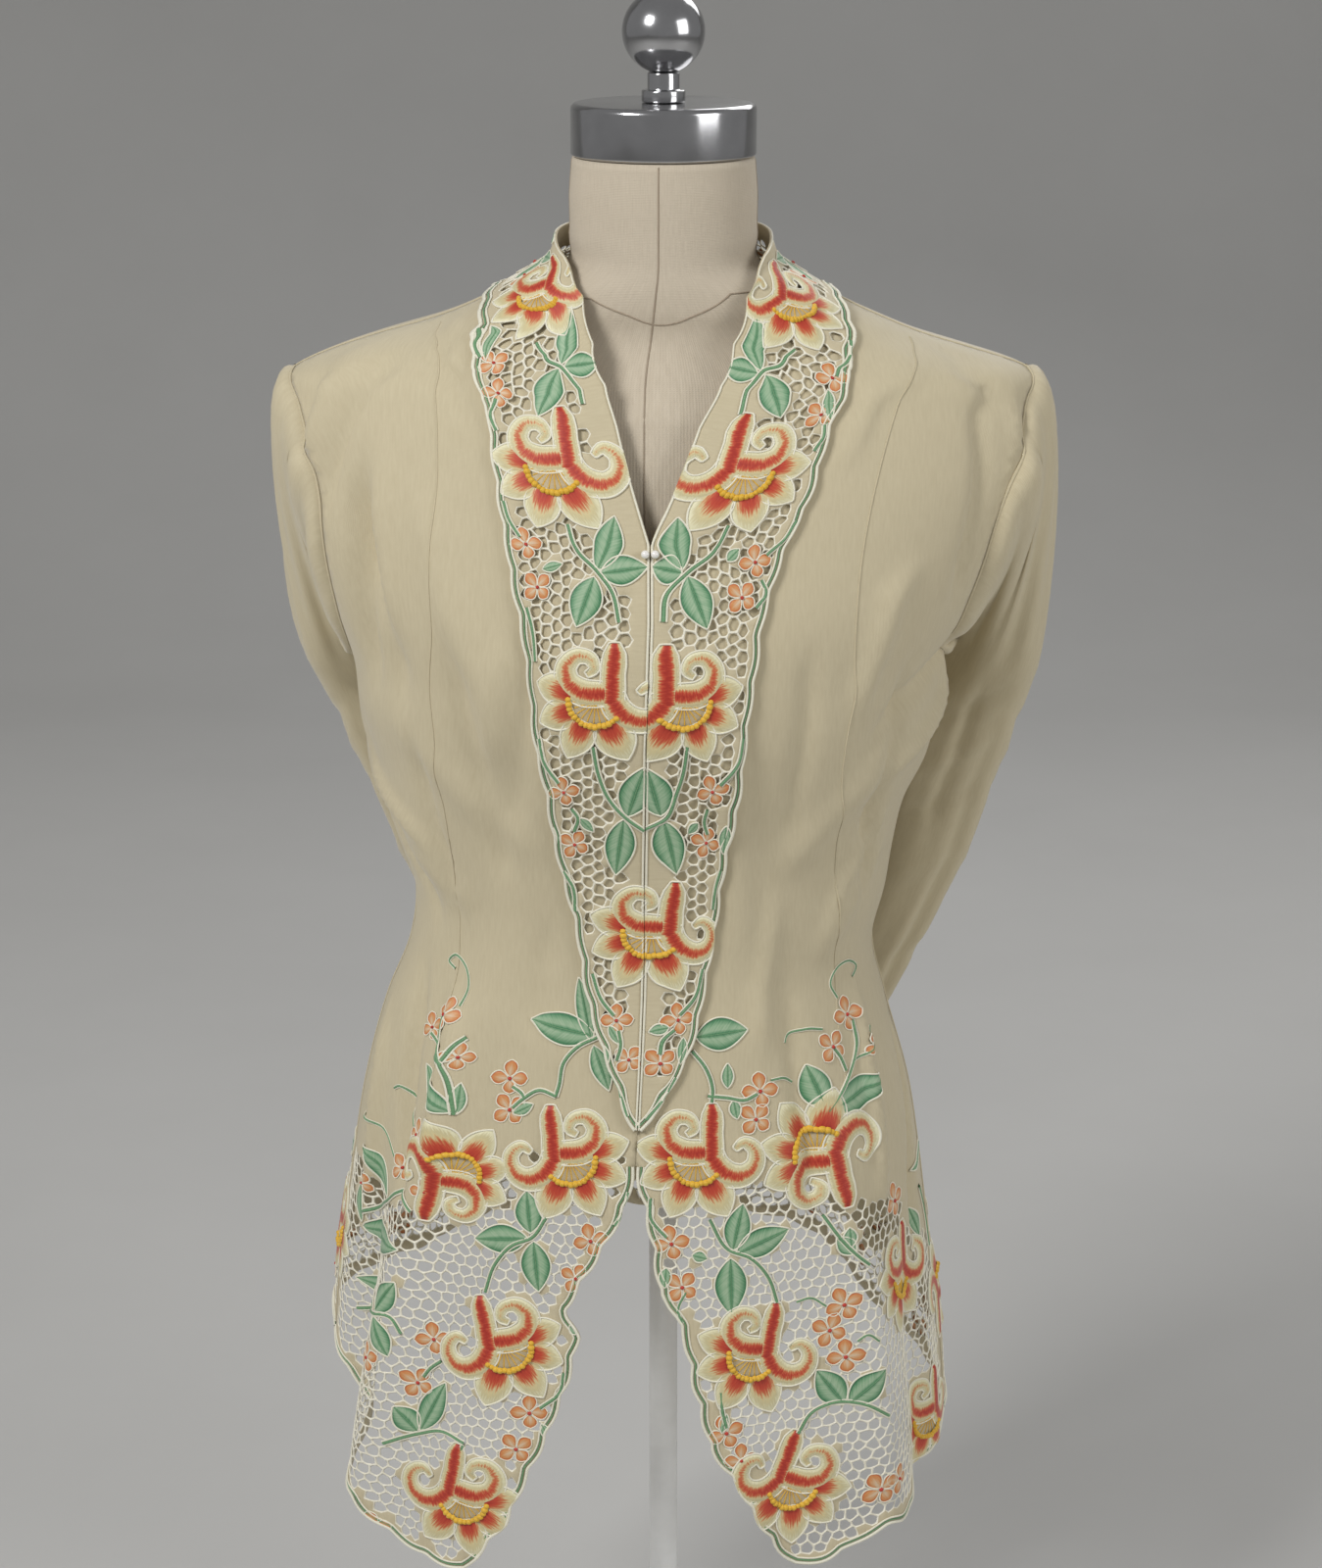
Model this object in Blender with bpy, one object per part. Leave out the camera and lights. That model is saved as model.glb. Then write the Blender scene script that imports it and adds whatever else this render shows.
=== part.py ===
"""Kebaya blouse on a counter dress form.

World frame in metres: +Z up, the wearer's front faces -Y, +X is the viewer's right when the
front is looked at. The origin is the centre of the stand base's underside.

drop is the depth of a place below the top of the neck cap. Every piece of cloth is cut in a flat
domain. A body panel's is (distance round, distance down the cloth): u runs round from the centre
front and w from the centre back, both above 0 to the viewer's right. A lapel's is (along, across):
down the band from the centre back, and from its inner edge. The body's skin turns a domain into
the worn shape, and each panel is a wall on that skin.
"""
import math
from collections import namedtuple

import bmesh
import bpy
import numpy as np
from mathutils import Vector
from mathutils.geometry import delaunay_2d_cdt

# Driving dimensions, metres
CAP_TOP = 1.075            # floor to the top of the neck cap
WALL = 0.0012              # voile, folded once at its edges
LAPEL_WALL = 0.0015        # embroidered lapel band
SEAM_GAP = 0.0003          # between two pieces at a seam
CORNER_GAP = 0.0008        # the same, down the shoulder seam where three panels meet
RING_POWER = 2.2           # squareness of the body's horizontal rings
GAP_LIMIT = 200            # openings of the cutwork that are cut through
NET_PITCH = 0.0074         # from one cutwork opening to the next
NET_BAR = 0.0012           # width of a cutwork bar
NET_SHAKE = 0.26           # how far a knot of the net strays, as a share of an opening's side
NET_EDGE = 0.0035          # solid cloth between the net and a cut edge
NET_TOP_EDGE = 0.0060      # and between the net and the border's upper edge
NET_SEEDS = {"front": 11, "back": 31, "lapel": 41}
FILL_STEP = 0.0170         # between the points that carry the cloth's curves
FILL_FROM_EDGE = 0.45      # how clear of an edge they stay, as a share of their step
FILL_FROM_OPENING = 0.62   # and how clear of an opening's middle
SHARP_ANGLE = math.radians(40)

# Horizontal rings of the worn blouse: widths to the viewer's left and right, depths front and back
Ring = namedtuple("Ring", "drop left right front back")
RINGS = [
    Ring(0.070, 0.0590, 0.0590, 0.0580, 0.0590),
    Ring(0.082, 0.0620, 0.0620, 0.0585, 0.0630),
    Ring(0.092, 0.0680, 0.0680, 0.0595, 0.0680),
    Ring(0.103, 0.0870, 0.0860, 0.0615, 0.0750),
    Ring(0.113, 0.1060, 0.1040, 0.0640, 0.0820),
    Ring(0.124, 0.1330, 0.1280, 0.0680, 0.0880),
    Ring(0.134, 0.1680, 0.1530, 0.0720, 0.0920),
    Ring(0.143, 0.1950, 0.1830, 0.0765, 0.0960),
    Ring(0.152, 0.2150, 0.2110, 0.0810, 0.0990),
    Ring(0.170, 0.2215, 0.2200, 0.0890, 0.1020),
    Ring(0.200, 0.2220, 0.2220, 0.1000, 0.1040),
    Ring(0.250, 0.2150, 0.2060, 0.1150, 0.1060),
    Ring(0.290, 0.2000, 0.1850, 0.1250, 0.1040),
    Ring(0.325, 0.1860, 0.1670, 0.1275, 0.1000),
    Ring(0.352, 0.1830, 0.1650, 0.1250, 0.0960),
    Ring(0.385, 0.1740, 0.1590, 0.1180, 0.0910),
    Ring(0.410, 0.1700, 0.1470, 0.1120, 0.0880),
    Ring(0.440, 0.1610, 0.1400, 0.1070, 0.0860),
    Ring(0.467, 0.1520, 0.1360, 0.1045, 0.0860),
    Ring(0.505, 0.1550, 0.1280, 0.1050, 0.0900),
    Ring(0.540, 0.1690, 0.1360, 0.1090, 0.0970),
    Ring(0.600, 0.1850, 0.1520, 0.1160, 0.1100),
    Ring(0.650, 0.1930, 0.1590, 0.1210, 0.1180),
    Ring(0.700, 0.2000, 0.1640, 0.1250, 0.1240),
    Ring(0.750, 0.2060, 0.1700, 0.1290, 0.1280),
    Ring(0.800, 0.2100, 0.1750, 0.1320, 0.1310),
    Ring(0.850, 0.2120, 0.1770, 0.1340, 0.1330),
    Ring(0.890, 0.2130, 0.1780, 0.1350, 0.1340),
]

# Main folds, ridges above 0 and troughs below: turn in degrees from the centre front to the
# viewer's right, from a top point to a bottom point, with half width and height in metres
Fold = namedtuple("Fold", "top_turn top_drop end_turn end_drop half_width height")
FOLDS = [
    Fold(-30, 0.38, -74, 1.10, 0.020, 0.012),
    Fold(-64, 0.56, -88, 1.10, 0.022, -0.020),
    Fold(-100, 0.52, -104, 1.10, 0.024, 0.008),
    Fold(-16, 0.60, -24, 1.10, 0.020, -0.006),
    Fold(42, 0.52, 52, 1.10, 0.022, 0.009),
    Fold(66, 0.60, 72, 1.10, 0.018, -0.010),
    Fold(20, 0.62, 27, 1.10, 0.020, -0.005),
    Fold(96, 0.56, 98, 1.10, 0.022, 0.007),
    Fold(124, 0.55, 128, 1.10, 0.024, -0.010),
    Fold(150, 0.52, 153, 1.10, 0.024, 0.009),
    Fold(178, 0.50, 179, 1.10, 0.026, -0.008),
    Fold(-152, 0.53, -155, 1.10, 0.024, 0.009),
    Fold(-126, 0.55, -129, 1.10, 0.024, -0.010),
    Fold(-62, 0.34, -22, 0.43, 0.013, 0.004),
    Fold(58, 0.36, 24, 0.44, 0.013, 0.004),
    Fold(70, 0.41, 40, 0.50, 0.012, 0.004),
    Fold(-70, 0.42, -44, 0.47, 0.012, 0.004),
]
FOLD_RADIUS = 0.16         # turns a fold's degrees into metres across
FOLD_RISE = 0.40           # share of a fold's length over which it starts
FOLD_FALL = 0.25           # and over which it ends, past the hem for those that run out

# Tables behind the skin: the rings between the given ones, and the distance round each
RING_STEP = 0.002
TURN_STEPS = 180
SLOPE_SHARE = 0.7          # how much of the rings' widening counts as distance down the cloth


def smooth_column(knots, values, at):
    """A smooth curve through a table's column."""
    knots = np.asarray(knots, dtype=float)
    values = np.asarray(values, dtype=float)
    slopes = np.gradient(values, knots)
    at = np.clip(at, knots[0], knots[-1])
    row = np.clip(np.searchsorted(knots, at, side="right") - 1, 0, len(knots) - 2)
    span = knots[row + 1] - knots[row]
    t = (at - knots[row]) / span
    near = (1 + 2 * t) * (1 - t) ** 2 * values[row] + t * (1 - t) ** 2 * span * slopes[row]
    far = t * t * (3 - 2 * t) * values[row + 1] + t * t * (t - 1) * span * slopes[row + 1]
    return near + far


def ring_columns(rings):
    """The rings at every RING_STEP of drop, one array for each column."""
    drops = np.arange(rings[0].drop, rings[-1].drop + RING_STEP / 2, RING_STEP)
    knots = [ring.drop for ring in rings]
    columns = {"drop": drops}
    for name in ("left", "right", "front", "back"):
        columns[name] = smooth_column(knots, [getattr(ring, name) for ring in rings], drops)
    return columns


RING_TABLE = ring_columns(RINGS)
TURNS = np.linspace(0.0, math.pi, TURN_STEPS + 1)


def ring_xy(wide, front, back, turn):
    """A point of a ring. turn runs from 0 at the centre front to pi at the centre back."""
    across = wide * np.abs(np.sin(turn)) ** (2 / RING_POWER)
    deep = np.where(np.cos(turn) >= 0, -front, back) * np.abs(np.cos(turn)) ** (2 / RING_POWER)
    return across, deep


def lengths_round(side):
    """Distance from the centre front to each turn, for each ring of one side."""
    rows = []
    for wide, front, back in zip(RING_TABLE[side], RING_TABLE["front"], RING_TABLE["back"]):
        x, y = ring_xy(wide, front, back, TURNS)
        rows.append(np.concatenate([[0.0], np.cumsum(np.hypot(np.diff(x), np.diff(y)))]))
    return np.array(rows)


LENGTHS = {"left": lengths_round("left"), "right": lengths_round("right")}


def ring_lengths(side, drop):
    """The row of LENGTHS at any drop."""
    place = np.clip((drop - RINGS[0].drop) / RING_STEP, 0, len(RING_TABLE["drop"]) - 1.001)
    row = int(place)
    share = place - row
    return (1 - share) * LENGTHS[side][row] + share * LENGTHS[side][row + 1]


def path_lengths():
    """Distance down the cloth at each ring: the shoulders slope, the skirt hangs."""
    wide = (RING_TABLE["left"] + RING_TABLE["right"]) / 2
    steps = np.hypot(RING_STEP, SLOPE_SHARE * np.diff(wide))
    return np.concatenate([[0.0], np.cumsum(steps)])


PATH = path_lengths()


def path_at(drop):
    return float(np.interp(drop, RING_TABLE["drop"], PATH))


def drop_at(path):
    return float(np.interp(path, PATH, RING_TABLE["drop"]))


def side_of(u):
    return "left" if u < 0 else "right"


def half_round(side, drop):
    """Distance from the centre front to the centre back on one side."""
    return ring_lengths(side, drop)[-1]


def u_at_turn(turn, drop):
    """u at a signed turn in radians."""
    side = side_of(turn)
    return math.copysign(float(np.interp(abs(turn), TURNS, ring_lengths(side, drop))), turn)


def turn_at_u(u, drop):
    side = side_of(u)
    return math.copysign(float(np.interp(abs(u), ring_lengths(side, drop), TURNS)), u)


def ease(share):
    share = min(1.0, max(0.0, share))
    return share * share * (3 - 2 * share)


def fold_height(turn, drop):
    """How far the folds lift the cloth at one place."""
    total = 0.0
    for fold in FOLDS:
        run_turn = math.radians(fold.end_turn - fold.top_turn) * FOLD_RADIUS
        run_drop = fold.end_drop - fold.top_drop
        off_turn = math.degrees(turn) - fold.top_turn
        off_turn = (off_turn + 180.0) % 360.0 - 180.0
        off_turn = math.radians(off_turn) * FOLD_RADIUS
        off_drop = drop - fold.top_drop
        length = math.hypot(run_turn, run_drop)
        along = (off_turn * run_turn + off_drop * run_drop) / length ** 2
        aside = (off_turn * run_drop - off_drop * run_turn) / length
        if along <= 0 or along >= 1:
            continue
        fade = ease(along / FOLD_RISE) * ease((1 - along) / FOLD_FALL)
        total += fold.height * fade * math.exp(-(aside / fold.half_width) ** 2)
    return total


def skin(u, drop):
    """The worn shape's mid surface at one place of the flat domain."""
    side = side_of(u)
    turn = turn_at_u(u, drop)
    wide = np.interp(drop, RING_TABLE["drop"], RING_TABLE[side])
    front = np.interp(drop, RING_TABLE["drop"], RING_TABLE["front"])
    back = np.interp(drop, RING_TABLE["drop"], RING_TABLE["back"])
    x, y = ring_xy(wide, front, back, abs(turn))
    lift = fold_height(turn, drop)
    reach = math.hypot(x, y) or 1.0
    x += lift * x / reach
    y += lift * y / reach
    return Vector((math.copysign(float(x), u), float(y), CAP_TOP - drop))


# Seams and edges, seen from the front: x in metres at each drop, to the left and to the right
EdgeRow = namedtuple("EdgeRow", "drop left right")
PRINCESS = [
    EdgeRow(0.140, -0.1326, 0.1430),
    EdgeRow(0.160, -0.1300, 0.1350),
    EdgeRow(0.200, -0.1286, 0.1225),
    EdgeRow(0.240, -0.1292, 0.1140),
    EdgeRow(0.290, -0.1326, 0.1095),
    EdgeRow(0.325, -0.1350, 0.1088),
    EdgeRow(0.370, -0.1310, 0.1040),
    EdgeRow(0.420, -0.1265, 0.1015),
    EdgeRow(0.467, -0.1215, 0.1010),
    EdgeRow(0.520, -0.1230, 0.1030),
    EdgeRow(0.600, -0.1330, 0.1120),
    EdgeRow(0.700, -0.1430, 0.1200),
    EdgeRow(0.800, -0.1500, 0.1260),
    EdgeRow(0.890, -0.1550, 0.1300),
]
PRINCESS_TOP = {"left": 0.1240, "right": 0.1315}
FOOT_TRIES = 12            # steps that find where the princess seam meets the hem
FLAP_EDGE = [
    EdgeRow(0.612, -0.0175, -0.0157),
    EdgeRow(0.640, -0.0250, -0.0092),
    EdgeRow(0.665, -0.0385, -0.0045),
    EdgeRow(0.690, -0.0535, -0.0012),
    EdgeRow(0.704, -0.0612, 0.0085),
    EdgeRow(0.721, -0.0530, 0.0140),
    EdgeRow(0.750, -0.0605, 0.0195),
    EdgeRow(0.790, -0.0765, 0.0296),
    EdgeRow(0.815, -0.0880, 0.0458),
    EdgeRow(0.845, -0.0995, 0.0620),
    EdgeRow(0.862, -0.1113, 0.0735),
]
# The hem all round: its drop at each turn in degrees from the centre front
HemRow = namedtuple("HemRow", "turn left right")
HEM = [
    HemRow(26, 0.8790, 0.8735),
    HemRow(33, 0.8790, 0.8710),
    HemRow(40, 0.8765, 0.8620),
    HemRow(46, 0.8710, 0.8560),
    HemRow(54, 0.8590, 0.8565),
    HemRow(60, 0.8430, 0.8545),
    HemRow(66, 0.8300, 0.8420),
    HemRow(76, 0.8030, 0.8370),
    HemRow(86, 0.7780, 0.8310),
    HemRow(98, 0.7600, 0.8190),
    HemRow(114, 0.7510, 0.7970),
    HemRow(136, 0.7440, 0.7660),
    HemRow(160, 0.7370, 0.7430),
    HemRow(180, 0.7350, 0.7350),
]
TIP_TURN = {"left": 33.0, "right": 25.9}
# The line where the fronts meet
CentreRow = namedtuple("CentreRow", "drop x")
CENTRE = [
    CentreRow(0.235, -0.0075),
    CentreRow(0.283, -0.0074),
    CentreRow(0.363, -0.0100),
    CentreRow(0.448, -0.0110),
    CentreRow(0.508, -0.0116),
    CentreRow(0.548, -0.0133),
    CentreRow(0.587, -0.0151),
    CentreRow(0.612, -0.0166),
]
# Lapel band: round the back of the neck by turn, then down the front by x
NeckRow = namedtuple("NeckRow", "turn inner_drop outer_drop")
BAND_NECK = [
    NeckRow(180, 0.0715, 0.1180),
    NeckRow(158, 0.0715, 0.1170),
    NeckRow(136, 0.0720, 0.1150),
    NeckRow(114, 0.0730, 0.1120),
    NeckRow(92, 0.0745, 0.1095),
]
BandRow = namedtuple("BandRow", "inner_drop left_inner right_inner outer_drop left_outer right_outer")
BAND_FRONT = [
    BandRow(0.0850, -0.0545, 0.0555, 0.1170, -0.1035, 0.1035),
    BandRow(0.1050, -0.0445, 0.0464, 0.1300, -0.1065, 0.1075),
    BandRow(0.1300, -0.0390, 0.0390, 0.1460, -0.1062, 0.1040),
    BandRow(0.1520, -0.0320, 0.0318, 0.1640, -0.1000, 0.0992),
    BandRow(0.1740, -0.0255, 0.0196, 0.1850, -0.0968, 0.0905),
    BandRow(0.2050, -0.0175, 0.0072, 0.2130, -0.0925, 0.0815),
    BandRow(0.2370, -0.0075, -0.0075, 0.2420, -0.0875, 0.0670),
    BandRow(0.2800, -0.0074, -0.0074, 0.2800, -0.0818, 0.0550),
    BandRow(0.3200, -0.0087, -0.0087, 0.3200, -0.0775, 0.0495),
    BandRow(0.3650, -0.0100, -0.0100, 0.3650, -0.0695, 0.0425),
    BandRow(0.4100, -0.0106, -0.0106, 0.4100, -0.0625, 0.0368),
    BandRow(0.4550, -0.0111, -0.0111, 0.4550, -0.0525, 0.0312),
    BandRow(0.5000, -0.0115, -0.0115, 0.5000, -0.0455, 0.0240),
    BandRow(0.5350, -0.0127, -0.0127, 0.5350, -0.0370, 0.0170),
    BandRow(0.5600, -0.0138, -0.0138, 0.5600, -0.0280, 0.0060),
    BandRow(0.5800, -0.0148, -0.0148, 0.5800, -0.0215, -0.0070),
    BandRow(0.5900, -0.0153, -0.0153, 0.5910, -0.0172, -0.0136),
]
CLOSURE_ROW = 6            # the first row where the two lapels meet
CLOSURE = BAND_FRONT[CLOSURE_ROW]
NECK_UNDER = 0.009         # how far the fronts' neckline lies under the lapel
CLOSURE_UNDER = 0.004      # the same at the closure
BACK_NECK_DROP = 0.1000
SCALLOP_PITCH = 0.027
HEM_SCALLOP = 0.0026
LAPEL_SCALLOP = 0.0018
LAPEL_POINT = 0.0010       # cut off the very point of a lapel
EDGE_STEP = 0.0085         # between two points of a scalloped edge
SEAM_STEP = 0.018          # between two points of a straight seam
SHOULDER_STEP = 0.012
LAPEL_STEP = 0.012
HEM_TURN_STEP = 2.0        # degrees, before the hem is scalloped
NECK_TURN_STEP = 11.0
SHOULDER_TURN = 90.0       # the shoulder and side seams
NECK_CORNER_TURN = 65.0    # where the fronts' neckline reaches the drop of the back's
LAPEL_REACH_DROPS = (0.10, 0.24, 0.40, 0.59, 0.60)
LAPEL_REACH = (0.13, 0.10, 0.075, 0.03, 0.0)   # how far round the lapels lie on the fronts
NAPE_FOOT = 0.126          # the neck's curve ends here
SHOULDER_FOOT = 0.165      # the shoulders' slope ends here
SKIRT_TOP = 0.50           # the skirt's folds begin here

# Armhole: an oval in side view, centred on the side seam
ARMHOLE_DROP = 0.2400
ARMHOLE_TALL = 0.0865
ARMHOLE_DEEP = 0.0520
SLEEVE_AROUND = 20         # points round the armhole and the sleeve, a multiple of 4

# Cutwork: below this drop at each turn the border is a net of openings, clear of the motifs
NetRow = namedtuple("NetRow", "turn left right")
NET_TOP = [
    NetRow(0, 0.588, 0.588),
    NetRow(8, 0.592, 0.592),
    NetRow(14, 0.618, 0.606),
    NetRow(22, 0.600, 0.612),
    NetRow(34, 0.612, 0.602),
    NetRow(46, 0.640, 0.640),
    NetRow(60, 0.648, 0.650),
    NetRow(80, 0.640, 0.690),
    NetRow(110, 0.640, 0.680),
    NetRow(150, 0.640, 0.645),
    NetRow(180, 0.640, 0.640),
]
# Embroidered motifs that the openings stay clear of: place by turn and drop, and reach
Motif = namedtuple("Motif", "turn drop reach")
HEM_MOTIFS = [
    Motif(-14.7, 0.6077, 0.034), Motif(-38.2, 0.6260, 0.030), Motif(-24.9, 0.7333, 0.034),
    Motif(-34.0, 0.8330, 0.034), Motif(6.8, 0.6125, 0.034), Motif(34.7, 0.6166, 0.033),
    Motif(15.9, 0.7335, 0.034), Motif(54.7, 0.7068, 0.030), Motif(26.9, 0.8234, 0.034),
    Motif(68.9, 0.8100, 0.026), Motif(-22.3, 0.6549, 0.022), Motif(-47.0, 0.7794, 0.018),
    Motif(-64.0, 0.7000, 0.020), Motif(14.6, 0.6622, 0.024), Motif(39.0, 0.7625, 0.024),
    Motif(-78.0, 0.6600, 0.026), Motif(-92.0, 0.7150, 0.022), Motif(-113.0, 0.6900, 0.030),
    Motif(-133.0, 0.7050, 0.022), Motif(-155.0, 0.6850, 0.030), Motif(-176.0, 0.7050, 0.020),
    Motif(158.0, 0.6900, 0.030), Motif(137.0, 0.7150, 0.022), Motif(117.0, 0.7180, 0.030),
    Motif(97.0, 0.7600, 0.024), Motif(84.0, 0.7200, 0.024),
]
# The same on the lapels: distance down the band from the centre back, and from its inner edge
BandMotif = namedtuple("BandMotif", "along across reach")
BAND_MOTIFS = [
    BandMotif(0.040, 0.028, 0.024), BandMotif(0.108, 0.028, 0.020), BandMotif(0.172, 0.030, 0.026),
    BandMotif(0.215, 0.020, 0.014), BandMotif(0.270, 0.040, 0.030), BandMotif(0.325, 0.022, 0.017),
    BandMotif(0.398, 0.027, 0.030), BandMotif(0.456, 0.005, 0.016), BandMotif(0.490, 0.012, 0.016),
    BandMotif(0.548, 0.000, 0.030),
]
BAND_PLAIN = 0.012         # plain voile along the band's inner edge, above the closure
HEM_RADIUS = 0.165         # turns degrees round the hem into metres


def row_value(rows, key, column, at):
    """One column of a table read smoothly at any place."""
    return float(smooth_column([getattr(row, key) for row in rows],
                               [getattr(row, column) for row in rows], at))


def turn_at_x(x, drop):
    """The signed turn of a place seen from the front."""
    wide = float(np.interp(drop, RING_TABLE["drop"], RING_TABLE["left" if x < 0 else "right"]))
    share = min(1.0, abs(x) / wide) ** (RING_POWER / 2)
    return math.copysign(math.asin(share), x)


def u_at_x(x, drop):
    return u_at_turn(turn_at_x(x, drop), drop)


def sign_of(side):
    return -1 if side == "left" else 1


def unwrap(u, drop):
    """Bring a distance past the centre back onto the other side."""
    side = side_of(u)
    own = half_round(side, drop)
    if abs(u) <= own:
        return u
    other = half_round("right" if side == "left" else "left", drop)
    return -math.copysign(other - (abs(u) - own), u)


def skin_frame(u, drop, step=0.0012):
    """Point and outward normal of the skin."""
    along = skin(unwrap(u + step, drop), drop) - skin(unwrap(u - step, drop), drop)
    down = skin(unwrap(u, drop), drop + step) - skin(unwrap(u, drop), drop - step)
    return skin(unwrap(u, drop), drop), down.cross(along).normalized()


def hem_drop(side, turn_degrees):
    return row_value(HEM, "turn", side, turn_degrees)


def princess_u(side, drop):
    x = row_value(PRINCESS, "drop", side, drop)
    return u_at_x(x, drop)


def centre_u(drop):
    return u_at_x(row_value(CENTRE, "drop", "x", drop), drop)


def princess_line(side):
    """The princess seam from the shoulder seam to the hem."""
    start = PRINCESS_TOP[side]
    top = (u_at_turn(sign_of(side) * math.pi / 2, start), start)
    drops = even(PRINCESS[0].drop, princess_foot(side), SEAM_STEP)
    return [top] + [(princess_u(side, drop), drop) for drop in drops]


def princess_foot(side):
    """The drop where the princess seam meets the hem, found by a few steps between the two."""
    drop = HEM[0].left
    for _ in range(FOOT_TRIES):
        turn = math.degrees(abs(turn_at_u(princess_u(side, drop), drop)))
        drop = hem_drop(side, turn)
    return drop


def spread(points, step):
    """Points at an even step along a polyline, both ends kept."""
    points = np.asarray(points, dtype=float)
    run = np.concatenate([[0.0], np.cumsum(np.hypot(*np.diff(points, axis=0).T))])
    count = max(1, round(run[-1] / step))
    at = np.linspace(0.0, run[-1], count + 1)
    return np.column_stack([np.interp(at, run, points[:, 0]), np.interp(at, run, points[:, 1])])


def move_line(points, distance):
    """A polyline moved to its left-hand side, seen with the second axis upward."""
    points = np.asarray(points, dtype=float)
    run = np.gradient(points, axis=0)
    run /= np.hypot(run[:, 0], run[:, 1])[:, None]
    return points + distance * np.column_stack([-run[:, 1], run[:, 0]])


def scallop(points, depth, outward):
    """An even edge turned into scallops: outward is 1 or -1 times move_line's side."""
    edge = spread(points, EDGE_STEP)
    run = np.concatenate([[0.0], np.cumsum(np.hypot(*np.diff(edge, axis=0).T))])
    count = max(1, round(run[-1] / SCALLOP_PITCH))
    bulge = depth * np.abs(np.sin(math.pi * count * run / run[-1]))
    return edge + outward * bulge[:, None] * (move_line(edge, 1.0) - edge)


def inside(points, outline):
    """Which points lie inside a closed outline."""
    x, y = points[:, 0], points[:, 1]
    result = np.zeros(len(points), dtype=bool)
    x0, y0 = outline[-1]
    for x1, y1 in outline:
        crosses = (y1 > y) != (y0 > y)
        with np.errstate(divide="ignore", invalid="ignore"):
            result ^= crosses & (x < (x0 - x1) * (y - y1) / (y0 - y1) + x1)
        x0, y0 = x1, y1
    return result


def edge_distance(points, outline):
    """Distance of each point to a closed outline."""
    nearest = np.full(len(points), 1e9)
    start = np.asarray(outline[-1], dtype=float)
    for end in np.asarray(outline, dtype=float):
        run = end - start
        length = max(float(run @ run), 1e-12)
        t = np.clip(((points - start) @ run) / length, 0.0, 1.0)
        nearest = np.minimum(nearest, np.hypot(*(points - start - t[:, None] * run).T))
        start = end
    return nearest


def shake(column, row, seed):
    """A repeatable number from -1 to 1 for one knot of the net."""
    value = math.sin(column * 12.9898 + row * 78.233 + seed * 37.719) * 43758.5453
    return 2.0 * (value - math.floor(value)) - 1.0


def net_cells(outline, seed, keep):
    """Openings of an uneven net inside an outline, as closed polygons, largest first."""
    outline = np.asarray(outline, dtype=float)
    low, high = outline.min(axis=0), outline.max(axis=0)
    knot = NET_PITCH / math.sqrt(3)
    cells = []
    for row in range(int(low[1] / (1.5 * knot)) - 1, int(high[1] / (1.5 * knot)) + 2):
        for column in range(int(low[0] / NET_PITCH) - 1, int(high[0] / NET_PITCH) + 2):
            centre = np.array([(column + 0.5 * (row % 2)) * NET_PITCH, 1.5 * knot * row])
            corners = []
            for k in range(6):
                angle = math.radians(60 * k + 30)
                corner = centre + knot * np.array([math.cos(angle), math.sin(angle)])
                key = (round(2 * corner[0] / NET_PITCH), round(2 * corner[1] / knot))
                corner[0] += NET_SHAKE * knot * shake(key[0], key[1], seed)
                corner[1] += NET_SHAKE * knot * shake(key[1], key[0], seed + 1)
                corners.append(corner)
            middle = np.mean(corners, axis=0)
            shrink = 1.0 - NET_BAR / NET_PITCH
            corners = middle + shrink * (np.array(corners) - middle)
            cells.append((middle, corners))
    middles = np.array([cell[0] for cell in cells])
    room = inside(middles, outline) & (edge_distance(middles, outline) > knot + NET_EDGE)
    chosen = [cells[i][1] for i in range(len(cells)) if room[i] and keep(*middles[i])]
    return sorted(chosen, key=lambda cell: -area_of(cell))


def signed_area(polygon):
    x, y = polygon[:, 0], polygon[:, 1]
    return 0.5 * float(np.dot(x, np.roll(y, -1)) - np.dot(y, np.roll(x, -1)))


def area_of(polygon):
    return abs(signed_area(polygon))


def counter_clockwise(polygon):
    return polygon if signed_area(polygon) > 0 else polygon[::-1]


def filling(outline, holes, detail):
    """Points spread inside an outline, clear of its edge and of its holes.

    detail says how many are kept at a place: 2 is all, 1 every second row, 0 half of those.
    """
    low, high = np.min(outline, axis=0), np.max(outline, axis=0)
    row_step = FILL_STEP * math.sqrt(3) / 2
    points = []
    for row, y in enumerate(np.arange(low[1] + FILL_STEP / 2, high[1], row_step)):
        odd = row % 2
        pair = row // 2
        start = low[0] + 0.5 * FILL_STEP * (odd or pair % 2)
        for column, x in enumerate(np.arange(start, high[0], FILL_STEP)):
            level = detail(x, y)
            thinned = level < 2 and odd
            halved = level < 1 and (column + pair) % 2
            if not thinned and not halved:
                points.append((x, y))
    points = np.array(points)
    from_edge = edge_distance(points, outline)
    points = points[inside(points, outline) & (from_edge > FILL_FROM_EDGE * FILL_STEP)]
    if holes:
        middles = np.array([hole.mean(axis=0) for hole in holes])
        nearest = np.array([np.min(np.hypot(*(middles - point).T)) for point in points])
        points = points[nearest > FILL_FROM_OPENING * FILL_STEP]
    return points


def triangles_of(outline, holes, detail):
    """Flat points and triangles of a panel with its openings left out."""
    loops = [counter_clockwise(np.asarray(loop)) for loop in [outline] + list(holes)]
    points = []
    faces = []
    for loop in loops:
        faces.append(list(range(len(points), len(points) + len(loop))))
        points.extend(Vector(point) for point in loop)
    points.extend(Vector(point) for point in filling(np.asarray(outline), holes, detail))
    flat, _, made, _, _, owners = delaunay_2d_cdt(points, [], faces, 1, 1e-7)
    kept = [tri for tri, owner in zip(made, owners) if owner == [0]]
    return flat, kept


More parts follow.
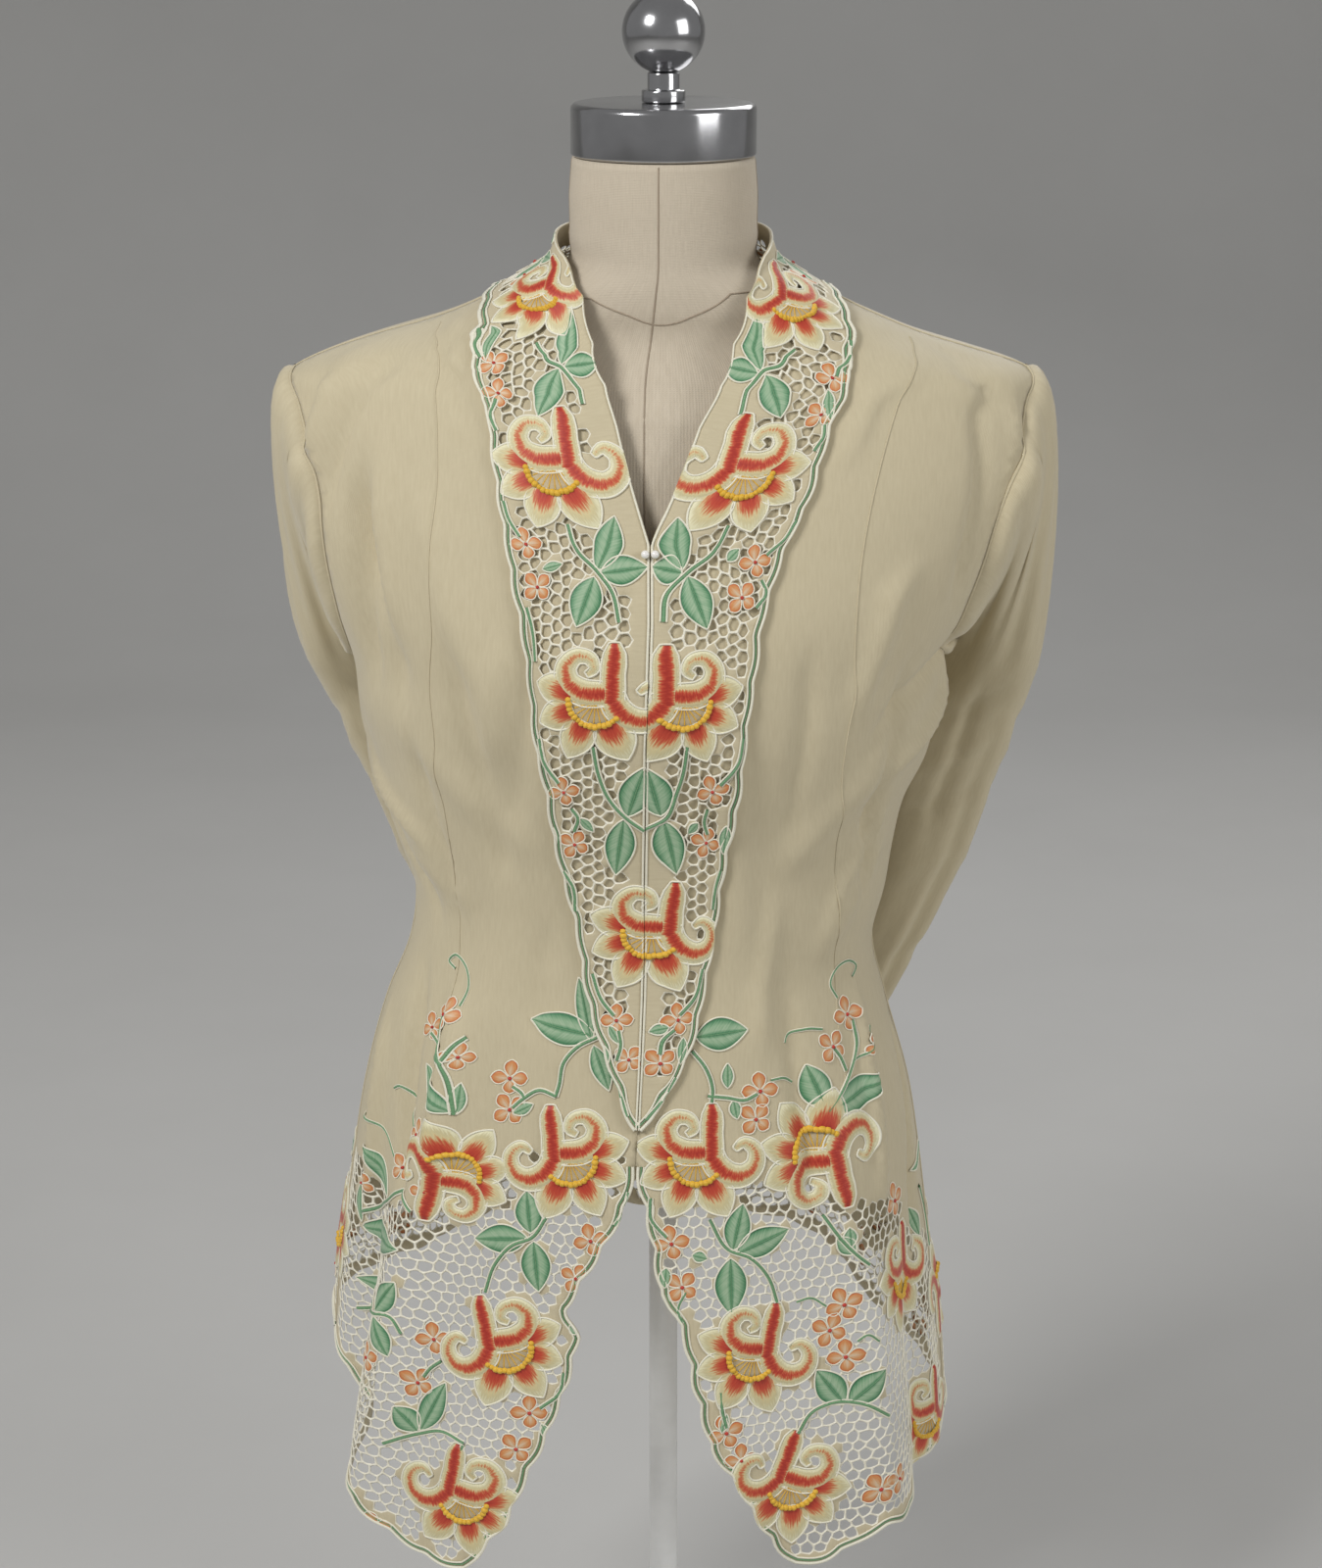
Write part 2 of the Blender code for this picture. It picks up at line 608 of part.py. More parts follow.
def build_wall(name, flat, triangles, place, wall, lift, material):
    """A closed wall of cloth: outer face, inner face and every cut edge between them."""
    used = sorted({index for tri in triangles for index in tri})
    order = {index: k for k, index in enumerate(used)}
    bm = bmesh.new()
    outer = []
    inner = []
    for index in used:
        point, normal = place(flat[index][0], flat[index][1])
        outer.append(bm.verts.new(point + normal * (lift + wall / 2)))
        inner.append(bm.verts.new(point + normal * (lift - wall / 2)))
    edges = {}
    for tri in triangles:
        a, b, c = (order[index] for index in tri)
        bm.faces.new((outer[a], outer[b], outer[c]))
        bm.faces.new((inner[c], inner[b], inner[a]))
        for start, end in ((a, b), (b, c), (c, a)):
            if (end, start) in edges:
                del edges[(end, start)]
            else:
                edges[(start, end)] = True
    for start, end in edges:
        bm.faces.new((outer[end], outer[start], inner[start], inner[end]))
    bmesh.ops.triangulate(bm, faces=[face for face in bm.faces if len(face.verts) > 3])
    bmesh.ops.recalc_face_normals(bm, faces=bm.faces)
    if bm.calc_volume(signed=True) < 0:
        bmesh.ops.reverse_faces(bm, faces=bm.faces)
    return finish_object(name, bm, material)


def finish_object(name, bm, material):
    mesh = bpy.data.meshes.new(name)
    bm.to_mesh(mesh)
    bm.free()
    mesh.shade_smooth()
    mesh.set_sharp_from_angle(angle=SHARP_ANGLE)
    mesh.materials.append(material)
    thing = bpy.data.objects.new(name, mesh)
    bpy.context.collection.objects.link(thing)
    return thing


def make_material(name, colour, roughness, metallic=0.0):
    material = bpy.data.materials.new(name)
    material.use_nodes = True
    shader = material.node_tree.nodes["Principled BSDF"]
    shader.inputs["Base Color"].default_value = (*colour, 1.0)
    shader.inputs["Roughness"].default_value = roughness
    shader.inputs["Metallic"].default_value = metallic
    return material


def net_top(side, turn_degrees):
    return row_value(NET_TOP, "turn", side, turn_degrees)


def off_motifs(turn, drop):
    """True where the border is open net and no motif lies."""
    side = side_of(turn)
    if drop < net_top(side, abs(math.degrees(turn))) + NET_TOP_EDGE:
        return False
    for motif in HEM_MOTIFS:
        off_turn = (math.degrees(turn) - motif.turn + 180.0) % 360.0 - 180.0
        across = math.radians(off_turn) * HEM_RADIUS
        if math.hypot(across, drop - motif.drop) < motif.reach + NET_PITCH / 2:
            return False
    return True


def front_keep(u, path):
    drop = drop_at(path)
    return off_motifs(turn_at_u(u, drop), drop)


def from_back(side, u, drop):
    """Distance from the centre back to u."""
    return half_round(side, drop) - abs(u)


def back_u(w, drop):
    """u of a place at signed distance w from the centre back, above 0 to the viewer's right."""
    side = "left" if w < 0 else "right"
    return sign_of(side) * (half_round(side, drop) - abs(w))


def back_keep(w, path):
    drop = drop_at(path)
    return off_motifs(turn_at_u(back_u(w, drop), drop), drop)


def front_place(u, path):
    return skin_frame(u, drop_at(path))


def back_place(w, path):
    drop = drop_at(path)
    return skin_frame(back_u(w, drop), drop)


def flat_panel(outline):
    """An outline in (distance round, drop) turned into (distance round, distance down)."""
    return [(round_body, path_at(drop)) for round_body, drop in outline]


def column_of(drops, u_of):
    return [(u_of(drop), drop) for drop in drops]


def shoulder_drops(start, end):
    """Drops down the shoulder seam, even along the cloth."""
    return [drop_at(path) for path in even(path_at(start), path_at(end), SHOULDER_STEP)]


def seam_line(side, drops):
    """The shoulder seam or the side seam at the given drops."""
    turn = sign_of(side) * math.radians(SHOULDER_TURN)
    return column_of(drops, lambda drop: u_at_turn(turn, drop))


def even(start, end, step):
    return list(np.linspace(start, end, max(1, round(abs(end - start) / step)) + 1))


def armhole(side, part):
    """The armhole's cut edge on the front or on the back, from its top to its bottom."""
    points = []
    for angle in np.linspace(90, -90, SLEEVE_AROUND // 2 + 1):
        drop = ARMHOLE_DROP - ARMHOLE_TALL * math.sin(math.radians(angle))
        depth = float(np.interp(drop, RING_TABLE["drop"], RING_TABLE[part]))
        share = (ARMHOLE_DEEP * math.cos(math.radians(angle)) / depth) ** (RING_POWER / 2)
        turn = math.acos(share) if part == "front" else math.pi - math.acos(share)
        points.append((u_at_turn(sign_of(side) * turn, drop), drop))
    return points


def tip(side):
    turn = TIP_TURN[side]
    drop = hem_drop(side, turn)
    return u_at_turn(sign_of(side) * math.radians(turn), drop), drop


def hem_line(side, start, end):
    """The hem from one turn to another, in degrees."""
    points = []
    for turn in even(start, end, HEM_TURN_STEP):
        drop = hem_drop(side, turn)
        points.append((u_at_turn(sign_of(side) * math.radians(turn), drop), drop))
    return points


def flap_line(side):
    """The front edge of the hanging point, from where the fronts part down to the tip."""
    rows = [(u_at_x(getattr(row, side), row.drop), row.drop) for row in FLAP_EDGE]
    return rows + [tip(side)]


def neckline(side):
    """The front's neck edge under the lapel, from the closure up to the shoulder seam."""
    sign = sign_of(side)
    points = [(centre_u(CLOSURE.inner_drop) + sign * CLOSURE_UNDER, CLOSURE.inner_drop)]
    for row in BAND_FRONT[CLOSURE_ROW - 1:0:-1]:
        x = getattr(row, side + "_inner") + sign * NECK_UNDER
        points.append((u_at_x(x, row.inner_drop), row.inner_drop))
    corner = sign * math.radians(NECK_CORNER_TURN)
    points.append((u_at_turn(corner, BACK_NECK_DROP), BACK_NECK_DROP))
    return points


def join(*lines):
    """One closed outline from lines that meet end to end."""
    points = []
    for line in lines:
        for point in line:
            point = (float(point[0]), float(point[1]))
            if points and math.hypot(point[0] - points[-1][0], point[1] - points[-1][1]) < 1e-5:
                continue
            points.append(point)
    if math.hypot(points[0][0] - points[-1][0], points[0][1] - points[-1][1]) < 1e-5:
        points.pop()
    return points


def shifted(points, distance):
    return [(u + distance, drop) for u, drop in points]


def front_centre_outline(side):
    sign = sign_of(side)
    half_gap = sign * SEAM_GAP / 2
    foot = princess_foot(side)
    opening = column_of(even(FLAP_EDGE[0].drop, CLOSURE.inner_drop, SEAM_STEP)[:-1], centre_u)
    seam = princess_line(side)
    shoulder = seam_line(side, shoulder_drops(BACK_NECK_DROP, PRINCESS_TOP[side]))
    foot_turn = math.degrees(abs(turn_at_u(princess_u(side, foot), foot)))
    hem = scallop(hem_line(side, foot_turn, TIP_TURN[side]), HEM_SCALLOP, -sign)
    flap = scallop(flap_line(side)[::-1], HEM_SCALLOP, -sign)
    return join(shifted(opening, half_gap), shifted(neckline(side), half_gap),
                shifted(shoulder, -half_gap), shifted(seam[1:], -half_gap),
                shifted(hem[1:-1], -half_gap), flap[:-1])


def front_side_outline(side):
    sign = sign_of(side)
    half_gap = sign * SEAM_GAP / 2
    seam = princess_line(side)
    shoulder = seam_line(side, shoulder_drops(PRINCESS_TOP[side], ARMHOLE_DROP - ARMHOLE_TALL))
    corner = seam_line(side, [PRINCESS_TOP[side] + CORNER_GAP])
    side_foot = hem_drop(side, SHOULDER_TURN)
    side_seam = seam_line(side, even(ARMHOLE_DROP + ARMHOLE_TALL, side_foot, SEAM_STEP))
    foot = princess_foot(side)
    foot_turn = math.degrees(abs(turn_at_u(princess_u(side, foot), foot)))
    hem = scallop(hem_line(side, SHOULDER_TURN, foot_turn), HEM_SCALLOP, -sign)
    return join(shifted(seam[:0:-1], half_gap), shifted(corner + shoulder[1:], -half_gap),
                shifted(armhole(side, "front")[1:], -half_gap), shifted(side_seam[1:], -half_gap),
                hem[1:-1])


def back_half(side):
    """One half of the back's outline, with distances from the centre back above 0."""
    shoulder = math.radians(SHOULDER_TURN)
    corners = []
    for turn in even(180.0, SHOULDER_TURN, NECK_TURN_STEP):
        corners.append((math.radians(turn), BACK_NECK_DROP))
    for drop in shoulder_drops(BACK_NECK_DROP, PRINCESS_TOP[side])[1:]:
        corners.append((shoulder, drop))
    for drop in shoulder_drops(PRINCESS_TOP[side], ARMHOLE_DROP - ARMHOLE_TALL)[1:]:
        corners.append((shoulder, drop))
    half = [(from_back(side, u_at_turn(sign_of(side) * turn, drop), drop), drop)
            for turn, drop in corners]
    half += [(from_back(side, u, drop), drop) for u, drop in armhole(side, "back")[1:]]
    side_drops = even(ARMHOLE_DROP + ARMHOLE_TALL, hem_drop(side, SHOULDER_TURN), SEAM_STEP)
    half += [(from_back(side, u, drop), drop) for u, drop in seam_line(side, side_drops[1:])]
    half = [(w - SEAM_GAP / 2, drop) if w > SEAM_GAP else (w, drop) for w, drop in half]
    hem = [(from_back(side, u, drop), drop) for u, drop in hem_line(side, SHOULDER_TURN, 180.0)]
    hem = scallop(hem, HEM_SCALLOP, -1)
    return half + [tuple(point) for point in hem[1:]]


def back_outline():
    right = back_half("right")
    left = [(-w, drop) for w, drop in back_half("left")]
    return join(right, left[::-1])


class Band:
    """The lapel's own flat domain: (along, across), from the centre back to the foot."""

    def __init__(self, side):
        sign = sign_of(side)
        inner = []
        outer = []
        for row in BAND_NECK:
            turn = sign * math.radians(row.turn)
            inner.append((turn, row.inner_drop))
            outer.append((turn, row.outer_drop))
        for row in BAND_FRONT:
            inner.append((turn_at_x(getattr(row, side + "_inner"), row.inner_drop), row.inner_drop))
            outer.append((turn_at_x(getattr(row, side + "_outer"), row.outer_drop), row.outer_drop))
        self.side = side
        self.sign = sign
        self.knots = np.arange(len(inner), dtype=float)
        self.inner = np.array(inner)
        self.outer = np.array(outer)
        steps = np.linspace(0.0, self.knots[-1], 10 * len(inner))
        middle = [skin(*self.blend(at, 0.5)) for at in steps]
        run = [0.0]
        for near, far in zip(middle, middle[1:]):
            run.append(run[-1] + (far - near).length)
        self.steps = steps
        self.run = np.array(run)
        self.widths = np.array([self.width_at(at) for at in steps])
        self.length = self.run[-1]

    def blend(self, at, share):
        """(u, drop) at a station and a share of the width: the inner edge runs straight."""
        place = []
        for axis in (0, 1):
            near = float(np.interp(at, self.knots, self.inner[:, axis]))
            far = float(smooth_column(self.knots, self.outer[:, axis], at))
            place.append((1 - share) * near + share * far)
        turn, drop = place
        return u_at_turn(turn, drop), drop

    def width_at(self, at):
        shares = np.linspace(0.0, 1.0, 7)
        points = [skin(*self.blend(at, share)) for share in shares]
        return sum((far - near).length for near, far in zip(points, points[1:]))

    def width(self, along):
        return float(np.interp(along, self.run, self.widths))

    def to_skin(self, along, across):
        """(u, drop) under a place of the band."""
        at = float(np.interp(along, self.run, self.steps))
        return self.blend(at, across / self.width(along))

    def place(self, along, across):
        return skin_frame(*self.to_skin(along, self.sign * across))

    def outline(self):
        """The cut edge, in (along, signed across) so that both lapels face outward."""
        alongs = even(SEAM_GAP / 2, self.length - LAPEL_POINT, LAPEL_STEP)
        inner = [(along, SEAM_GAP / 2) for along in alongs]
        outer = np.array([(along, self.width(along)) for along in alongs])
        outer = scallop(outer, LAPEL_SCALLOP, 1)
        points = inner + [tuple(point) for point in outer[::-1]]
        return [(along, self.sign * across) for along, across in join(points)]

    def keep(self, along, across):
        """True where the band is open net and no motif lies."""
        across = self.sign * across
        plain = BAND_PLAIN if along < self.closure() else 0.0
        if across < plain + NET_PITCH:
            return False
        for motif in BAND_MOTIFS:
            off = math.hypot(along - motif.along, across - motif.across)
            if off < motif.reach + NET_PITCH / 2:
                return False
        return True

    def closure(self):
        """How far down the band the two lapels meet."""
        return float(np.interp(len(BAND_NECK) + CLOSURE_ROW, self.steps, self.run))


def merge_shortest(cell):
    """An opening with the two nearest of its corners made one."""
    sides = np.hypot(*(cell - np.roll(cell, -1, axis=0)).T)
    k = int(np.argmin(sides))
    other = (k + 1) % len(cell)
    merged = cell.copy()
    merged[k] = (cell[k] + cell[other]) / 2
    return np.delete(merged, other, axis=0)


def body_detail(u, path):
    """More points where the cloth curves: under the lapels, at the shoulders, in the skirt."""
    drop = drop_at(path)
    under = float(np.interp(drop, LAPEL_REACH_DROPS, LAPEL_REACH))
    if abs(u) < under or drop < SHOULDER_FOOT:
        return 2
    return 1 if drop > SKIRT_TOP else 0


def back_detail(w, path):
    drop = drop_at(path)
    if drop < NAPE_FOOT:
        return 2
    return 1 if drop > SKIRT_TOP or drop < SHOULDER_FOOT else 0


def all_detail(along, across):
    return 2


Panel = namedtuple("Panel", "name outline detail place keep seed")


def build_panel(panel, holes, wall, lift, material):
    holes = [merge_shortest(hole) for hole in holes]
    flat, triangles = triangles_of(panel.outline, holes, panel.detail)
    return build_wall(panel.name, flat, triangles, panel.place, wall, lift, material)


# Sleeves: level sections below the armhole, each from its outer to its inner edge
SleeveRow = namedtuple("SleeveRow", "drop outer_x outer_y inner_x inner_y thick")
SLEEVES = {
    "right": [
        SleeveRow(0.345, 0.2250, 0.028, 0.1650, 0.104, 0.050),
        SleeveRow(0.372, 0.2187, 0.038, 0.1460, 0.118, 0.052),
        SleeveRow(0.420, 0.2060, 0.052, 0.1080, 0.130, 0.052),
        SleeveRow(0.462, 0.1950, 0.064, 0.0890, 0.136, 0.050),
        SleeveRow(0.526, 0.1710, 0.080, 0.0630, 0.144, 0.046),
        SleeveRow(0.585, 0.1450, 0.096, 0.0410, 0.154, 0.043),
        SleeveRow(0.640, 0.1210, 0.116, 0.0200, 0.166, 0.040),
        SleeveRow(0.692, 0.1000, 0.134, 0.0060, 0.176, 0.038),
    ],
    "left": [
        SleeveRow(0.345, -0.2130, 0.046, -0.1760, 0.120, 0.044),
        SleeveRow(0.372, -0.2030, 0.058, -0.1560, 0.128, 0.046),
        SleeveRow(0.420, -0.1870, 0.072, -0.1120, 0.136, 0.048),
        SleeveRow(0.462, -0.1720, 0.082, -0.0860, 0.140, 0.048),
        SleeveRow(0.515, -0.1530, 0.094, -0.0640, 0.146, 0.045),
        SleeveRow(0.570, -0.1340, 0.106, -0.0430, 0.156, 0.042),
        SleeveRow(0.625, -0.1140, 0.122, -0.0240, 0.168, 0.040),
        SleeveRow(0.678, -0.0960, 0.138, -0.0120, 0.178, 0.038),
    ],
}
SLEEVE_HEAD_RINGS = 6
SLEEVE_STEP = 0.050
# The sleeve head is a curve from each point of the armhole to the first level section
HEAD_LEAVE = Vector((0.6, 0.0, -0.2))     # added to the skin's normal, for the right sleeve
HEAD_ARRIVE = Vector((0.0, 0.1, -1.0))
HEAD_LEAVE_PUSH = 0.095
HEAD_ARRIVE_PUSH = 0.110
HEAD_LEAVE_SHARE = 0.85    # neither push is longer than this share of the way to go
HEAD_ARRIVE_SHARE = 0.90
HEAD_SPACING = 1.5         # above 1 the head's rings lie closer at the armhole
# Long creases of the sleeves: angle round the section, top and end drop, half width, height
SleeveFold = namedtuple("SleeveFold", "angle top end half_width height")
SLEEVE_FOLDS = [
    SleeveFold(150, 0.24, 0.56, 16, 0.0035),
    SleeveFold(195, 0.30, 0.66, 14, -0.0035),
    SleeveFold(330, 0.28, 0.60, 16, 0.0035),
    SleeveFold(30, 0.32, 0.66, 15, -0.0035),
]
SLEEVE_FOLD_PAST = 0.1     # a crease runs on this far below its end drop
SLEEVE_FOLD_RISE = 0.4     # share of its length over which it starts and ends
SLEEVE_FOLD_END = 1.2      # where it has faded out, as a share of its length


def sleeve_section(side, drop, angle):
    """A point of a level section: 90 degrees at the outer edge, 270 at the inner one."""
    rows = SLEEVES[side]
    outer = Vector((row_value(rows, "drop", "outer_x", drop), row_value(rows, "drop", "outer_y", drop)))
    inner = Vector((row_value(rows, "drop", "inner_x", drop), row_value(rows, "drop", "inner_y", drop)))
    thick = row_value(rows, "drop", "thick", drop) / 2
    middle = (outer + inner) / 2
    half = (outer - inner) / 2
    face = Vector((-abs(half.y) * sign_of(side), -abs(half.x))).normalized()
    flat = middle + half * math.sin(angle) - face * thick * math.cos(angle)
    for fold in SLEEVE_FOLDS:
        if not fold.top < drop < fold.end + SLEEVE_FOLD_PAST:
            continue
        off = (math.degrees(angle) - fold.angle + 180.0) % 360.0 - 180.0
        along = (drop - fold.top) / (fold.end - fold.top)
        fade = ease(along / SLEEVE_FOLD_RISE) * ease((SLEEVE_FOLD_END - along) / SLEEVE_FOLD_RISE)
        lift = fold.height * fade * math.exp(-(off / fold.half_width) ** 2)
        flat += (flat - middle).normalized() * lift
    return Vector((flat.x, flat.y, CAP_TOP - drop))


def armhole_point(side, angle, inset):
    """A place just inside the armhole's edge: the point and the skin's normal there."""
    drop = ARMHOLE_DROP - (ARMHOLE_TALL - inset) * math.sin(angle)
    part = "back" if math.cos(angle) > 0 else "front"
    depth = float(np.interp(drop, RING_TABLE["drop"], RING_TABLE[part]))
    share = ((ARMHOLE_DEEP - inset) * abs(math.cos(angle)) / depth) ** (RING_POWER / 2)
    turn = math.pi - math.acos(share) if part == "back" else math.acos(share)
    return skin_frame(u_at_turn(sign_of(side) * turn, drop), drop)


def curve_point(start, leave, end, arrive, t):
    """A cubic between two points with its direction given at both."""
    return ((2 * t ** 3 - 3 * t ** 2 + 1) * start + (t ** 3 - 2 * t ** 2 + t) * leave
            + (3 * t ** 2 - 2 * t ** 3) * end + (t ** 3 - t ** 2) * arrive)


def sleeve_grid(side):
    """Rings of points from the armhole to the cuff, and the first ring's normals."""
    sign = sign_of(side)
    angles = [2 * math.pi * k / SLEEVE_AROUND for k in range(SLEEVE_AROUND)]
    edge = [armhole_point(side, angle, SEAM_GAP) for angle in angles]
    first = SLEEVES[side][0].drop
    rings = []
    for k in range(SLEEVE_HEAD_RINGS):
        t = (k / SLEEVE_HEAD_RINGS) ** HEAD_SPACING
        ring = []
        for angle, (start, normal) in zip(angles, edge):
            end = sleeve_section(side, first, angle)
            reach = (end - start).length
            way = normal + Vector((sign * HEAD_LEAVE.x, HEAD_LEAVE.y, HEAD_LEAVE.z))
            leave = way.normalized() * min(HEAD_LEAVE_PUSH, HEAD_LEAVE_SHARE * reach)
            arrive = HEAD_ARRIVE.normalized() * min(HEAD_ARRIVE_PUSH, HEAD_ARRIVE_SHARE * reach)
            ring.append(curve_point(start, leave, end, arrive, t))
        rings.append(ring)
    for drop in even(first, SLEEVES[side][-1].drop, SLEEVE_STEP):
        rings.append([sleeve_section(side, drop, angle) for angle in angles])
    return rings, [normal for _, normal in edge]


def tube_normals(rings, first, sign):
    """Outward normals of a tube's rings from their neighbours."""
    around = len(rings[0])
    normals = [first]
    for k in range(1, len(rings)):
        row = []
        for i in range(around):
            past = rings[min(k + 1, len(rings) - 1)][i] - rings[k - 1][i]
            side = rings[k][(i + 1) % around] - rings[k][i - 1]
            row.append(past.cross(side).normalized() * sign)
        normals.append(row)
    return normals


def build_sleeve(side, material):
    rings, first = sleeve_grid(side)
    normals = tube_normals(rings, first, sign_of(side))
    bm = bmesh.new()
    layers = []
    for lift in (WALL / 2, -WALL / 2):
        layer = []
        for ring, row in zip(rings, normals):
            layer.append([bm.verts.new(point + normal * lift) for point, normal in zip(ring, row)])
        layers.append(layer)
    outer, inner = layers
    around = len(rings[0])
    for layer in layers:
        for near, far in zip(layer, layer[1:]):
            for i in range(around):
                j = (i + 1) % around
                bm.faces.new((near[i], near[j], far[j], far[i]))
    for k in (0, -1):
        for i in range(around):
            j = (i + 1) % around
            bm.faces.new((outer[k][i], outer[k][j], inner[k][j], inner[k][i]))
    bmesh.ops.recalc_face_normals(bm, faces=bm.faces)
    if bm.calc_volume(signed=True) < 0:
        bmesh.ops.reverse_faces(bm, faces=bm.faces)
    return finish_object("sleeve_" + side, bm, material)


# Dress form: level rings with equal sides, from the top of the neck to the flat underside
FormRing = namedtuple("FormRing", "drop half front back")
FORM_RINGS = [
    FormRing(0.0306, 0.0530, 0.0530, 0.0530),
    FormRing(0.0500, 0.0545, 0.0540, 0.0545),
    FormRing(0.0750, 0.0548, 0.0540, 0.0550),
    FormRing(0.0920, 0.0580, 0.0545, 0.0600),
    FormRing(0.1040, 0.0830, 0.0560, 0.0670),
    FormRing(0.1140, 0.1030, 0.0560, 0.0720),
    FormRing(0.1250, 0.1250, 0.0535, 0.0740),
    FormRing(0.1350, 0.1488, 0.0545, 0.0770),
    FormRing(0.1440, 0.1760, 0.0590, 0.0800),
    FormRing(0.1540, 0.1970, 0.0660, 0.0850),
    FormRing(0.1710, 0.2060, 0.0810, 0.0920),
    FormRing(0.2000, 0.2070, 0.0915, 0.0940),
    FormRing(0.2500, 0.1950, 0.1065, 0.0960),
    FormRing(0.2900, 0.1750, 0.1165, 0.0940),
    FormRing(0.3250, 0.1570, 0.1190, 0.0900),
    FormRing(0.3520, 0.1540, 0.1165, 0.0860),
    FormRing(0.3850, 0.1470, 0.1095, 0.0810),
    FormRing(0.4100, 0.1360, 0.1035, 0.0780),
    FormRing(0.4400, 0.1290, 0.0985, 0.0760),
    FormRing(0.4700, 0.1230, 0.0960, 0.0760),
    FormRing(0.5050, 0.1180, 0.0965, 0.0800),
    FormRing(0.5400, 0.1240, 0.0995, 0.0850),
    FormRing(0.5800, 0.1300, 0.1020, 0.0890),
    FormRing(0.5960, 0.1290, 0.1010, 0.0880),
    FormRing(0.6000, 0.1250, 0.0970, 0.0840),
]
FORM_AROUND = 20


def build_form(material):
    bm = bmesh.new()
    rings = []
    for ring in FORM_RINGS:
        row = []
        for k in range(FORM_AROUND):
            turn = 2 * math.pi * k / FORM_AROUND
            signed = turn if turn <= math.pi else 2 * math.pi - turn
            x, y = ring_xy(ring.half, ring.front, ring.back, signed)
            x = float(x) if turn <= math.pi else -float(x)
            row.append(bm.verts.new((x, float(y), CAP_TOP - ring.drop)))
        rings.append(row)
    for near, far in zip(rings, rings[1:]):
        for i in range(FORM_AROUND):
            j = (i + 1) % FORM_AROUND
            bm.faces.new((near[i], near[j], far[j], far[i]))
    bm.faces.new(rings[0])
    bm.faces.new(rings[-1])
    bmesh.ops.recalc_face_normals(bm, faces=bm.faces)
    return finish_object("form_body", bm, material)


# Turned pieces: radius and height above the floor down each outer side
CAP_RADIUS = 0.0540
CAP_TALL = 0.0300
COLLAR_RADIUS = 0.0127
COLLAR_TALL = 0.0070
STEM_RADIUS = 0.0093
STEM_TALL = 0.0100
BALL_RADIUS = 0.0240
POLE_RADIUS = 0.0090
POLE_PLATE_RADIUS = 0.0450
POLE_PLATE_TALL = 0.0060
BASE_RADIUS = 0.1700
BASE_TALL = 0.0120
BOSS_RADIUS = 0.0200
BOSS_TALL = 0.0160
PEARL_RADIUS = 0.0024


def build_turned(name, profile, material, segments):
    """A solid of revolution about the form's axis from (radius, height) points, top to bottom."""
    bm = bmesh.new()
    rings = []
    for radius, height in profile:
        ring = []
        for k in range(segments):
            angle = 2 * math.pi * k / segments
            ring.append(bm.verts.new((radius * math.cos(angle), radius * math.sin(angle), height)))
        rings.append(ring)
    for near, far in zip(rings, rings[1:]):
        for i in range(segments):
            j = (i + 1) % segments
            bm.faces.new((near[i], near[j], far[j], far[i]))
    bm.faces.new(rings[0])
    bm.faces.new(rings[-1])
    bmesh.ops.recalc_face_normals(bm, faces=bm.faces)
    return finish_object(name, bm, material)


def ball_profile(radius, middle, flat_radius):
    """A ball with a small flat seat at its foot."""
    start = 8.0
    end = 180.0 - math.degrees(math.asin(flat_radius / radius))
    angles = np.radians(np.linspace(start, end, 10))
    return [(radius * math.sin(angle), middle + radius * math.cos(angle)) for angle in angles]


def build_stand(form_metal, cap_metal):
    """Cap, finial, pole and base on the form's axis."""
    form_foot = CAP_TOP - FORM_RINGS[-1].drop
    cap_foot = CAP_TOP - CAP_TALL
    build_turned("neck_cap", [
        (CAP_RADIUS - 0.0030, CAP_TOP),
        (CAP_RADIUS - 0.0008, CAP_TOP - 0.0009),
        (CAP_RADIUS, CAP_TOP - 0.0030),
        (CAP_RADIUS, cap_foot + 0.0015),
        (CAP_RADIUS - 0.0015, cap_foot),
    ], cap_metal, 26)
    collar_foot = CAP_TOP + SEAM_GAP
    stem_foot = collar_foot + COLLAR_TALL
    stem_top = stem_foot + STEM_TALL
    build_turned("finial_collar", [
        (STEM_RADIUS, stem_top),
        (STEM_RADIUS, stem_foot + 0.0010),
        (STEM_RADIUS + 0.0010, stem_foot),
        (COLLAR_RADIUS - 0.0010, stem_foot),
        (COLLAR_RADIUS, stem_foot - 0.0012),
        (COLLAR_RADIUS, collar_foot),
    ], cap_metal, 14)
    seat = STEM_RADIUS - 0.0012
    middle = stem_top + SEAM_GAP + math.sqrt(BALL_RADIUS ** 2 - seat ** 2)
    build_turned("finial_ball", ball_profile(BALL_RADIUS, middle, seat), cap_metal, 16)
    boss_top = BASE_TALL + BOSS_TALL
    build_turned("stand_pole", [
        (POLE_PLATE_RADIUS, form_foot - SEAM_GAP),
        (POLE_PLATE_RADIUS, form_foot - SEAM_GAP - POLE_PLATE_TALL),
        (POLE_RADIUS + 0.0040, form_foot - SEAM_GAP - POLE_PLATE_TALL - 0.0040),
        (POLE_RADIUS, form_foot - SEAM_GAP - POLE_PLATE_TALL - 0.0160),
        (POLE_RADIUS, boss_top + SEAM_GAP),
    ], form_metal, 16)
    build_turned("stand_base", [
        (BOSS_RADIUS - 0.0020, boss_top),
        (BOSS_RADIUS, boss_top - 0.0020),
        (BOSS_RADIUS, BASE_TALL + 0.0030),
        (BOSS_RADIUS + 0.0040, BASE_TALL),
        (BASE_RADIUS - 0.0060, BASE_TALL - 0.0030),
        (BASE_RADIUS, BASE_TALL - 0.0070),
        (BASE_RADIUS, 0.0),
    ], form_metal, 30)


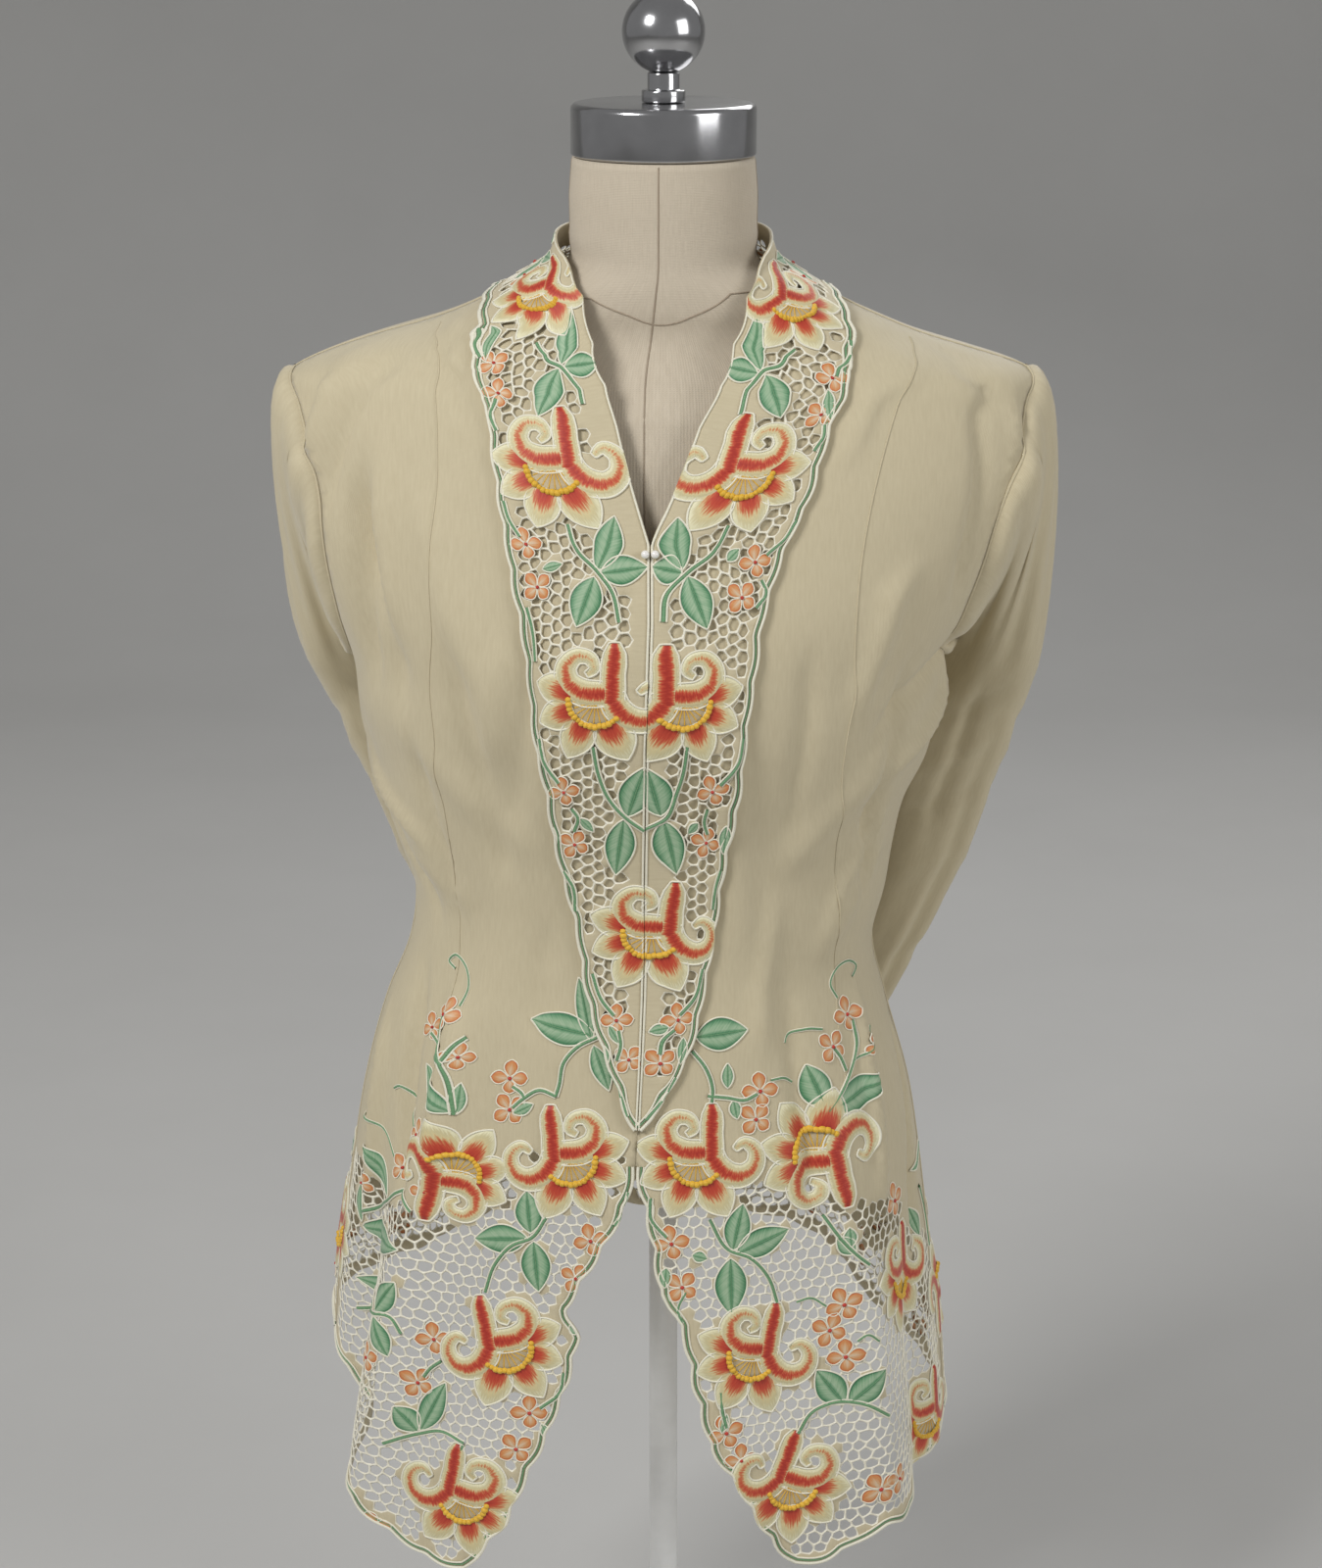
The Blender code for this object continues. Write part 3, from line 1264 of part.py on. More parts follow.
LAPEL_LIFT = WALL / 2 + LAPEL_WALL / 2 + 0.0008   # clear of the fronts' own facets
PEARL_DROP = 0.2425
PEARL_OFFSET = 0.0028


def build_pearl(side, material):
    """A small bead on the top corner of a lapel, beside the closure."""
    u = centre_u(PEARL_DROP) + sign_of(side) * PEARL_OFFSET
    point, normal = skin_frame(u, PEARL_DROP)
    middle = point + normal * (LAPEL_LIFT + LAPEL_WALL / 2 + SEAM_GAP + PEARL_RADIUS)
    bm = bmesh.new()
    bmesh.ops.create_uvsphere(bm, u_segments=10, v_segments=7, radius=PEARL_RADIUS)
    bmesh.ops.translate(bm, verts=bm.verts, vec=middle)
    return finish_object("pearl_" + side, bm, material)


def build_blouse(voile, cutwork, pearl):
    """Panels, lapels, sleeves and pearls."""
    panels = []
    for side in ("left", "right"):
        for name, outline in (("front_centre", front_centre_outline(side)),
                              ("front_side", front_side_outline(side))):
            panels.append(Panel(name + "_" + side, flat_panel(outline), body_detail, front_place,
                                front_keep, NET_SEEDS["front"] + sign_of(side)))
        band = Band(side)
        panels.append(Panel("lapel_" + side, band.outline(), all_detail, band.place, band.keep,
                            NET_SEEDS["lapel"] + sign_of(side)))
    panels.append(Panel("back", flat_panel(back_outline()), back_detail, back_place, back_keep,
                        NET_SEEDS["back"]))
    cells = [net_cells(panel.outline, panel.seed, panel.keep) for panel in panels]
    total = sum(len(found) for found in cells)
    for panel, found in zip(panels, cells):
        holes = found[:round(GAP_LIMIT * len(found) / total)]
        if panel.name.startswith("lapel"):
            build_panel(panel, holes, LAPEL_WALL, LAPEL_LIFT, cutwork)
        else:
            build_panel(panel, holes, WALL, 0.0, voile)
    for side in ("left", "right"):
        build_sleeve(side, voile)
        build_pearl(side, pearl)


def clear_scene():
    for thing in list(bpy.data.objects):
        bpy.data.objects.remove(thing)


def main():
    clear_scene()
    voile = make_material("voile", (0.52, 0.44, 0.29), 0.85)
    cutwork = make_material("cutwork", (0.72, 0.66, 0.50), 0.80)
    pearl = make_material("pearl", (0.85, 0.83, 0.80), 0.25)
    linen = make_material("linen", (0.50, 0.42, 0.32), 0.90)
    chrome = make_material("chrome", (0.75, 0.75, 0.76), 0.15, 1.0)
    lacquer = make_material("lacquer", (0.85, 0.85, 0.84), 0.40)
    build_blouse(voile, cutwork, pearl)
    build_form(linen)
    build_stand(lacquer, chrome)


main()
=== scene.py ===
"""Kebaya blouse on a counter dress form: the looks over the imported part.

World frame in metres: +Z up, the wearer's front faces -Y, +X is the viewer's right. The origin is
the centre of the stand base's underside. drop is the depth below the top of the neck cap.

Cloth is cut in flat domains and laid on the body's skin. A body panel's domain is (u, path): u is
the distance round from the centre front, path the distance down the cloth. A lapel's domain is
(along, across): along runs down the band from the centre back, across from its inner edge.
Needlework is drawn in the same domains and raised from the cloth's outer face.
"""
import math
from collections import namedtuple

import bpy
import numpy as np
from mathutils import Matrix, Vector
from mathutils.geometry import delaunay_2d_cdt


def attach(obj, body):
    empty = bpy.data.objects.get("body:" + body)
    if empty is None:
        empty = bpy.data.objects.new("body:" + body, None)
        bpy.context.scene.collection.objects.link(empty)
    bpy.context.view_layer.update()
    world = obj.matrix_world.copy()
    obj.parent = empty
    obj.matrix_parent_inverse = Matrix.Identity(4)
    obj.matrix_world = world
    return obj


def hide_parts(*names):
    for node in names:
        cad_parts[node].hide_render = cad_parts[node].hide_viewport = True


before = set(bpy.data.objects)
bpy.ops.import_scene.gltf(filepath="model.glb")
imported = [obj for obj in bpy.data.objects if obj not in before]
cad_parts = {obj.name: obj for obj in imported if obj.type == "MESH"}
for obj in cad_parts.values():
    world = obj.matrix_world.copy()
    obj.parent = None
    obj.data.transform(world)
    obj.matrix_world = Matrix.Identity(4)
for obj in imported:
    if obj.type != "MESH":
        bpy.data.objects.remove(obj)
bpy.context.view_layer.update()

bl_info = {
    "name": "Kebaya blouse on a dress form",
    "version": (1, 0, 0),
    "blender": (4, 5, 0),
    "location": "View3D > Sidebar > Kebaya",
    "description": "Builds an embroidered kebaya blouse on a counter dress form",
    "category": "Object",
}


def table(columns, *rows):
    """Rows with named columns. Those after the bar are listed in millimetres and kept in metres."""
    plain, lengths = (part.split() for part in columns.split("|"))
    kind = namedtuple("Row", plain + lengths)
    first = len(plain)
    return [kind(*row[:first], *(round(value / 1000, 7) for value in row[first:])) for row in rows]


def pair(columns, left, right):
    """The same table for the wearer's two sides, named as the viewer sees them."""
    return {"left": table(columns, *left), "right": table(columns, *right)}


# The body's rings, folds and seams, as the solids have them
CAP_TOP = 1.075
SEAM_GAP = 0.0003
RING_POWER = 2.2
RINGS = table("| drop left right front back",
    (70, 59, 59, 58, 59), (82, 62, 62, 58.5, 63), (92, 68, 68, 59.5, 68), (103, 87, 86, 61.5, 75),
    (113, 106, 104, 64, 82), (124, 133, 128, 68, 88), (134, 168, 153, 72, 92),
    (143, 195, 183, 76.5, 96), (152, 215, 211, 81, 99), (170, 221.5, 220, 89, 102),
    (200, 222, 222, 100, 104), (250, 215, 206, 115, 106), (290, 200, 185, 125, 104),
    (325, 186, 167, 127.5, 100), (352, 183, 165, 125, 96), (385, 174, 159, 118, 91),
    (410, 170, 147, 112, 88), (440, 161, 140, 107, 86), (467, 152, 136, 104.5, 86),
    (505, 155, 128, 105, 90), (540, 169, 136, 109, 97), (600, 185, 152, 116, 110),
    (650, 193, 159, 121, 118), (700, 200, 164, 125, 124), (750, 206, 170, 129, 128),
    (800, 210, 175, 132, 131), (850, 212, 177, 134, 133), (890, 213, 178, 135, 134))
FOLDS = table("top_turn end_turn | top_drop end_drop half_width height",
    (-30, -74, 380, 1100, 20, 12), (-64, -88, 560, 1100, 22, -20), (-100, -104, 520, 1100, 24, 8),
    (-16, -24, 600, 1100, 20, -6), (42, 52, 520, 1100, 22, 9), (66, 72, 600, 1100, 18, -10),
    (20, 27, 620, 1100, 20, -5), (96, 98, 560, 1100, 22, 7), (124, 128, 550, 1100, 24, -10),
    (150, 153, 520, 1100, 24, 9), (178, 179, 500, 1100, 26, -8), (-152, -155, 530, 1100, 24, 9),
    (-126, -129, 550, 1100, 24, -10), (-62, -22, 340, 430, 13, 4), (58, 24, 360, 440, 13, 4),
    (70, 40, 410, 500, 12, 4), (-70, -44, 420, 470, 12, 4))
FOLD_RADIUS = 0.16
FOLD_RISE = 0.40
FOLD_FALL = 0.25
RING_STEP = 0.002
TURN_STEPS = 180
SLOPE_SHARE = 0.7          # how much of the body's slope counts in a panel's length
LEAST = 1e-12              # keeps a line without length from dividing by nothing
SAME_PLACE = 1e-7          # how near two points of the net count as one
TINY = 1e-6
FAR = 1e9

PRINCESS = table("| drop left right",
    (140, -132.6, 143), (160, -130, 135), (200, -128.6, 122.5), (240, -129.2, 114), (290, -132.6, 109.5),
    (325, -135, 108.8), (370, -131, 104), (420, -126.5, 101.5), (467, -121.5, 101), (520, -123, 103),
    (600, -133, 112), (700, -143, 120))
PRINCESS_TOP = {"left": 0.1240, "right": 0.1315}
PRINCESS_START = 0.001     # how far under its top the seam's stitching starts
PRINCESS_END = 0.600       # where the seam's stitching runs into the border
PRINCESS_POINTS = 60
SEAM_STEP = 0.004
SEAM_RISE = -0.0003
SEAM_RADIUS = 0.0006
PRINCESS_RADIUS = 0.00045
ARMHOLE_RADIUS = 0.0008
FLAP_EDGE = table("| drop left right",
    (612, -17.5, -15.7), (640, -25, -9.2), (665, -38.5, -4.5), (690, -53.5, -1.2), (704, -61.2, 8.5),
    (721, -53, 14), (750, -60.5, 19.5), (790, -76.5, 29.6), (815, -88, 45.8), (845, -99.5, 62),
    (862, -111.3, 73.5))
HEM = table("turn | left right",
    (26, 879, 873.5), (33, 879, 871), (40, 876.5, 862), (46, 871, 856), (54, 859, 856.5),
    (60, 843, 854.5), (66, 830, 842), (76, 803, 837), (86, 778, 831), (98, 760, 819), (114, 751, 797),
    (136, 744, 766), (160, 737, 743), (180, 735, 735))
TIP_TURN = {"left": 33.0, "right": 25.9}
CENTRE = table("| drop x",
    (235, -7.5), (283, -7.4), (363, -10), (448, -11), (508, -11.6), (548, -13.3), (587, -15.1),
    (612, -16.6))
BAND_NECK = table("turn | inner_drop outer_drop",
    (180, 71.5, 118), (158, 71.5, 117), (136, 72, 115), (114, 73, 112), (92, 74.5, 109.5))
BAND_FRONT = table("| inner_drop left_inner right_inner outer_drop left_outer right_outer",
    (85, -54.5, 55.5, 117, -103.5, 103.5), (105, -44.5, 46.4, 130, -106.5, 107.5),
    (130, -39, 39, 146, -106.2, 104), (152, -32, 31.8, 164, -100, 99.2),
    (174, -25.5, 19.6, 185, -96.8, 90.5), (205, -17.5, 7.2, 213, -92.5, 81.5),
    (237, -7.5, -7.5, 242, -87.5, 67), (280, -7.4, -7.4, 280, -81.8, 55),
    (320, -8.7, -8.7, 320, -77.5, 49.5), (365, -10, -10, 365, -69.5, 42.5),
    (410, -10.6, -10.6, 410, -62.5, 36.8), (455, -11.1, -11.1, 455, -52.5, 31.2),
    (500, -11.5, -11.5, 500, -45.5, 24), (535, -12.7, -12.7, 535, -37, 17),
    (560, -13.8, -13.8, 560, -28, 6), (580, -14.8, -14.8, 580, -21.5, -7),
    (590, -15.3, -15.3, 591, -17.2, -13.6))
CLOSURE_ROW = 6
CLOSURE = BAND_FRONT[CLOSURE_ROW]
NECK_UNDER = 0.009
CLOSURE_UNDER = 0.004
BACK_NECK_DROP = 0.1000
SHOULDER_TURN = 90.0
NECK_CORNER_TURN = 65.0
SCALLOP_PITCH = 0.027
HEM_SCALLOP = 0.0026
LAPEL_SCALLOP = 0.0018
LAPEL_POINT = 0.0010
LAPEL_WALL = 0.0015
SOLID_WALL = 0.0012
LAPEL_LIFT = SOLID_WALL / 2 + LAPEL_WALL / 2 + 0.0008
ARMHOLE_DROP = 0.2400
ARMHOLE_TALL = 0.0865
ARMHOLE_DEEP = 0.0520
ARMHOLE_POINTS = 41
REGION_TURN = 176.0        # how far round the fronts' needlework may reach, in degrees
REGION_WIDE = 0.6
EDGE_STEP = 0.002          # points along an edge that needlework is cut or stitched to
NET_PITCH = 0.0074
NET_BAR = 0.0012
NET_SHAKE = 0.26
NET_EDGE = 0.0035          # cloth kept between the net and a cut edge
NET_CLEAR = 0.72           # how near a gap's middle the plain cloth's points come, in pitches
AT_ONCE = 2000
NET_TOP_EDGE = 0.0060
NET_SEEDS = {"front": 11, "back": 31, "lapel": 41}
NET_TOP = table("turn | left right",
    (0, 588, 588), (8, 592, 592), (14, 618, 606), (22, 600, 612), (34, 612, 602), (46, 640, 640),
    (60, 648, 650), (80, 640, 690), (110, 640, 680), (150, 640, 645), (180, 640, 640))
BAND_PLAIN = 0.012         # plain cloth kept along a lapel's neck edge
INNER_CORD_IN = 0.0009     # the thin cord along a lapel's inner edge
INNER_CORD_RADIUS = 0.00065
INNER_CORD_RISE = -0.0002

# The photograph's camera: places on it are given as pixels of its 1349 x 1600 picture
PHOTO_WIDE = 1349
PHOTO_TALL = 1600
PHOTO_AXIS = 677.0         # the form's axis
FOCAL = 3477.0             # focal length in pixels
SENSOR = 36.0
CAMERA_BACK = 2.0
CAMERA_ABOVE_CAP = 0.164
CAMERA_PITCH = math.radians(16.0)
RAY_NEAR = 1.70
RAY_FAR = 2.25
RAY_STEP = 0.0005

# Smaller creases, drawn through pixels of the photograph
CREASES = table("points | half_width height",
    (((402, 340), (367, 374), (336, 410), (321, 458), (316, 500)), 7.5, 3.5),
    (((415, 352), (385, 385), (352, 430), (338, 480), (333, 540)), 6.5, -3),
    (((461, 318), (456, 351), (466, 392), (487, 428), (502, 470)), 5, -2.6),
    (((474, 316), (470, 350), (478, 385), (494, 410)), 5, 2),
    (((374, 440), (367, 491), (366, 560), (372, 640), (384, 720)), 9, -4.2),
    (((398, 430), (392, 500), (396, 600), (404, 690)), 8, 2.2),
    (((420, 720), (432, 800), (452, 870), (470, 960)), 7, -2.2),
    (((392, 800), (410, 850), (440, 905), (452, 960)), 6, -2),
    (((512, 640), (505, 720), (506, 790)), 7.5, 1.8),
    (((905, 345), (890, 400), (868, 455), (846, 500)), 5.5, 1.8),
    (((985, 372), (1000, 430), (1002, 500), (985, 570), (965, 640)), 8, -3),
    (((1020, 380), (1032, 440), (1030, 500), (1010, 570)), 7, 2.6),
    (((938, 650), (922, 720), (905, 790), (880, 850)), 7, -2.4),
    (((915, 800), (890, 850), (858, 900), (842, 960)), 7, 2.2),
    (((830, 640), (826, 720), (812, 800), (806, 880)), 8, -1.8),
    (((790, 900), (782, 980), (776, 1060), (778, 1100)), 8.5, 1.8),
    (((870, 985), (882, 1080), (896, 1180), (902, 1260)), 8, 3),
    (((910, 1000), (922, 1100), (930, 1200), (938, 1300)), 7, -3.6),
    (((405, 1000), (392, 1080), (384, 1180), (380, 1290)), 8, 3),
    (((436, 960), (425, 1050), (414, 1150), (405, 1260)), 8, -3.6),
    (((556, 930), (550, 1000), (543, 1070)), 8, -1.4),
    (((1012, 590), (968, 658), (918, 720), (868, 782)), 9, -3.6),
    (((1004, 640), (966, 706), (924, 768), (886, 812)), 8, 3.2),
    (((946, 560), (910, 610), (888, 680), (874, 752)), 10, 2.8),
    (((955, 350), (990, 386), (1030, 426)), 5.5, -2.4),
    (((902, 790), (884, 858), (876, 930)), 8, -3),
    (((350, 470), (374, 560), (396, 650), (408, 740)), 11, -3.4),
    (((430, 470), (446, 560), (470, 660), (500, 760)), 12, 2.4),
    (((452, 620), (470, 720), (492, 820), (520, 910)), 10, -2.6),
    (((560, 560), (540, 680), (524, 800), (508, 940)), 13, -2),
    (((740, 700), (744, 800), (752, 900), (764, 1010)), 13, 2),
    (((352, 700), (384, 780), (428, 850), (470, 900)), 7, 2.6),
    (((468, 980), (462, 1060), (450, 1140), (440, 1220)), 9, 3.4),
    (((800, 980), (812, 1080), (826, 1180), (838, 1280)), 11, -2.6))
CREASE_DEPTH = 2.1         # how much deeper than listed all creases are worn
CREASE_SHARP = 0.85        # how much narrower
# The same on the hidden sides, drawn through turns in degrees and drops
HIDDEN_CREASES = table("points | half_width height",
    (((176, 0.2), (171, 0.27), (167, 0.34)), 12, -2.4),
    (((152, 0.25), (157, 0.34), (161, 0.42), (159, 0.5)), 12, 2.6),
    (((168, 0.3), (166, 0.4), (167, 0.5), (171, 0.58)), 10, -2.8),
    (((116, 0.31), (130, 0.35), (146, 0.41)), 7, -3),
    (((120, 0.27), (136, 0.31), (152, 0.37)), 6.5, 2.4),
    (((-118, 0.3), (-132, 0.34), (-149, 0.4)), 7, -3),
    (((-122, 0.26), (-138, 0.3), (-154, 0.36)), 6.5, 2.4),
    (((-154, 0.24), (-159, 0.33), (-163, 0.42), (-161, 0.5)), 12, 2.4),
    (((-170, 0.32), (-168, 0.42), (-169, 0.52), (-172, 0.6)), 10, -2.8),
    (((112, 0.44), (126, 0.47), (142, 0.475)), 6, -2.6),
    (((-112, 0.43), (-127, 0.46), (-144, 0.47)), 6, -2.6),
    (((138, 0.58), (139, 0.66), (140, 0.74)), 9, 2.4),
    (((-140, 0.58), (-141, 0.66), (-142, 0.74)), 9, 2.4),
    (((104, 0.36), (100, 0.46), (102, 0.56), (104, 0.66)), 9, -2.8),
    (((-102, 0.36), (-98, 0.46), (-100, 0.56), (-101, 0.66)), 9, -2.8))
CREASE_ENDS = 0.30         # share of its length over which a crease starts and ends

# Needlework places, as pixels of the photograph. A flower's finger points up and its great curl
# lies left of it, or right of it when mirrored; tilt turns it, in degrees to the left.
LAPEL_FLOWERS = pair("px py tilt mirrored size |",
    [(551, 312, -8, False, 0.86), (562, 492, 0, False, 1), (604, 728, 4, False, 0.98)],
    [(809, 322, 10, True, 0.86), (760, 497, -2, True, 1), (702, 730, -4, True, 0.98)])
SHARED_FLOWER = table("px py tilt mirrored size |", (658, 962, 0, False, 0.98))
HEM_FLOWERS = pair("px py tilt mirrored size |",
    [(587, 1196, 2, True, 1), (471, 1188, 176, False, 0.92), (523, 1386, 8, True, 1),
     (474, 1541, -16, True, 1)],
    [(706, 1196, 4, False, 1), (829, 1166, 182, True, 1.05), (762, 1395, -6, False, 1),
     (917, 1312, 10, False, 0.94), (805, 1527, -28, True, 1), (944, 1455, 6, False, 0.9)])
# A leaf runs from its stalk to its point
LAPEL_LEAVES = pair("px py tip_px tip_py | width",
    [(573, 375, 585, 318, 11), (575, 376, 613, 372, 11.5), (571, 378, 549, 426, 12.5),
     (610, 583, 627, 528, 12.5), (612, 585, 661, 578, 13.5), (607, 588, 588, 640, 15),
     (505, 336, 497, 370, 5), (553, 582, 575, 574, 5), (641, 830, 659, 780, 15),
     (637, 834, 628, 890, 14), (566, 842, 562, 872, 5.5), (592, 832, 606, 846, 5),
     (622, 1044, 634, 1066, 5), (616, 1065, 613, 1090, 5), (552, 250, 570, 238, 8)],
    [(776, 381, 770, 322, 12), (772, 382, 738, 376, 11.5), (779, 384, 796, 428, 13.5),
     (697, 583, 692, 528, 12.5), (695, 585, 664, 578, 13.5), (701, 588, 721, 642, 15),
     (842, 398, 846, 430, 5.5), (740, 572, 755, 560, 5.5), (675, 830, 660, 781, 15),
     (678, 834, 690, 890, 14), (739, 838, 737, 868, 6), (712, 836, 702, 848, 5),
     (683, 1046, 662, 1053, 5.5), (697, 1058, 694, 1084, 5.5)])
HEM_LEAVES = pair("px py tip_px tip_py | width",
    [(608, 1057, 540, 1040, 16.5), (604, 1062, 591, 996, 9), (606, 1066, 622, 1113, 10),
     (542, 1258, 538, 1214, 14), (540, 1263, 485, 1263, 15), (545, 1266, 550, 1318, 15),
     (428, 1460, 402, 1434, 15), (430, 1459, 456, 1410, 13), (382, 1338, 364, 1302, 13),
     (384, 1338, 404, 1308, 13), (383, 1342, 397, 1384, 13), (374, 1250, 408, 1275, 15),
     (372, 1246, 371, 1206, 9), (397, 1222, 380, 1166, 13), (466, 1134, 437, 1085, 12),
     (468, 1136, 472, 1104, 6), (524, 1136, 545, 1126, 6), (582, 1352, 592, 1360, 6),
     (553, 1452, 562, 1470, 5)],
    [(709, 1058, 763, 1050, 17), (742, 1110, 742, 1084, 6), (748, 1122, 752, 1142, 6),
     (747, 1276, 758, 1227, 13.5), (750, 1279, 805, 1253, 15), (745, 1283, 746, 1342, 16.5),
     (861, 1432, 832, 1397, 15), (865, 1432, 903, 1396, 15.5), (843, 1132, 824, 1086, 14.5),
     (848, 1132, 895, 1095, 16.5), (872, 1279, 853, 1262, 8.5), (868, 1272, 866, 1252, 7),
     (680, 1293, 678, 1314, 6), (706, 1280, 722, 1284, 6), (934, 1232, 938, 1262, 6),
     (932, 1195, 944, 1162, 6), (741, 1442, 736, 1462, 5)])
LAPEL_BLOSSOMS = pair("px py tilt size |",
    [(506, 372, 20, 0.95), (511, 402, 70, 0.95), (539, 556, 0, 1), (548, 598, 40, 1), (576, 805, 10, 1),
     (587, 858, 60, 1), (630, 1040, 0, 1), (642, 1080, 50, 0.95)],
    [(848, 388, 15, 1), (835, 424, 60, 1), (770, 573, 10, 1.05), (757, 609, 50, 1.05),
     (727, 805, 20, 1.05), (721, 857, 70, 1.05), (692, 1040, 10, 1.05), (674, 1083, 45, 1.05)])
HEM_BLOSSOMS = pair("px py tilt size |",
    [(521, 1100, 0, 1.1), (521, 1132, 40, 1.1), (444, 1366, 10, 1.1), (428, 1410, 60, 1.1),
     (541, 1441, 0, 1.15), (527, 1478, 35, 1.1), (603, 1266, 15, 1.1), (588, 1304, 60, 1),
     (463, 1034, 0, 1.05), (443, 1048, 30, 0.95), (470, 1078, 0, 0.9), (427, 1158, 10, 0.95),
     (408, 1192, 45, 0.95), (434, 1216, 0, 0.9), (376, 1385, 20, 1), (384, 1557, 15, 1),
     (381, 1206, 60, 0.8)],
    [(775, 1113, 0, 1.15), (771, 1142, 45, 1.1), (685, 1269, 10, 1.15), (696, 1313, 50, 1.1),
     (861, 1331, 20, 1.15), (846, 1357, 60, 1.15), (862, 1384, 0, 1.15), (741, 1462, 20, 1.15),
     (756, 1490, 0, 1.1), (911, 1225, 10, 1.2), (898, 1519, 30, 1.2), (916, 1508, 75, 1),
     (863, 1035, 0, 1.15), (849, 1068, 45, 1.1), (884, 1066, 10, 0.8)])
# Stems are curves through pixels; thin ones are tendrils
LAPEL_STEMS = pair("points thin |",
    [(((492, 340), (488, 352), (492, 368)), False),
     (((548, 352), (560, 370), (574, 378), (590, 398), (596, 414)), False),
     (((506, 408), (503, 424), (508, 440)), False), (((516, 510), (520, 530), (532, 548)), False),
     (((580, 534), (588, 558), (610, 584), (626, 606), (632, 634)), False),
     (((536, 620), (543, 650), (545, 676)), False), (((552, 752), (558, 776), (572, 796)), False),
     (((606, 760), (611, 786), (622, 812), (640, 834), (658, 844)), False),
     (((585, 822), (590, 832), (588, 846)), False), (((576, 886), (586, 904), (588, 926)), False),
     (((606, 992), (614, 1018), (627, 1036)), False), (((632, 1050), (634, 1066), (630, 1080)), False),
     (((622, 1092), (634, 1118), (640, 1138)), False)],
    [(((866, 352), (862, 372), (852, 386)), False),
     (((808, 360), (796, 376), (778, 382), (760, 402), (754, 424)), False),
     (((840, 434), (838, 448), (830, 462)), False), (((812, 532), (800, 550), (782, 566)), False),
     (((744, 536), (730, 560), (700, 586), (682, 606), (677, 634)), False),
     (((776, 592), (780, 606), (770, 620)), False), (((756, 752), (750, 776), (734, 798)), False),
     (((702, 760), (697, 786), (690, 808), (676, 834), (658, 844)), False),
     (((722, 822), (718, 836), (722, 848)), False), (((735, 884), (730, 904), (727, 926)), False),
     (((716, 988), (710, 1014), (694, 1034)), False), (((688, 1050), (678, 1060), (674, 1074)), False),
     (((690, 1098), (676, 1122), (660, 1142)), False)])
HEM_STEMS = pair("points thin |",
    [(((610, 1058), (590, 1068), (576, 1084), (571, 1108), (568, 1118)), False),
     (((568, 1118), (552, 1112), (536, 1120), (524, 1130)), False),
     (((524, 1108), (534, 1116), (536, 1120)), False),
     (((558, 1242), (544, 1262), (524, 1270), (506, 1290), (496, 1318)), False),
     (((392, 1472), (412, 1466), (430, 1462), (452, 1460), (474, 1472)), False),
     (((366, 1334), (382, 1340), (400, 1344), (410, 1360)), False),
     (((466, 1136), (462, 1100), (458, 1060), (462, 1036)), False),
     (((460, 1084), (450, 1066), (442, 1054)), False), (((460, 1080), (470, 1064), (478, 1058)), False),
     (((473, 1026), (480, 1006), (476, 984), (466, 974), (460, 980), (466, 988)), True),
     (((424, 1150), (418, 1128), (408, 1108), (404, 1110)), True),
     (((404, 1180), (396, 1156), (384, 1140), (378, 1124)), True),
     (((374, 1236), (396, 1226), (412, 1222), (420, 1236)), False),
     (((642, 1216), (636, 1238), (628, 1250)), False), (((576, 1400), (572, 1420), (552, 1436)), False),
     (((452, 1388), (440, 1396), (434, 1404)), False), (((460, 1500), (474, 1474)), False)],
    [(((706, 1072), (720, 1090), (727, 1112), (726, 1124)), False),
     (((722, 1118), (742, 1120), (760, 1122), (772, 1116)), False),
     (((786, 1102), (798, 1100), (812, 1106)), True),
     (((724, 1244), (742, 1274), (766, 1284), (784, 1304), (792, 1328)), False),
     (((814, 1462), (828, 1440), (852, 1430), (880, 1432), (906, 1444)), False),
     (((845, 1134), (864, 1100), (872, 1066), (868, 1040)), False),
     (((862, 1092), (856, 1078), (850, 1070)), False), (((868, 1084), (880, 1070), (886, 1046)), True),
     (((853, 1018), (846, 1002), (852, 988), (866, 980), (872, 986), (868, 996)), True),
     (((838, 1050), (822, 1050), (808, 1058), (804, 1066)), True),
     (((841, 1240), (856, 1262), (878, 1284), (886, 1290)), False),
     (((664, 1222), (664, 1242), (680, 1262)), False), (((735, 1420), (737, 1440), (741, 1456)), False),
     (((700, 1318), (692, 1336), (696, 1350)), True), (((936, 1210), (942, 1240), (946, 1270)), False),
     (((812, 1328), (826, 1324), (842, 1332)), True), (((874, 1368), (884, 1362), (896, 1368)), True)])
# Needlework where no picture shows it: places by turn in degrees and drop, in the same manner
BACK_FLOWERS = table("turn tilt mirrored size | drop",
    (-92, 6, True, 0.9, 710), (-113, -6, False, 0.95, 690), (-134, 180, True, 0.9, 688),
    (-155, 0, False, 0.95, 688), (-176, 180, True, 0.9, 686), (158, 0, True, 0.95, 690),
    (137, 180, False, 0.9, 696), (117, 4, True, 0.95, 724), (95, 176, False, 0.9, 740))
LEAF_TRIO = table("| rise run width", (30, 4, 13), (10, 28, 14), (8, -28, 14))
BACK_TRIOS = table("turn | drop",
    (-102.5, 655), (-123.5, 650), (-144.5, 655), (-165.5, 652), (173, 652), (147.5, 655), (127, 665),
    (106, 700))
BACK_BLOSSOMS = table("turn | drop",
    (-103, 728), (-124, 718), (-144, 718), (-166, 716), (173, 716), (148, 724), (127, 744), (106, 782))
BLOSSOM_PAIR = (0.007, 0.010)
NAPE_FLOWER = (0.036, 0.026)
NAPE_LEAVES = table("| along across", (78, 22), (112, 24))
NAPE_PAIR = table("| run rise width", (20, -10, 11), (16, 16, 11))
NAPE_BLOSSOMS = table("| along across", (66, 36), (94, 36), (130, 34))


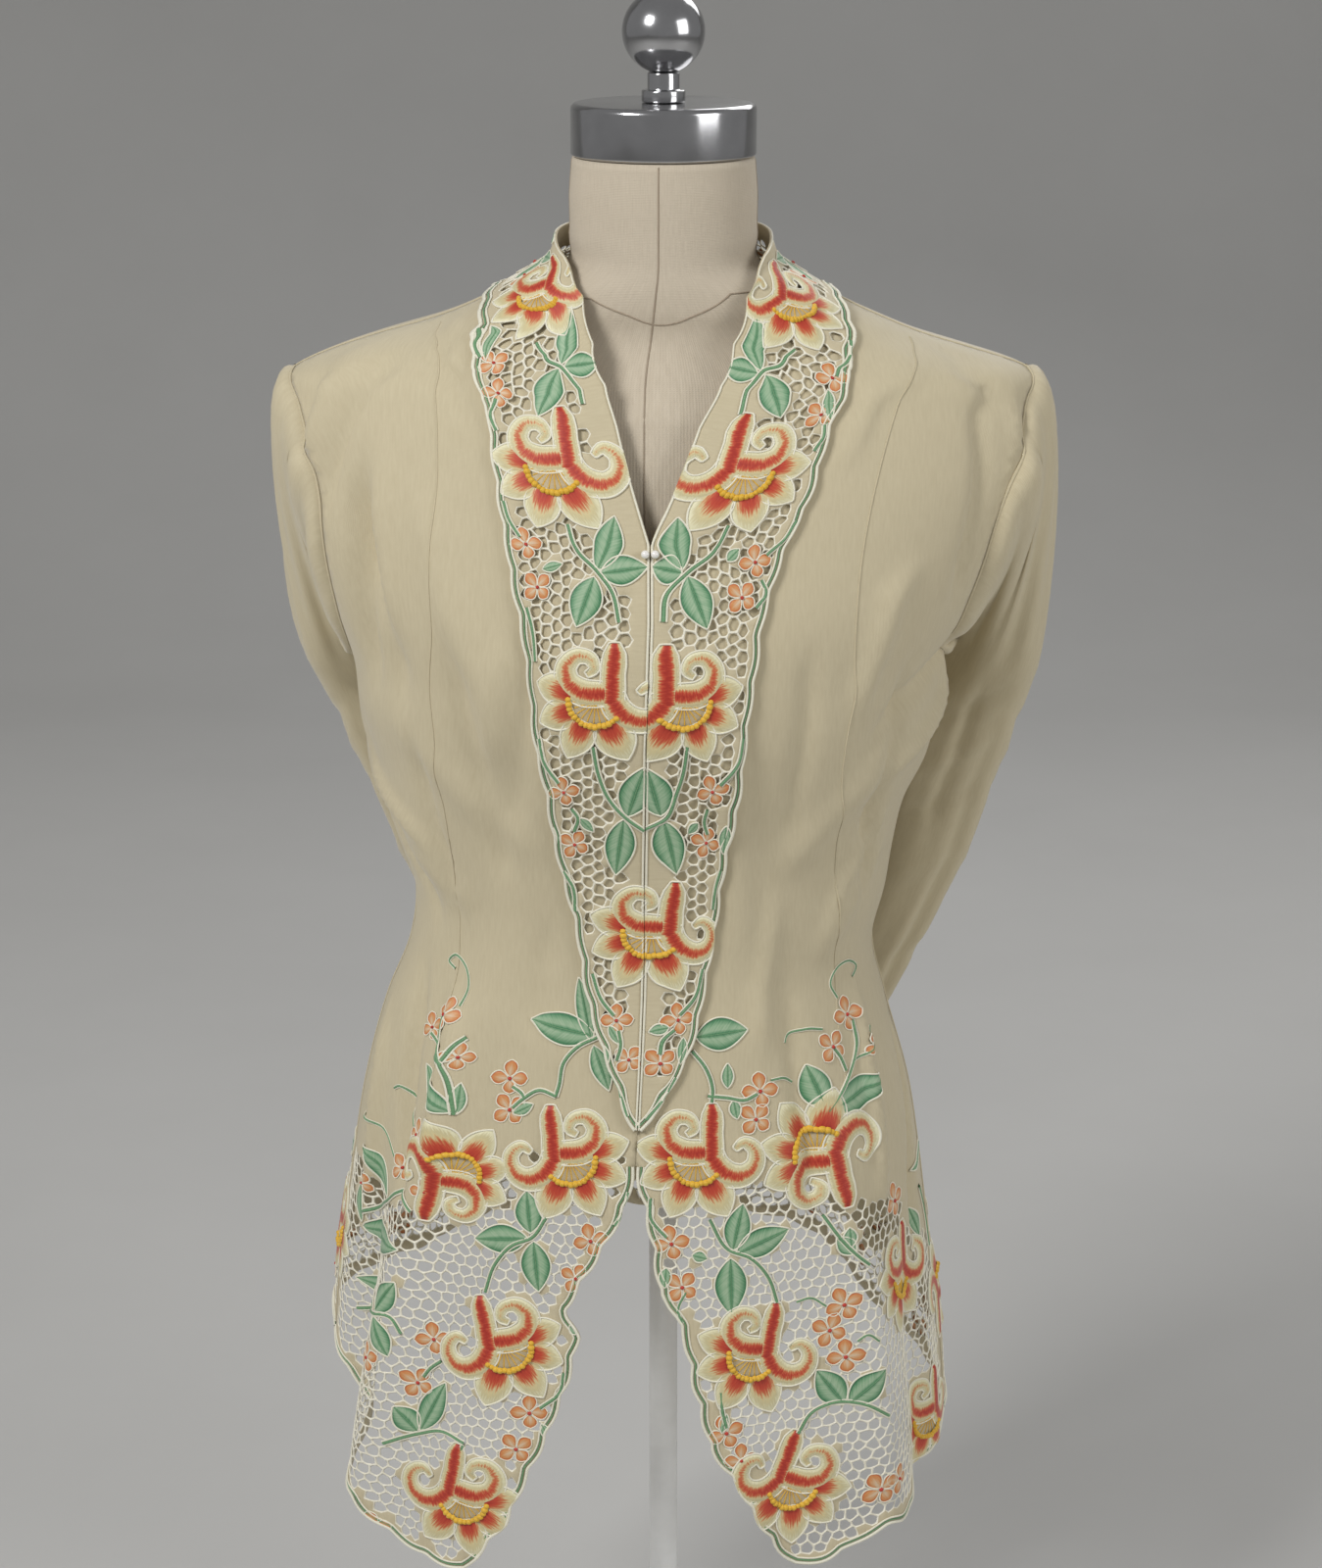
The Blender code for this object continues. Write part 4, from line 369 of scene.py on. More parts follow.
# The skin: a flat domain's places on the worn shape, all worked out for whole arrays
def smooth_column(knots, values, at):
    """A smooth curve through a table's column."""
    knots = np.asarray(knots, dtype=float)
    values = np.asarray(values, dtype=float)
    slopes = np.gradient(values, knots)
    at = np.clip(at, knots[0], knots[-1])
    row = np.clip(np.searchsorted(knots, at, side="right") - 1, 0, len(knots) - 2)
    span = knots[row + 1] - knots[row]
    t = (at - knots[row]) / span
    near = (1 + 2 * t) * (1 - t) ** 2 * values[row] + t * (1 - t) ** 2 * span * slopes[row]
    far = t * t * (3 - 2 * t) * values[row + 1] + t * t * (t - 1) * span * slopes[row + 1]
    return near + far


def column(rows, key, name, at):
    """One column of a table read smoothly at any places."""
    return smooth_column([getattr(row, key) for row in rows], [getattr(row, name) for row in rows], at)


RING_DROPS = np.arange(RINGS[0].drop, RINGS[-1].drop + RING_STEP / 2, RING_STEP)
RING_TABLE = {name: column(RINGS, "drop", name, RING_DROPS) for name in RINGS[0]._fields}
TURNS = np.linspace(0.0, math.pi, TURN_STEPS + 1)


def ring_xy(wide, front, back, turn):
    """Distances across and back of a ring's points, turn from 0 at the front to pi at the back."""
    across = wide * np.abs(np.sin(turn)) ** (2 / RING_POWER)
    deep = np.where(np.cos(turn) >= 0, -front, back) * np.abs(np.cos(turn)) ** (2 / RING_POWER)
    return across, deep


def add_up(steps):
    """Distances along a line from the lengths of its steps."""
    return np.concatenate([[0.0], np.cumsum(steps)])


def lengths_round(side):
    """Distance from the centre front to each turn, for each ring of one side."""
    rows = []
    for wide, front, back in zip(RING_TABLE[side], RING_TABLE["front"], RING_TABLE["back"]):
        x, y = ring_xy(wide, front, back, TURNS)
        rows.append(add_up(np.hypot(np.diff(x), np.diff(y))))
    return np.array(rows)


def turns_by_share(lengths):
    """The turn at each even share of the way round, for each ring."""
    shares = np.linspace(0.0, 1.0, TURN_STEPS + 1)
    return np.array([np.interp(shares * row[-1], row, TURNS) for row in lengths])


LENGTHS = {side: lengths_round(side) for side in ("left", "right")}
SHARE_TURNS = {side: turns_by_share(LENGTHS[side]) for side in ("left", "right")}
PATH = add_up(np.hypot(RING_STEP, SLOPE_SHARE * np.diff((RING_TABLE["left"] + RING_TABLE["right"]) / 2)))


def path_at(drop):
    return np.interp(drop, RING_DROPS, PATH)


def drop_at(path):
    return np.interp(path, PATH, RING_DROPS)


def sign_of(side):
    return -1 if side == "left" else 1


def read_table(table, drop, place):
    """A table of rings by places round them, read between both."""
    row_at = np.clip((drop - RINGS[0].drop) / RING_STEP, 0, len(RING_DROPS) - 1.001)
    row = row_at.astype(int)
    place = np.clip(place, 0, TURN_STEPS - 0.001)
    cell = place.astype(int)
    down = row_at - row
    across = place - cell
    near = (1 - across) * table[row, cell] + across * table[row, cell + 1]
    far = (1 - across) * table[row + 1, cell] + across * table[row + 1, cell + 1]
    return (1 - down) * near + down * far


def half_round(side, drop):
    """Distance from the centre front to the centre back on one side."""
    return np.interp(drop, RING_DROPS, LENGTHS[side][:, -1])


def by_side(value, left, right):
    """The left side's numbers where a value is below 0, else the right side's."""
    return np.where(value < 0, left, right)


def u_at_turn(turn, drop):
    """u at signed turns in radians."""
    turn, drop = np.broadcast_arrays(np.asarray(turn, dtype=float), np.asarray(drop, dtype=float))
    place = np.abs(turn) / math.pi * TURN_STEPS
    length = by_side(turn, read_table(LENGTHS["left"], drop, place),
                     read_table(LENGTHS["right"], drop, place))
    return np.copysign(length, turn)


def turn_at_u(u, drop):
    left = read_table(SHARE_TURNS["left"], drop, np.abs(u) / half_round("left", drop) * TURN_STEPS)
    right = read_table(SHARE_TURNS["right"], drop, np.abs(u) / half_round("right", drop) * TURN_STEPS)
    return np.copysign(by_side(u, left, right), u)


def ease(share):
    """A smooth rise from 0 to 1."""
    share = np.clip(share, 0.0, 1.0)
    return share * share * (3 - 2 * share)


def degrees_off(angle, middle):
    """Degrees from a middle to angles in radians, the short way round."""
    return (np.degrees(angle) - middle + 180.0) % 360.0 - 180.0


def fold_height(turn, drop):
    """How far the main folds lift the cloth."""
    total = np.zeros_like(drop)
    for fold in FOLDS:
        run_turn = math.radians(fold.end_turn - fold.top_turn) * FOLD_RADIUS
        run_drop = fold.end_drop - fold.top_drop
        off_turn = np.radians(degrees_off(turn, fold.top_turn)) * FOLD_RADIUS
        off_drop = drop - fold.top_drop
        length = math.hypot(run_turn, run_drop)
        along = (off_turn * run_turn + off_drop * run_drop) / length ** 2
        aside = (off_turn * run_drop - off_drop * run_turn) / length
        fade = ease(along / FOLD_RISE) * ease((1 - along) / FOLD_FALL)
        total += fold.height * fade * np.exp(-(aside / fold.half_width) ** 2)
    return total


def ring_at(name, drop):
    return np.interp(drop, RING_DROPS, RING_TABLE[name])


def wide_at(value, drop):
    """Half widths of the body on the side that a value's sign gives."""
    return by_side(value, ring_at("left", drop), ring_at("right", drop))


def body_ring(turn, drop):
    """Distances across and back of the plain body at signed turns."""
    return ring_xy(wide_at(turn, drop), ring_at("front", drop), ring_at("back", drop), np.abs(turn))


def ray(px, py):
    """Places along the ray through a pixel of the photograph: x, y and drop."""
    cos, sin = math.cos(CAMERA_PITCH), math.sin(CAMERA_PITCH)
    t = np.arange(RAY_NEAR, RAY_FAR, RAY_STEP)
    down = (py - PHOTO_TALL / 2) / FOCAL
    return ((px - PHOTO_AXIS) / FOCAL * t, -CAMERA_BACK + t * (cos - down * sin),
            -CAMERA_ABOVE_CAP + t * (sin + down * cos))


def front_turn(x, y, wide, deep):
    """Signed turns of places before the side seams, on rings of these half widths and depths."""
    ratio = np.abs(x) / wide / np.maximum(np.abs(y) / deep, TINY)
    return np.copysign(np.arctan(ratio ** (RING_POWER / 2)), x)


def ray_to_skin(px, py):
    """Signed turn and drop where the ray through a pixel of the photograph meets the skin."""
    x, y, drop = ray(px, py)
    turn = front_turn(x, y, wide_at(x, drop), ring_at("front", drop))
    reach = np.hypot(*body_ring(turn, drop)) + fold_height(turn, drop)
    met = np.flatnonzero(np.hypot(x, y) <= reach)
    if not len(met):
        met = [np.argmin(np.hypot(x, y) - reach)]
    return float(turn[met[0]]), float(drop[met[0]])


class CreaseLine:
    """A crease as a line of places on the body."""

    def __init__(self, spots, half_width, height):
        self.line = np.array([(turn * FOLD_RADIUS, drop) for turn, drop in spots])
        self.half_width = half_width * CREASE_SHARP
        self.height = height * CREASE_DEPTH

    def lift(self, turn, drop):
        around = 2 * math.pi * FOLD_RADIUS
        middle = self.line[:, 0].mean()
        across = (turn * FOLD_RADIUS - middle + around / 2) % around - around / 2 + middle
        spots = np.column_stack([across, drop])
        runs = np.diff(self.line, axis=0)
        lengths = np.hypot(*runs.T)
        nearest = np.full(len(spots), FAR)
        along = np.zeros(len(spots))
        done = 0.0
        for start, run, length in zip(self.line, runs, lengths):
            t = np.clip((spots - start) @ run / length ** 2, 0.0, 1.0)
            off = np.hypot(*(spots - start - t[:, None] * run).T)
            closer = off < nearest
            nearest = np.where(closer, off, nearest)
            along = np.where(closer, done + t * length, along)
            done += length
        share = along / done
        fade = ease(share / CREASE_ENDS) * ease((1 - share) / CREASE_ENDS)
        return self.height * fade * np.exp(-(nearest / self.half_width) ** 2)


CREASE_LINES = [CreaseLine([ray_to_skin(*point) for point in crease.points], crease.half_width,
                           crease.height) for crease in CREASES]
CREASE_LINES += [CreaseLine([(math.radians(turn), drop) for turn, drop in crease.points],
                            crease.half_width, crease.height) for crease in HIDDEN_CREASES]


def unwrap(u, drop):
    """Distances past the centre back brought onto the other side."""
    own = by_side(u, half_round("left", drop), half_round("right", drop))
    other = by_side(u, half_round("right", drop), half_round("left", drop))
    return np.where(np.abs(u) <= own, u, -np.copysign(other - (np.abs(u) - own), u))


def skin(u, drop):
    """The worn shape's mid surface at arrays of places."""
    u = unwrap(u, drop)
    turn = turn_at_u(u, drop)
    x, y = body_ring(turn, drop)
    lift = fold_height(turn, drop)
    for line in CREASE_LINES:
        lift += line.lift(turn, drop)
    reach = np.maximum(np.hypot(x, y), TINY)
    x = x * (1 + lift / reach)
    y = y * (1 + lift / reach)
    return np.column_stack([np.copysign(x, u), y, CAP_TOP - drop])


def unit(vectors):
    return vectors / np.maximum(np.linalg.norm(vectors, axis=1), LEAST)[:, None]


NORMAL_STEP = 0.0012


def skin_frame(u, drop):
    """Points and outward normals of the skin."""
    u, drop = np.asarray(u, dtype=float), np.asarray(drop, dtype=float)
    along = skin(u + NORMAL_STEP, drop) - skin(u - NORMAL_STEP, drop)
    down = skin(u, drop + NORMAL_STEP) - skin(u, drop - NORMAL_STEP)
    return skin(u, drop), unit(np.cross(down, along))


def turn_at_x(x, drop):
    """Signed turns of places seen from the front."""
    share = np.minimum(1.0, np.abs(x) / wide_at(x, drop))
    return np.copysign(np.arcsin(share ** (RING_POWER / 2)), x)


def u_at_x(x, drop):
    return u_at_turn(turn_at_x(x, drop), drop)


# Domains: each lays its flat points on the skin
class Body:
    """The fronts' domain (u, path), which runs on round the back."""

    def place(self, flat):
        return skin_frame(flat[:, 0], drop_at(flat[:, 1]))

    def at_pixel(self, px, py):
        turn, drop = ray_to_skin(px, py)
        return self.at_turn(turn, drop)

    def at_turn(self, turn, drop):
        return np.array([float(u_at_turn(turn, drop)), float(path_at(drop))])

    def spot(self, middle):
        """Lays a drawing, x to the viewer's right and y up, about a place."""
        turn = float(turn_at_u(middle[0], drop_at(middle[1])))

        def lay(drawing):
            path = middle[1] - drawing[..., 1]
            u = u_at_turn(turn, drop_at(path)) + drawing[..., 0]
            return np.stack([u, path], axis=-1)
        return lay


STEPS_TO_KNOT = 10
RAILS = 7                  # lines along a lapel by which its width is measured
SEARCH_STEP = 0.0015       # the grid of a lapel's places that is searched for a pixel's place
SEARCH_SHARES = np.linspace(-0.15, 1.15, 66)


class Band:
    """A lapel's domain (along, across), across above 0 to the viewer's right."""

    def __init__(self, side):
        sign = sign_of(side)
        turn = [sign * math.radians(row.turn) for row in BAND_NECK]
        inner_drop = [row.inner_drop for row in BAND_NECK + BAND_FRONT]
        outer_drop = [row.outer_drop for row in BAND_NECK + BAND_FRONT]
        front = range(len(BAND_FRONT))
        inner_x = np.array([getattr(row, side + "_inner") for row in BAND_FRONT])
        outer_x = np.array([getattr(row, side + "_outer") for row in BAND_FRONT])
        inner_turn = turn + [float(turn_at_x(inner_x[k], BAND_FRONT[k].inner_drop)) for k in front]
        outer_turn = turn + [float(turn_at_x(outer_x[k], BAND_FRONT[k].outer_drop)) for k in front]
        self.sign = sign
        self.knots = np.arange(len(inner_drop), dtype=float)
        self.inner = (np.array(inner_turn), np.array(inner_drop))
        self.outer = (np.array(outer_turn), np.array(outer_drop))
        self.steps = np.linspace(0.0, self.knots[-1], STEPS_TO_KNOT * len(self.knots))
        middle = skin(*self.blend(self.steps, 0.5))
        self.run = add_up(np.linalg.norm(np.diff(middle, axis=0), axis=1))
        rails = [skin(*self.blend(self.steps, share)) for share in np.linspace(0.0, 1.0, RAILS)]
        self.widths = sum(np.linalg.norm(far - near, axis=1) for near, far in zip(rails, rails[1:]))
        self.length = self.run[-1]
        self.grid = None
        self.closure = float(np.interp(len(BAND_NECK) + CLOSURE_ROW, self.steps, self.run))

    def blend(self, at, share):
        place = []
        for near, far in zip(self.inner, self.outer):
            near = np.interp(at, self.knots, near)
            far = smooth_column(self.knots, far, at)
            place.append((1 - share) * near + share * far)
        return u_at_turn(place[0], place[1]), place[1]

    def width(self, along):
        return np.interp(along, self.run, self.widths)

    def to_body(self, flat):
        at = np.interp(flat[:, 0], self.run, self.steps)
        return self.blend(at, self.sign * flat[:, 1] / self.width(flat[:, 0]))

    def place(self, flat):
        return skin_frame(*self.to_body(flat))

    def at_pixel(self, px, py):
        """The band's place under a pixel, searched over a fine grid of its places."""
        turn, drop = ray_to_skin(px, py)
        goal = skin(u_at_turn([turn], [drop]), np.array([drop]))[0]
        if self.grid is None:
            along, share = np.meshgrid(np.arange(0.0, self.length, SEARCH_STEP), SEARCH_SHARES)
            across = share.ravel() * self.width(along.ravel()) * self.sign
            flat = np.column_stack([along.ravel(), across])
            self.grid = (flat, skin(*self.to_body(flat)))
        off = np.linalg.norm(self.grid[1] - goal, axis=1)
        return self.grid[0][int(np.argmin(off))]

    def spot(self, middle):
        def lay(drawing):
            return np.stack([middle[0] - drawing[..., 1], middle[1] + drawing[..., 0]], axis=-1)
        return lay


# Flat outlines
def even(start, end, step):
    return np.linspace(start, end, max(1, round(abs(end - start) / step)) + 1)


def run_along(points):
    """Distances along a flat line of points."""
    return add_up(np.hypot(*np.diff(points, axis=0).T))


def spread(points, step):
    """Points at an even step along a polyline, both ends kept."""
    points = np.asarray(points, dtype=float)
    run = run_along(points)
    at = even(0.0, run[-1], step)
    return np.column_stack([np.interp(at, run, points[:, 0]), np.interp(at, run, points[:, 1])])


def left_of(run):
    """Unit vectors to the left of a flat line's directions, seen with the second axis upward."""
    run = run / np.maximum(np.hypot(run[:, 0], run[:, 1]), LEAST)[:, None]
    return np.column_stack([-run[:, 1], run[:, 0]])


def aside(points, distance):
    """A polyline moved to its left-hand side."""
    return points + distance * left_of(np.gradient(points, axis=0))


def scallop(points, depth, outward, step):
    """An even edge turned into scallops: outward is 1 or -1 times aside's side."""
    edge = spread(points, step)
    run = run_along(edge)
    count = max(1, round(run[-1] / SCALLOP_PITCH))
    bulge = depth * np.abs(np.sin(math.pi * count * run / run[-1]))
    return edge + outward * bulge[:, None] * (aside(edge, 1.0) - edge)


def flat_at(u, drops):
    """Places of the fronts' domain at drops."""
    return np.column_stack([u, path_at(drops)])


def hem_line(side, start, end, step):
    """The hem from one turn to another, in degrees."""
    turns = even(start, end, step)
    drops = column(HEM, "turn", side, turns)
    return flat_at(u_at_turn(sign_of(side) * np.radians(turns), drops), drops)


def side_foot(side):
    """The hem's drop at the side seam."""
    return float(column(HEM, "turn", side, SHOULDER_TURN))


def flap_line(side):
    """The front edge of the hanging point, from where the fronts part down to the tip."""
    x = np.array([getattr(row, side) for row in FLAP_EDGE])
    drops = np.array([row.drop for row in FLAP_EDGE])
    tip = hem_line(side, TIP_TURN[side], TIP_TURN[side] + 1, 1)[:1]
    return np.concatenate([flat_at(u_at_x(x, drops), drops), tip])


def centre_line(step):
    drops = even(FLAP_EDGE[0].drop, CLOSURE.inner_drop, step)
    return flat_at(u_at_x(column(CENTRE, "drop", "x", drops), drops), drops)


def neckline(side, step):
    """The front's neck edge under the lapel, from the closure up to the shoulder seam."""
    sign = sign_of(side)
    closure_x = float(column(CENTRE, "drop", "x", CLOSURE.inner_drop))
    spots = [(closure_x + sign * CLOSURE_UNDER, CLOSURE.inner_drop)]
    spots += [(getattr(row, side + "_inner") + sign * NECK_UNDER, row.inner_drop)
              for row in BAND_FRONT[CLOSURE_ROW - 1:0:-1]]
    x, drops = np.array(spots).T
    turns = np.append(turn_at_x(x, drops), sign * math.radians(NECK_CORNER_TURN))
    drops = np.append(drops, BACK_NECK_DROP)
    return spread(flat_at(u_at_turn(turns, drops), drops), step)


def shoulder_line(side, start, end, step):
    """The shoulder seam or the side seam between two drops."""
    paths = even(path_at(start), path_at(end), step)
    turn = sign_of(side) * math.radians(SHOULDER_TURN)
    return np.column_stack([u_at_turn(turn, drop_at(paths)), paths])


def armhole_spots(side, angles, behind, inset):
    """Signed turns and drops round the armhole, this far inside its edge."""
    drop = ARMHOLE_DROP - (ARMHOLE_TALL - inset) * np.sin(angles)
    depth = np.where(behind, ring_at("back", drop), ring_at("front", drop))
    share = ((ARMHOLE_DEEP - inset) * np.abs(np.cos(angles)) / depth) ** (RING_POWER / 2)
    return sign_of(side) * np.where(behind, math.pi - np.arccos(share), np.arccos(share)), drop


def armhole_line(side, part):
    """The armhole's cut edge on the front or on the back, from its top to its bottom."""
    angles = np.radians(np.linspace(90, -90, ARMHOLE_POINTS))
    turn, drop = armhole_spots(side, angles, part == "back", 0.0)
    return flat_at(u_at_turn(turn, drop), drop)


def join(*lines):
    """One closed outline from lines that meet end to end."""
    points = np.concatenate([np.asarray(line) for line in lines])
    off = np.hypot(*(points - np.roll(points, 1, axis=0)).T)
    return points[off > 1e-5]


def shifted(points, distance):
    return points + np.array([distance, 0.0])


def front_foot(side, start, step):
    """The scalloped hem from a turn to the tip, and the scalloped edge of the hanging point."""
    lines = (hem_line(side, start, TIP_TURN[side], 1.0), flap_line(side)[::-1])
    return [scallop(line, HEM_SCALLOP, -sign_of(side), step) for line in lines]


def front_outline(side, step):
    """A whole front: both of its panels, from the front edge round to the side seam."""
    gap = sign_of(side) * SEAM_GAP / 2
    hem, flap = front_foot(side, SHOULDER_TURN, step / 2)
    return join(shifted(centre_line(step), gap), shifted(neckline(side, step), gap),
                shifted(shoulder_line(side, BACK_NECK_DROP, ARMHOLE_DROP - ARMHOLE_TALL, step), -gap),
                shifted(armhole_line(side, "front"), -gap),
                shifted(shoulder_line(side, ARMHOLE_DROP + ARMHOLE_TALL, side_foot(side), step), -gap),
                hem[1:-1], flap)


def from_back(side, line):
    """A line of the fronts' domain as (distance from the centre back, path)."""
    return np.column_stack([half_round(side, drop_at(line[:, 1])) - np.abs(line[:, 0]), line[:, 1]])


def back_hem(side, step):
    return scallop(from_back(side, hem_line(side, SHOULDER_TURN, 180.0, 1.0)), HEM_SCALLOP, -1, step / 2)


def back_half(side, step):
    """One half of the back in (distance from the centre back, path)."""
    turns = np.radians(even(180.0, SHOULDER_TURN, 4.0))
    drops = np.full(len(turns), BACK_NECK_DROP)
    neck = flat_at(u_at_turn(sign_of(side) * turns, drops), drops)
    edge = from_back(side, np.concatenate([
        neck[:-1], shoulder_line(side, BACK_NECK_DROP, ARMHOLE_DROP - ARMHOLE_TALL, step),
        armhole_line(side, "back")[1:],
        shoulder_line(side, ARMHOLE_DROP + ARMHOLE_TALL, side_foot(side), step)[1:]]))
    edge[:, 0] = np.where(edge[:, 0] > SEAM_GAP, edge[:, 0] - SEAM_GAP / 2, edge[:, 0])
    return np.concatenate([edge, back_hem(side, step)[1:]])


def back_outline(step):
    right = back_half("right", step)
    left = back_half("left", step) * np.array([-1.0, 1.0])
    return join(right, left[::-1])


class Back:
    """The back's domain (w, path), w above 0 to the viewer's right."""

    def to_body(self, flat):
        drop = drop_at(flat[:, 1])
        u = by_side(flat[:, 0], -half_round("left", drop), half_round("right", drop)) - flat[:, 0]
        return u, drop

    def place(self, flat):
        return skin_frame(*self.to_body(flat))


def band_edges(band, step):
    """The distances along a lapel at which its edges are drawn, and its scalloped outer edge."""
    alongs = even(SEAM_GAP / 2, band.length - LAPEL_POINT, step)
    return alongs, scallop(np.column_stack([alongs, band.width(alongs)]), LAPEL_SCALLOP, 1, step / 2)


def band_outline(band, step):
    """The lapel's cut edge."""
    alongs, outer = band_edges(band, step)
    inner = np.column_stack([alongs, np.full(len(alongs), SEAM_GAP / 2)])
    return join(inner, outer[::-1]) * np.array([1.0, band.sign])


# Cloth pieces
def inside(points, outline):
    """Which points lie inside a closed outline."""
    x, y = points[:, 0], points[:, 1]
    result = np.zeros(len(points), dtype=bool)
    x0, y0 = outline[-1]
    for x1, y1 in outline:
        crosses = (y1 > y) != (y0 > y)
        with np.errstate(divide="ignore", invalid="ignore"):
            result ^= crosses & (x < (x0 - x1) * (y - y1) / (y0 - y1) + x1)
        x0, y0 = x1, y1
    return result


def nearest_on(points, outline):
    """The nearest places to points on a closed outline, and how far off they are."""
    best = np.full(len(points), FAR)
    found = points.copy()
    start = outline[-1]
    for end in outline:
        run = end - start
        t = np.clip(((points - start) @ run) / max(float(run @ run), LEAST), 0.0, 1.0)[:, None]
        off = np.hypot(*(points - start - t * run).T)
        closer = off < best
        best = np.where(closer, off, best)
        found[closer] = (start + t * run)[closer]
        start = end
    return found, best


def shake(column_key, row_key, seed):
    """A repeatable number from -1 to 1 for one knot of the net."""
    value = math.sin(column_key * 12.9898 + row_key * 78.233 + seed * 37.719) * 43758.5453
    return 2.0 * (value - math.floor(value)) - 1.0


def net_knots(outline, seed, keep):
    """The uneven net's cells inside an outline, each as its six knots."""
    low, high = outline.min(axis=0), outline.max(axis=0)
    knot = NET_PITCH / math.sqrt(3)
    cells = []
    for row in range(int(low[1] / (1.5 * knot)) - 1, int(high[1] / (1.5 * knot)) + 2):
        for place in range(int(low[0] / NET_PITCH) - 1, int(high[0] / NET_PITCH) + 2):
            centre = np.array([(place + 0.5 * (row % 2)) * NET_PITCH, 1.5 * knot * row])
            corners = []
            for k in range(6):
                angle = math.radians(60 * k + 30)
                corner = centre + knot * np.array([math.cos(angle), math.sin(angle)])
                key = (round(2 * corner[0] / NET_PITCH), round(2 * corner[1] / knot))
                corner[0] += NET_SHAKE * knot * shake(key[0], key[1], seed)
                corner[1] += NET_SHAKE * knot * shake(key[1], key[0], seed + 1)
                corners.append(corner)
            cells.append(np.array(corners))
    middles = np.array([cell.mean(axis=0) for cell in cells])
    room = inside(middles, outline) & (nearest_on(middles, outline)[1] > knot + NET_EDGE)
    room &= keep(middles)
    return [cell for cell, good in zip(cells, room) if good]


def with_middles(cell):
    """A cell's knots with the middles of its sides between them."""
    middles = (cell + np.roll(cell, -1, axis=0)) / 2
    return np.stack([cell, middles], axis=1).reshape(-1, 2)


HOLE_ROUND = 0.90          # how far an opening's corners reach, against its sides
CELL_POINTS = 12
FILL_EDGE = 0.45           # how near the cut edge the plain cloth's points come, in steps


def opening_in(cell):
    """The rounded opening left between a cell's bars."""
    middle = cell.mean(axis=0)
    share = np.tile([HOLE_ROUND, 1.0], 6)[:, None] * (1.0 - NET_BAR / NET_PITCH)
    return middle + share * (with_middles(cell) - middle)


def filling(outline, middles, step):
    """Points on an even triangle net inside an outline, clear of its edge and of the openings."""
    low, high = outline.min(axis=0), outline.max(axis=0)
    rows = np.arange(low[1] + step / 2, high[1], step * math.sqrt(3) / 2)
    points = []
    for k, y in enumerate(rows):
        xs = np.arange(low[0] + 0.5 * step * (k % 2), high[0], step)
        points.append(np.column_stack([xs, np.full(len(xs), y)]))
    points = np.concatenate(points)
    points = points[inside(points, outline)]
    points = points[nearest_on(points, outline)[1] > FILL_EDGE * step]
    if len(middles):
        clear = np.ones(len(points), dtype=bool)
        for start in range(0, len(points), AT_ONCE):
            part = points[start:start + AT_ONCE]
            off = np.hypot(*(part[:, None, :] - middles[None, :, :]).transpose(2, 0, 1))
            clear[start:start + AT_ONCE] = off.min(axis=1) > NET_CLEAR * NET_PITCH
        points = points[clear]
    return points


def signed_area(loop):
    x, y = loop[:, 0], loop[:, 1]
    return 0.5 * (np.dot(x, np.roll(y, -1)) - np.dot(y, np.roll(x, -1)))


def counter_clockwise(loop):
    return loop if signed_area(loop) > 0 else loop[::-1]


Panel = namedtuple("Panel", "name place outline cells wall lift slot nodes held rests_on")


def build_cloth(panel, step, materials):
    """A closed wall of cloth with its net: plain cloth is slot 0, the net's bars are slot 1.

    Both sides of the wall end at each cell of the net. From there the bars slope to the edge of the
    opening, which lies in the middle of the wall.
    """
    outline = counter_clockwise(panel.outline)
    holes = [counter_clockwise(opening_in(cell)) for cell in panel.cells]
    inputs = [tuple(point) for point in outline]
    loops = [list(range(len(inputs)))]
    known = {}
    for cell in panel.cells:
        loops.append([])
        for point in counter_clockwise(with_middles(cell)):
            key = (round(point[0] * 1e6), round(point[1] * 1e6))
            if key not in known:
                known[key] = len(inputs)
                inputs.append(tuple(point))
            loops[-1].append(known[key])
    middles = np.array([cell.mean(axis=0) for cell in panel.cells]).reshape(-1, 2)
    inputs.extend(tuple(point) for point in filling(outline, middles, step))
    flat, _, parts, origins, _, owners = delaunay_2d_cdt([Vector(point) for point in inputs], [], loops,
                                                         1, SAME_PLACE)
    triangles = [tuple(part) for part, owner in zip(parts, owners) if owner == [0]]
    place_of = {index: k for k, origin in enumerate(origins) for index in origin}
    rings = [[place_of[index] for index in loop] for loop in loops[1:]]
    flat = np.array([tuple(point) for point in flat])
    count = len(flat)
    points, normals = panel.place(flat)
    places = [points + normals * (panel.lift + way * panel.wall / 2) for way in (1, -1)]
    bars = []
    for k, ring in enumerate(rings):
        for i in range(CELL_POINTS):
            j = (i + 1) % CELL_POINTS
            near, far = (2 * count + CELL_POINTS * k + end for end in (i, j))
            bars += [(ring[i], ring[j], far, near), (ring[j] + count, ring[i] + count, near, far)]
    if holes:
        points, normals = panel.place(np.concatenate(holes))
        places.append(points + normals * panel.lift)
    sides = [side for a, b, c in triangles for side in ((a, b), (b, c), (c, a))]
    inner_sides = set(sides).union(*(zip(ring, ring[1:] + ring[:1]) for ring in rings))
    rim = [(b, a, a + count, b + count) for a, b in sides if (b, a) not in inner_sides]
    plain = triangles + [(c + count, b + count, a + count) for a, b, c in triangles] + rim
    weave = np.concatenate([flat, flat, *holes]) * 1000.0
    weave = np.column_stack([weave, np.zeros(len(weave))])
    slots = [0] * len(plain) + [1] * len(bars)
    return face_outward(make_piece(panel.name, np.concatenate(places), plain + bars, weave, materials,
                                   slots))


